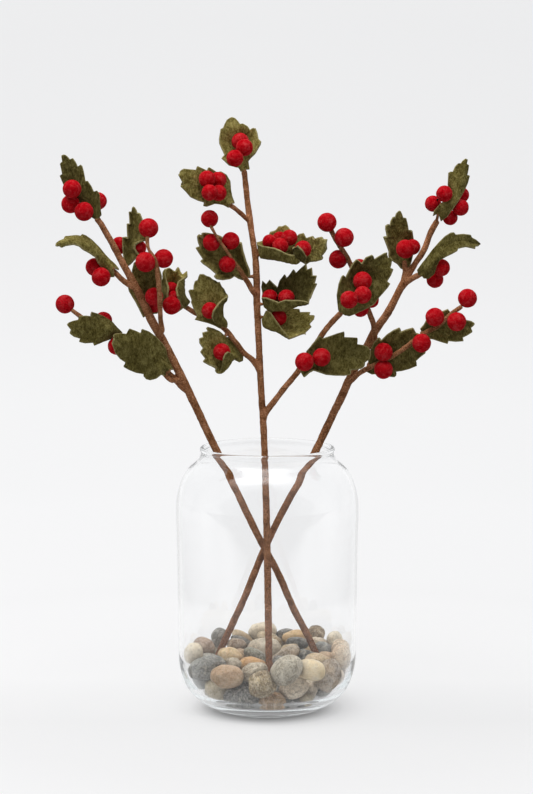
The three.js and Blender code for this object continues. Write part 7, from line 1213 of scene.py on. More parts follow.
# ------------------------------------------------------------------ leaves
def soften(P, keep=0.16):
    """Rounds the corners of a cut outline by a small part of each side."""
    out = [P[0]]
    for i in range(1, len(P) - 1):
        a, b, c = P[i - 1], P[i], P[i + 1]
        la, lc = np.linalg.norm(a - b), np.linalg.norm(c - b)
        out.append(b + (a - b) * min(keep, 0.55 / max(la, 1e-6)))
        out.append(b * 0.72 + 0.14 * (b + (a - b) * min(keep, 0.55 / max(la, 1e-6))) + 0.14 * (b + (c - b) * min(keep, 0.55 / max(lc, 1e-6))))
        out.append(b + (c - b) * min(keep, 0.55 / max(lc, 1e-6)))
    out.append(P[-1])
    return np.array(out)


def box_blur(G, n, axis):
    for _ in range(n):
        pad = np.concatenate([G.take([0], axis), G, G.take([-1], axis)], axis)
        lo = pad.take(range(0, G.shape[axis]), axis)
        hi = pad.take(range(2, G.shape[axis] + 2), axis)
        G = 0.25 * lo + 0.5 * G + 0.25 * hi
    return G


# painted light and shade: how much each leaf's colour is lifted or lowered from one edge across to the other, on its
# one face and on its other
LEAF_PAINTED_LIGHT_AND_SHADE = {
    "C1": ((1.65, 2.35, 1.75),), "C2": ((1.8, 2.1, 1.4),), "C3": ((1.4, 2.2, 2.5),),
    "C4": ((1.25, 2.0, 1.85), (1.2, 1.4, 0.8)), "C5": ((1.7, 2.6, 1.05), (1.65, 2.6, 0.95)),
    "C6": ((1.05, 1.9, 1.8), (2.3, 2.5, 2.5)), "C6b": ((0.65, 0.80, 0.30), (1.55, 1.75, 2.0)),
    "C7": ((0.66, 2.3, 1.0), (0.50, 0.50, 0.73)), "C8": ((1.25, 2.0, 1.8), (1.8, 3.5, 3.4)),
    "L1": ((0.85, 0.66, 0.78),), "L2": ((1.15, 1.95, 1.8),), "L3": ((0.76, 1.2, 1.02),), "L4": ((2.3, 1.0, 1.5),),
    "L5": ((1.6, 3.9, 2.0), (1.1, 1.35, 0.95)), "L6": ((1.35, 1.2, 1.15),), "L7": ((1.2, 1.0, 1.12),),
    "R1": ((1.45, 2.0, 1.1),), "R2": ((0.95, 1.6, 1.3),), "R3": ((0.85, 1.15, 1.15),), "R5": ((0.72, 1.15, 1.08),),
    "R6": ((1.03, 0.92, 0.93),), "R7": ((1.1, 1.08, 1.35),), "R8": ((1.4, 1.3, 1.65),),
}


def leaf(name, spec, index):
    cols = [np.array(c, float) for c in spec["columns"]]
    thick = spec["thick"]
    L, R = soften(cols[0]), soften(cols[-1])
    sL, sR = chord(L), chord(R)
    t = np.unique(np.concatenate([sL, sR, np.linspace(0, 1, 110)]))
    keep = [0]
    for i in range(1, len(t)):
        if t[i] - t[keep[-1]] > 0.0016:
            keep.append(i)
    keep[-1] = len(t) - 1
    t = t[keep]
    nc = len(cols)
    ev = []
    for i, c in enumerate(cols):
        ev.append(linear(L, sL, t) if i == 0 else linear(R, sR, t) if i == nc - 1 else hermite(c, chord(c), t))
    ev = np.array(ev)  # column, row, xyz
    s_cols = np.linspace(0, 1, nc)
    nu = 31
    rim = np.array([0.0, 0.22, 0.6, 1.15, 1.9])
    rows = len(t)
    G = np.zeros((rows, nu + 2 * (len(rim)), 3))
    mm_s = np.zeros((rows, G.shape[1]))  # distance from the left edge along the row
    width = np.zeros(rows)
    for j in range(rows):
        fine = hermite(ev[:, j], s_cols, np.linspace(0, 1, 41))
        arc = np.concatenate([[0], np.cumsum(np.linalg.norm(np.diff(fine, axis=0), axis=1))])
        w = arc[-1]
        width[j] = w
        k = min(1.0, w / 7.0)
        d = np.concatenate([rim * k, np.linspace(rim[-1] * k, w - rim[-1] * k, nu + 2)[1:-1], w - rim[::-1] * k])
        mm_s[j] = d
        G[j] = np.stack([np.interp(d, arc, fine[:, q]) for q in range(3)], axis=1)
    # surface normals, smoothed so that the teeth don't ripple them
    du = np.gradient(G, axis=1)
    mid = G.shape[1] // 2
    dv = np.gradient(box_blur(G, 6, 0), axis=0)
    dv = box_blur(dv, 4, 0)
    N = np.cross(du, dv)
    N /= np.linalg.norm(N, axis=2)[:, :, None] + 1e-9
    N = box_blur(box_blur(N, 8, 0), 4, 1)
    N /= np.linalg.norm(N, axis=2)[:, :, None] + 1e-9
    # distance from the nearer edge, and from the ends
    centre_len = np.concatenate([[0], np.cumsum(np.linalg.norm(np.diff(G[:, mid], axis=0), axis=1))])
    edge = np.minimum(mm_s, width[:, None] - mm_s)
    ends = np.minimum(centre_len[:, None] + 0.0, (centre_len[-1] - centre_len)[:, None] * 1.0)
    edge = np.minimum(edge, np.maximum(ends, 0))
    half = thick / 2 * np.sqrt(np.clip(1 - (1 - np.clip(edge / 1.05, 0, 1)) ** 2.2, 0.16, 1))
    # waves of the hand-curled cloth and the pressed veins
    flat = G.reshape(-1, 3)
    wav = 0.30 * noise3(flat / 13.0 + index * 5.1, 41) + 0.16 * noise3(flat / 5.5 + index, 42)
    wav = wav.reshape(G.shape[:2])
    off = mm_s - width[:, None] / 2
    pitch = max(7.5, centre_len[-1] / 6.3)
    along = centre_len[:, None] - np.abs(off) * 0.85 + pitch * 0.3
    fr = (along / pitch + np.where(off > 0, 0.5, 0.0)) % 1.0
    dist = np.minimum(fr, 1 - fr) * pitch * 0.76
    fade = smooth_step(0.6, 3.0, np.abs(off)) * smooth_step(0.0, 2.5, edge)
    lateral = np.exp(-((dist / 1.05) ** 2)) * fade
    rib = np.exp(-((off / 1.15) ** 2)) * smooth_step(0.0, 6.0, ends) * 0.9
    vein = np.clip(lateral * 0.8 + rib, 0, 1)
    strength = spec.get("veins", 1.0)
    mid_shift = wav - strength * (0.42 * rib + 0.30 * lateral)
    small = 0.085 * noise3(flat / 1.5 + 3.3 * index, 43).reshape(G.shape[:2])
    top = G + N * (mid_shift + half + small)[:, :, None]
    bot = G + N * (mid_shift - half + small * 0.7)[:, :, None]
    H, W = G.shape[:2]
    verts = np.concatenate([top.reshape(-1, 3), bot.reshape(-1, 3)])
    # the soft cloth gives way to berries and stems
    lo, hi = verts.min(axis=0) - 14, verts.max(axis=0) + 14
    for c, r in zip(BERRY_C, BERRY_R):
        if (c < lo).any() or (c > hi).any():
            continue
        d = verts - c
        dist_c = np.linalg.norm(d, axis=1)
        m = dist_c < r + 0.16
        verts[m] = c + d[m] / dist_c[m][:, None] * (r + 0.16)
    inside = ((TUBE_POINTS > lo) & (TUBE_POINTS < hi)).all(axis=1)
    tp, tr = TUBE_POINTS[inside], TUBE_RADII[inside]
    if len(tp):
        for a in range(0, len(verts), 4000):
            V = verts[a : a + 4000]
            D = np.linalg.norm(V[:, None] - tp[None], axis=2)
            k = D.argmin(axis=1)
            dmin = D[np.arange(len(V)), k]
            m = dmin < tr[k] + 0.22
            V[m] = tp[k[m]] + (V[m] - tp[k[m]]) / dmin[m][:, None] * (tr[k[m]] + 0.22)[:, None]
            verts[a : a + 4000] = V
    n0 = H * W
    idx = np.arange(n0).reshape(H, W)
    faces = []
    a, b, c, d = idx[:-1, :-1], idx[:-1, 1:], idx[1:, 1:], idx[1:, :-1]
    q = np.stack([a, b, c, d], axis=-1).reshape(-1, 4)
    faces += q.tolist()
    faces += (q[:, ::-1] + n0).tolist()

    def wall(A, B):
        return [[A[i], A[i] + n0, A[i + 1] + n0, A[i + 1]] for i in range(len(A) - 1)] if B else [
            [A[i + 1], A[i + 1] + n0, A[i] + n0, A[i]] for i in range(len(A) - 1)
        ]

    faces += wall(idx[0, :].tolist(), True)
    faces += wall(idx[-1, :].tolist(), False)
    faces += wall(idx[:, 0].tolist(), False)
    faces += wall(idx[:, -1].tolist(), True)
    o = make_object("felt_leaf_" + name, verts, faces, [M_GREEN])
    # painted highlight along the cut edges
    painted_highlight_rim = np.exp(-((edge / 0.62) ** 2))
    across = np.broadcast_to(np.linspace(0, 1, W), (H, W))
    # painted light and shade for this leaf, by face and across its width
    own = LEAF_PAINTED_LIGHT_AND_SHADE.get(name, ((1.2, 1.2, 1.2),))
    painted_light_shade_faces = [np.interp(across, [0.0, 0.5, 1.0], own[min(k, len(own) - 1)]).reshape(-1) for k in (0, 1)]
    float_attribute(o, "tone", np.concatenate(painted_light_shade_faces))
    float_attribute(o, "rim", np.concatenate([painted_highlight_rim.reshape(-1)] * 2))
    # painted shade in the vein grooves
    float_attribute(o, "vein", np.concatenate([vein.reshape(-1)] * 2) * strength)
    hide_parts("leaf_" + name)
    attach(o, "root")
    # what the cloth was cut to
    tri = np.cross(G[1:, 1:] - G[:-1, :-1], G[1:, :-1] - G[:-1, 1:])
    area = float(np.linalg.norm(tri, axis=2).sum() / 2)
    w, l = float(width.max()), float(centre_len[-1])
    area = min(max(area, 0.31 * w * l), 0.99 * w * l)
    return o


for _i, (_n, _spec) in enumerate(LEAVES.items()):
    leaf(_n, _spec, _i)

# ------------------------------------------------------------------ pebbles
# main colour, second colour, (specks, patches, pits), (pale veins, rust spots, rings)
STONES = {
    "cream": ((231, 223, 205), (216, 201, 175), (0.15, 0.6, 0.05), (0.1, 0.2, 0.0)),
    "brownpink": ((158, 138, 122), (138, 118, 106), (0.2, 0.7, 0.05), (0.1, 0.1, 0.0)),
    "slate": ((103, 104, 103), (122, 116, 109), (0.3, 0.6, 0.05), (0.2, 0.0, 0.0)),
    "tan": ((190, 172, 144), (170, 146, 112), (0.2, 0.8, 0.1), (0.2, 0.2, 0.1)),
    "brown": ((140, 122, 106), (158, 140, 120), (0.4, 0.8, 0.2), (0.2, 0.2, 0.2)),
    "creamline": ((188, 174, 148), (160, 138, 104), (0.2, 0.5, 0.1), (0.1, 0.2, 0.8)),
    "beige": ((198, 190, 173), (182, 170, 150), (0.2, 0.6, 0.1), (0.2, 0.1, 0.0)),
    "greygreen": ((112, 113, 104), (138, 138, 124), (0.8, 0.8, 0.1), (0.4, 0.0, 0.2)),
    "creamyellow": ((202, 186, 150), (184, 156, 116), (0.2, 0.9, 0.1), (0.6, 0.3, 0.0)),
    "orange": ((188, 154, 110), (166, 124, 78), (0.1, 0.9, 0.05), (0.1, 0.1, 0.1)),
    "greytan": ((170, 158, 140), (188, 180, 162), (0.5, 0.7, 0.5), (0.2, 0.2, 0.1)),
    "darkvein": ((120, 122, 120), (108, 110, 110), (0.5, 0.8, 0.1), (1.0, 0.0, 0.0)),
    "grey": ((132, 132, 127), (150, 148, 140), (0.3, 0.6, 0.1), (0.2, 0.0, 0.0)),
    "pinktan": ((170, 148, 122), (156, 126, 97), (0.15, 0.8, 0.1), (0.15, 0.5, 0.0)),
    "rough": ((176, 161, 130), (146, 126, 92), (0.5, 0.7, 1.0), (0.3, 0.5, 0.0)),
    "olive": ((172, 163, 138), (158, 146, 120), (0.2, 0.7, 0.1), (0.2, 0.2, 0.0)),
    "bluegrey": ((84, 86, 89), (100, 101, 102), (1.0, 0.7, 0.2), (0.3, 0.0, 0.0)),
    "greyblue": ((128, 131, 130), (112, 116, 118), (0.2, 0.6, 0.05), (0.2, 0.0, 0.0)),
    "tanorange": ((172, 144, 106), (186, 164, 128), (0.3, 0.8, 0.2), (0.2, 0.4, 0.1)),
    "pit": ((150, 132, 106), (114, 96, 74), (0.5, 0.8, 0.8), (0.1, 0.6, 0.0)),
    "dark": ((88, 90, 89), (100, 100, 97), (0.3, 0.5, 0.1), (0.3, 0.0, 0.0)),
    "creampink": ((208, 194, 174), (194, 168, 138), (0.3, 0.7, 0.1), (0.2, 0.5, 0.0)),
    "bright": ((228, 217, 194), (220, 200, 160), (0.05, 0.8, 0.03), (0.1, 0.35, 0.0)),
    "browngrey": ((146, 134, 122), (164, 144, 120), (0.4, 0.8, 0.15), (0.5, 0.3, 0.0)),
    "beigegrey": ((196, 183, 163), (208, 197, 180), (0.4, 0.7, 0.3), (0.2, 0.4, 0.0)),
}
# single stones that differ from their kind
STONE_OWN = {
    "greygreen": ((178, 171, 154), (158, 153, 140), (0.4, 0.7, 0.15), (0.5, 0.1, 0.7)),
    "dark_m2": ((90, 93, 92), (78, 81, 81), (0.3, 0.5, 0.1), (0.9, 0.0, 0.0)),
    "pink_r": ((202, 188, 168), (208, 194, 174), (0.3, 0.6, 0.1), (0.1, 0.3, 0.0)),
    "pink_long": ((168, 150, 128), (148, 138, 124), (0.5, 0.9, 0.3), (0.2, 0.6, 0.0)),
    "orange_low": ((182, 156, 122), (170, 134, 96), (0.5, 0.9, 0.3), (0.2, 0.5, 0.0)),
    "tan_b": ((178, 146, 104), (190, 164, 124), (0.1, 0.8, 0.05), (0.1, 0.1, 0.0)),
}
# how far a stone's look departs from its plain room: moved right and up (mm), longer by a factor along a
# direction seen from the front (degrees from the right), squareness, and how deeply its flats are worn
STONE_FORM = {
    "greygreen": (0.0, -2.6, 1.10, 52, 2.0, 0.5),
    "rough_tan": (2.2, -0.3, 1.02, 20, 2.2, 1.5),
    "pink_tan": (0.0, -0.6, 1.04, 0, 2.7, 0.6),
    "dark_vein": (-0.6, -2.0, 1.05, 170, 2.3, 1.4),
    "bright": (-0.6, -0.6, 1.04, 160, 2.5, 0.6),
    "browngrey": (1.2, -1.8, 1.05, 65, 2.1, 0.9),
    "bluegrey": (0.4, -2.8, 1.06, 175, 2.2, 1.1),
    "beige_f": (-2.6, -3.4, 1.08, 35, 2.2, 1.2),
    "beige_f2": (-1.0, -2.4, 1.12, 60, 2.2, 1.1),
    "beige_low": (-1.2, -1.2, 1.08, 120, 2.3, 1.1),
    "cream_yellow": (0.2, -0.4, 1.04, 170, 2.2, 1.0),
    "cream_left": (0.0, -1.2, 1.02, 90, 2.3, 0.8),
    "orange_low": (-0.4, -1.4, 1.02, 0, 2.1, 1.1),
    "orange": (0.0, -0.6, 1.03, 160, 2.1, 0.8),
    "greyblue_l": (0.5, -1.0, 1.05, 90, 2.1, 1.0),
    "cream_s": (-0.5, -1.0, 1.1, 0, 2.0, 0.7),
}
ICO3, ICO3F = ico(3)


def pebble_shape(p, i):
    name, heap, at, q, half, col, seen = p
    coarse = name in ("rough_tan", "curved", "pit_b", "greytan_s")
    V, F = (ICO5, ICO5F) if coarse else (ICO4, ICO4F) if seen else (ICO3, ICO3F)
    half = np.array(half)
    rng = np.random.RandomState(900 + i)
    dx, dz, longer, deg, power, worn = STONE_FORM.get(name, (0, 0, 1.0, 0, 2.0 + 0.4 * rng.rand(), 0.7 + 0.7 * rng.rand()))
    d = V
    # from an ellipsoid towards a box with very round corners
    k = 1.0 / (np.abs(d) ** power).sum(axis=1) ** (1.0 / power)
    k = 1 + (k - 1) * 0.8
    # flats that water wore, each one blended into the rest
    for _ in range(7):
        n = rng.normal(size=3)
        n /= np.linalg.norm(n)
        lim = 1 - worn * rng.uniform(0.03, 0.15)
        h = (d @ n) * k
        over = h - lim
        k = np.where(over > 0, k * (1 - 0.82 * over / np.maximum(h, 1e-6)), k)
    low = noise3(d * 1.25 + i * 7.7, 51)
    mid = noise3(d * half.mean() / 5.0 + i * 4.1, 54)
    fine = noise3(d * half.mean() / 2.4 + i * 2.9, 52)
    grit = noise3(d * half.mean() / 0.9 + i * 1.9, 53)
    rough = {"rough": 3.0, "pit": 2.6, "darkvein": 1.3, "greytan": 1.8, "beigegrey": 1.3}.get(col, 0.8)
    k = k * (1.0 + 0.045 * worn * low)
    loc = d * half * k[:, None]
    nrm = d / half
    nrm /= np.linalg.norm(nrm, axis=1)[:, None]
    bump = 0.22 * worn * mid + 0.10 * rough * fine + 0.055 * rough * grit
    if coarse:
        # pits with rims
        r1 = np.abs(noise3(d * half.mean() / 3.4 + i * 5.3, 55))
        bump = bump - 0.55 * np.exp(-((r1 / 0.10) ** 2)) + 0.12
    loc += nrm * bump[:, None]
    R = np.array(Quaternion(q).to_matrix())
    w = loc @ R.T
    e = np.array([math.cos(math.radians(deg)), 0, math.sin(math.radians(deg))])
    w = w + (longer - 1) * (w @ e)[:, None] * e
    w = w * 1.025 + np.array(at) + np.array([dx, 0, dz])
    # a stone never goes through the glass
    r = np.hypot(w[:, 0], w[:, 1])
    wall = np.where(w[:, 2] < 54, 40.8 + 46 * np.sin(np.arccos(np.clip(1 - (w[:, 2] - 8) / 46, -1, 1))), 87.0) - 0.25
    over = r > wall
    w[over, 0] *= (wall / r)[over]
    w[over, 1] *= (wall / r)[over]
    w[:, 2] = np.maximum(w[:, 2], 8.3)
    return w, loc, F, (np.array(at) + np.array([dx, 0, dz]), R, half * 1.03)


def contact_shade_of(i):
    """Painted shade between stones: how close each point of stone i is to any other stone, 1 at a contact, fading out
    over two millimetres.
    """
    v, at = PEBBLE_SHAPES[i][0], PEBBLE_SHAPES[i][3][0]
    reach = float(PEBBLE_SHAPES[i][3][2].max())
    c = np.zeros(len(v))
    for j, other in enumerate(PEBBLE_SHAPES):
        cj, Rj, hj = other[3]
        if j == i or np.linalg.norm(at - cj) > reach + float(hj.max()) + 4:
            continue
        d = v - cj
        u = np.linalg.norm((d @ Rj) / hj, axis=1) + 1e-6
        gap = np.maximum(np.linalg.norm(d, axis=1) * (1 - 1 / u), 0)
        c = np.maximum(c, np.maximum(np.exp(-((gap / 1.5) ** 2)), 0.62 * np.exp(-((gap / 4.2) ** 2))))
    return c


PEBBLE_SHAPES = [pebble_shape(p, i) for i, p in enumerate(PEBBLES)]
heaps = {}
for i, p in enumerate(PEBBLES):
    heaps.setdefault(p[1], []).append((i, p))
for h, items in sorted(heaps.items()):
    verts, faces, A, B, K, VV, PP, contact_shade_lists = [], [], [], [], [], [], [], []
    for i, p in items:
        v, loc, F, _ = PEBBLE_SHAPES[i]
        contact_shade_lists.append(contact_shade_of(i))
        base = sum(len(x) for x in verts)
        verts.append(v)
        faces += [tuple(base + j for j in f) for f in F]
        rng = np.random.RandomState(500 + i)
        main, second, k, vv = STONE_OWN.get(p[0], STONES.get(p[5], STONES["beige"]))
        tint = (1 + rng.uniform(-0.04, 0.04)) * np.array(STONE_LEVEL)
        a = np.array(srgb(*main)) * tint
        b = np.array(srgb(*second)) * tint
        a, b = a * min(1.0, 0.93 / a.max()), b * min(1.0, 0.93 / b.max())
        n = len(v)
        A.append(np.tile(a, (n, 1)))
        B.append(np.tile(b, (n, 1)))
        K.append(np.tile(np.array(k), (n, 1)))
        VV.append(np.tile(np.array(vv), (n, 1)))
        PP.append(loc * MM @ rot_from_seed(700 + i).T + rng.uniform(0, 0.5, 3))
    o = make_object("river_pebbles_%d" % (h + 1), np.concatenate(verts), faces, [M_STONE])
    colour_attribute(o, "stone_a", np.concatenate(A))
    colour_attribute(o, "stone_b", np.concatenate(B))
    colour_attribute(o, "stone_k", np.concatenate(K))
    colour_attribute(o, "stone_v", np.concatenate(VV))
    colour_attribute(o, "stone_p", np.concatenate(PP))
    # painted shade between stones
    float_attribute(o, "stone_contact_shade", np.concatenate(contact_shade_lists))
    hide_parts("pebbles_%d" % (h + 1))
    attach(o, "root")

# ------------------------------------------------------------------ floor, backdrop and light
def stage_sweep():
    prof = [(-7.0, 0.0), (1.3, 0.0)]
    rad = 1.5
    for k in range(1, 25):
        a = math.pi / 2 * k / 24
        prof.append((1.3 + rad * math.sin(a), rad * (1 - math.cos(a))))
    prof.append((2.8, 6.0))
    verts, faces = [], []
    for y, z in prof:
        verts += [(-7, y, z), (7, y, z)]
    for k in range(len(prof) - 1):
        faces.append((2 * k, 2 * k + 1, 2 * k + 3, 2 * k + 2))
    me = bpy.data.meshes.new("backdrop")
    me.from_pydata(verts, [], faces)
    me.polygons.foreach_set("use_smooth", [True] * len(faces))
    o = bpy.data.objects.new("backdrop", me)
    scene.collection.objects.link(o)
    m = Nodes("backdrop_paper_glow")
    c = m.coord()
    sep = m.add("ShaderNodeSeparateXYZ")
    m.link(c, sep.inputs[0])
    # painted glow: the paper's brightness is an emission ramp over distance and height; it falls off a little with
    # height, and towards its far sides
    far_off = m.math("SQRT", m.math("ADD", m.math("MULTIPLY", sep.outputs[0], sep.outputs[0]),
                                    m.math("MULTIPLY", sep.outputs[1], sep.outputs[1])))
    up = m.map_range(m.math("ADD", far_off, sep.outputs[2]), 0.0, 4.0, 0.0, 1.0)
    glow = m.ramp(up, PAPER_GLOW_RAMP)
    # painted glow on the paper's sides, beyond what the camera sees directly, standing in for the side panels of a
    # light tent
    painted_side_glow = m.map_range(m.math("ABSOLUTE", sep.outputs[0]), 0.6, 1.6, 0.0, PAPER_SIDE_GLOW)
    painted_side_glow = m.math("SUBTRACT", painted_side_glow, m.map_range(m.math("ABSOLUTE", sep.outputs[0]), 3.0, 6.0, 0.0, 0.09))
    painted_side_glow_rgb = m.add("ShaderNodeCombineColor")
    for k in range(3):
        m.link(painted_side_glow, painted_side_glow_rgb.inputs[k])
    glow = m.mix(1.0, glow, painted_side_glow_rgb.outputs[0], "ADD")
    # painted glow keeps the floor behind the jar bright
    painted_back_glow = m.map_range(sep.outputs[1], -0.06, 0.12, 0.0, 0.075)
    painted_back_glow = m.math("MULTIPLY", painted_back_glow, m.map_range(far_off, 0.22, 0.62, 1.0, 0.0))
    painted_back_glow_rgb = m.add("ShaderNodeCombineColor")
    for k in range(3):
        m.link(painted_back_glow, painted_back_glow_rgb.inputs[k])
    glow = m.mix(1.0, glow, painted_back_glow_rgb.outputs[0], "ADD")
    # painted shadow: the paper's glow is cut down right under and around the jar, more widely as the glass sees it
    painted_shadow = m.ramp(m.map_range(far_off, 0.0, 0.12, 0.0, 1.0), PAINTED_SHADOW_SEEN)
    painted_shadow_wide = m.ramp(m.map_range(far_off, 0.0, 0.12, 0.0, 1.0), PAINTED_SHADOW_IN_GLASS)
    painted_shadow = m.mix(m.add("ShaderNodeLightPath").outputs["Is Camera Ray"], painted_shadow_wide, painted_shadow)
    glow = m.mix(1.0, glow, painted_shadow, "MULTIPLY")
    # in the glass only: painted darker stripes on the paper, like gaps between studio panels, show in its reflections
    # and refractions
    turn = m.math("ARCTAN2", sep.outputs[0], sep.outputs[1])
    painted_lane = m.map_range(m.math("COSINE", m.math("MULTIPLY", turn, 8.0)), -1.0, 0.6, PAINTED_LANE_DARK, 1.0)
    painted_lane = m.math("MAXIMUM", painted_lane, m.map_range(far_off, 0.5, 1.2, 1.0, 0.0))
    painted_lane = m.math("MAXIMUM", painted_lane, m.map_range(sep.outputs[2], 0.0, 0.12, 0.0, 1.0))
    lpc = m.add("ShaderNodeLightPath")
    # painted darkness on the paper in front of the jar, seen only in the glass, as if the paper ended there and the
    # room beyond were dark
    painted_lane = m.math("MULTIPLY", painted_lane, m.map_range(sep.outputs[1], -0.74, -0.53, 0.30, 1.0))
    painted_lane = m.math("MAXIMUM", painted_lane, lpc.outputs["Is Camera Ray"])
    painted_lane_rgb = m.add("ShaderNodeCombineColor")
    for k in range(3):
        m.link(painted_lane, painted_lane_rgb.inputs[k])
    glow = m.mix(1.0, glow, painted_lane_rgb.outputs[0], "MULTIPLY")
    lit = m.add("ShaderNodeBsdfDiffuse")
    litc = m.mix(1.0, painted_lane_rgb.outputs[0], (PAPER_LIT, PAPER_LIT, PAPER_LIT * 1.01), "MULTIPLY")
    m.link(litc, lit.inputs["Color"])
    # painted glow: the paper gives off its own light
    emit = m.add("ShaderNodeEmission")
    m.link(glow, emit.inputs["Color"])
    emit.inputs["Strength"].default_value = 1.0
    seen = m.add("ShaderNodeAddShader")
    m.link(lit.outputs[0], seen.inputs[0])
    m.link(emit.outputs[0], seen.inputs[1])
    far = m.add("ShaderNodeBsdfDiffuse")
    far.inputs["Color"].default_value = (PAPER_BOUNCE, PAPER_BOUNCE, PAPER_BOUNCE, 1)
    lp = m.add("ShaderNodeLightPath")
    mix = m.add("ShaderNodeMixShader")
    m.link(lp.outputs["Is Diffuse Ray"], mix.inputs[0])
    m.link(seen.outputs[0], mix.inputs[1])
    m.link(far.outputs[0], mix.inputs[2])
    m.link(mix.outputs[0], m.out.inputs["Surface"])
    me.materials.append(m.mat)
    return o


PAPER_LIT, PAPER_BOUNCE = 0.30, 0.42
# painted darker lanes on the paper, seen only in the glass
PAINTED_LANE_DARK = 0.86
# painted glow on the paper's sides
PAPER_SIDE_GLOW = 0.20
# painted shadow on the paper under the jar, as seen directly and as the glass sees it
PAINTED_SHADOW_SEEN = [(r / 0.12, (v, v, v)) for r, v in ((0.0, 0.18), (0.045, 0.22), (0.052, 0.36), (0.060, 0.58), (0.068, 0.82), (0.078, 0.97), (0.10, 1.0))]
PAINTED_SHADOW_IN_GLASS = [(r / 0.12, (v, v, v)) for r, v in ((0.0, 0.26), (0.045, 0.34), (0.055, 0.48), (0.067, 0.72), (0.080, 0.90), (0.096, 1.0))]
# painted glow of the paper, over distance and height
PAPER_GLOW_RAMP = [
    (s / 4.0, (v, v * 1.003, v * 1.012))
    for s, v in ((0.0, 0.56), (0.13, 0.565), (0.2, 0.562), (0.28, 0.57), (0.54, 0.632), (0.7, 0.655), (1.3, 0.70), (1.94, 0.69), (2.74, 0.642), (3.38, 0.642), (4.0, 0.675))
]
stage_sweep()

SOFTBOX_SHINE = 3.4
world = bpy.data.worlds.new("studio")
scene.world = world
world.use_nodes = True
wt = world.node_tree
bg = wt.nodes["Background"]
bg.inputs["Color"].default_value = (0.96, 0.98, 1.0, 1)
bg.inputs["Strength"].default_value = 0.38
seen_bg = wt.nodes.new("ShaderNodeBackground")
seen_bg.inputs["Color"].default_value = (0.99, 0.99, 1.0, 1)
seen_bg.inputs["Strength"].default_value = 0.88
wlp = wt.nodes.new("ShaderNodeLightPath")


def wmath(op, a, b=None):
    n = wt.nodes.new("ShaderNodeMath")
    n.operation = op
    for sock, v in ((n.inputs[0], a), (n.inputs[1], b)):
        if v is None:
            continue
        if hasattr(v, "links"):
            wt.links.new(v, sock)
        else:
            sock.default_value = v
    return n.outputs[0]


wdir = wt.nodes.new("ShaderNodeSeparateXYZ")
wt.links.new(wt.nodes.new("ShaderNodeTexCoord").outputs["Generated"], wdir.inputs[0])
wlane = wmath("COSINE", wmath("MULTIPLY", wmath("ARCTAN2", wdir.outputs[0], wdir.outputs[1]), 8.0))
wmr = wt.nodes.new("ShaderNodeMapRange")
wmr.inputs["From Min"].default_value = -1.0
wmr.inputs["From Max"].default_value = 0.6
wmr.inputs["To Min"].default_value = 0.97
wmr.inputs["To Max"].default_value = 1.0
wt.links.new(wlane, wmr.inputs["Value"])
wroom = wt.nodes.new("ShaderNodeMapRange")
for _k, _x in zip(("From Min", "From Max", "To Min", "To Max"), (-0.98, -0.50, 0.43, 1.0)):
    wroom.inputs[_k].default_value = _x
wt.links.new(wdir.outputs[1], wroom.inputs["Value"])
wfac = wmath("MULTIPLY", wroom.outputs["Result"], wmr.outputs["Result"])
wfac = wmath("MAXIMUM", wfac, wlp.outputs["Is Camera Ray"])
wmax = wt.nodes.new("ShaderNodeMath")
wmax.operation = "MAXIMUM"
wt.links.new(wlp.outputs["Is Camera Ray"], wmax.inputs[0])
wt.links.new(wlp.outputs["Is Transmission Ray"], wmax.inputs[1])
wmix = wt.nodes.new("ShaderNodeMixShader")
wt.links.new(wmax.outputs[0], wmix.inputs[0])
wt.links.new(bg.outputs[0], wmix.inputs[1])
wt.links.new(seen_bg.outputs[0], wmix.inputs[2])
shine_bg = wt.nodes.new("ShaderNodeBackground")
shine_bg.inputs["Color"].default_value = (0.97, 0.985, 1.0, 1)
# the overhead softbox as the glass shows it: bright in the middle, fading out at its cloth edges
wx = wmath("ABSOLUTE", wmath("ADD", wdir.outputs[0], 0.09))
wy = wmath("ABSOLUTE", wmath("ADD", wdir.outputs[1], 0.20))


def wfade(v, a, b):
    n = wt.nodes.new("ShaderNodeMapRange")
    n.interpolation_type = "SMOOTHSTEP"
    for k, x in zip(("From Min", "From Max", "To Min", "To Max"), (a, b, 1.0, 0.0)):
        n.inputs[k].default_value = x
    wt.links.new(v, n.inputs["Value"])
    return n.outputs["Result"]


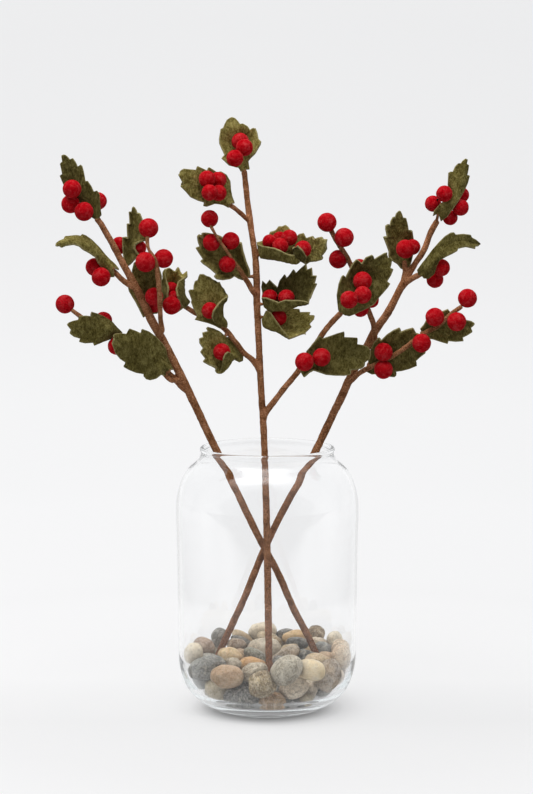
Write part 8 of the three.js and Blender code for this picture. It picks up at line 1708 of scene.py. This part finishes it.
wbox = wmath("MULTIPLY", wfade(wx, 0.16, 0.62), wfade(wy, 0.04, 0.36))
wbox = wmath("MULTIPLY", wbox, wmath("GREATER_THAN", wdir.outputs[2], 0.0))
wbox = wmath("MULTIPLY", wbox, SOFTBOX_SHINE)
notcam = wmath("SUBTRACT", 1.0, wlp.outputs["Is Camera Ray"])
wt.links.new(wmath("ADD", wmath("MULTIPLY", wfac, 0.94), wbox), shine_bg.inputs["Strength"])
wt.links.new(wmath("ADD", wmath("MULTIPLY", wfac, 0.92), wmath("MULTIPLY", wbox, notcam)), seen_bg.inputs["Strength"])
wmix2 = wt.nodes.new("ShaderNodeMixShader")
wt.links.new(wlp.outputs["Is Glossy Ray"], wmix2.inputs[0])
wt.links.new(wmix.outputs[0], wmix2.inputs[1])
wt.links.new(shine_bg.outputs[0], wmix2.inputs[2])
wt.links.new(wmix2.outputs[0], wt.nodes["World Output"].inputs["Surface"])


def area(name, loc, target, size, power, colour=(1, 1, 1), size_y=None):
    d = bpy.data.lights.new(name, "AREA")
    d.energy = power
    d.color = colour
    d.shape = "RECTANGLE"
    d.size = size
    d.size_y = size_y or size
    o = bpy.data.objects.new(name, d)
    scene.collection.objects.link(o)
    o.location = loc
    o.rotation_euler = (Vector(target) - Vector(loc)).to_track_quat("-Z", "Y").to_euler()
    return o


softbox = area("top_softbox", (-0.40, -0.50, 2.4), (0.0, 0.05, 0.3), 2.2, 51.0, (1.0, 0.985, 0.965), size_y=1.5)
softbox.visible_glossy = False
softbox.visible_transmission = False

scene.view_settings.view_transform = "Standard"
scene.view_settings.look = "None"
scene.view_settings.exposure = 0.0
scene.view_settings.gamma = 1.0
scene.cycles.use_denoising = True
scene.cycles.max_bounces = 32
scene.cycles.transmission_bounces = 32
scene.cycles.transparent_max_bounces = 16
scene.cycles.glossy_bounces = 32
scene.cycles.diffuse_bounces = 4
scene.cycles.sample_clamp_indirect = 6.0
scene.cycles.caustics_reflective = False
scene.cycles.caustics_refractive = True
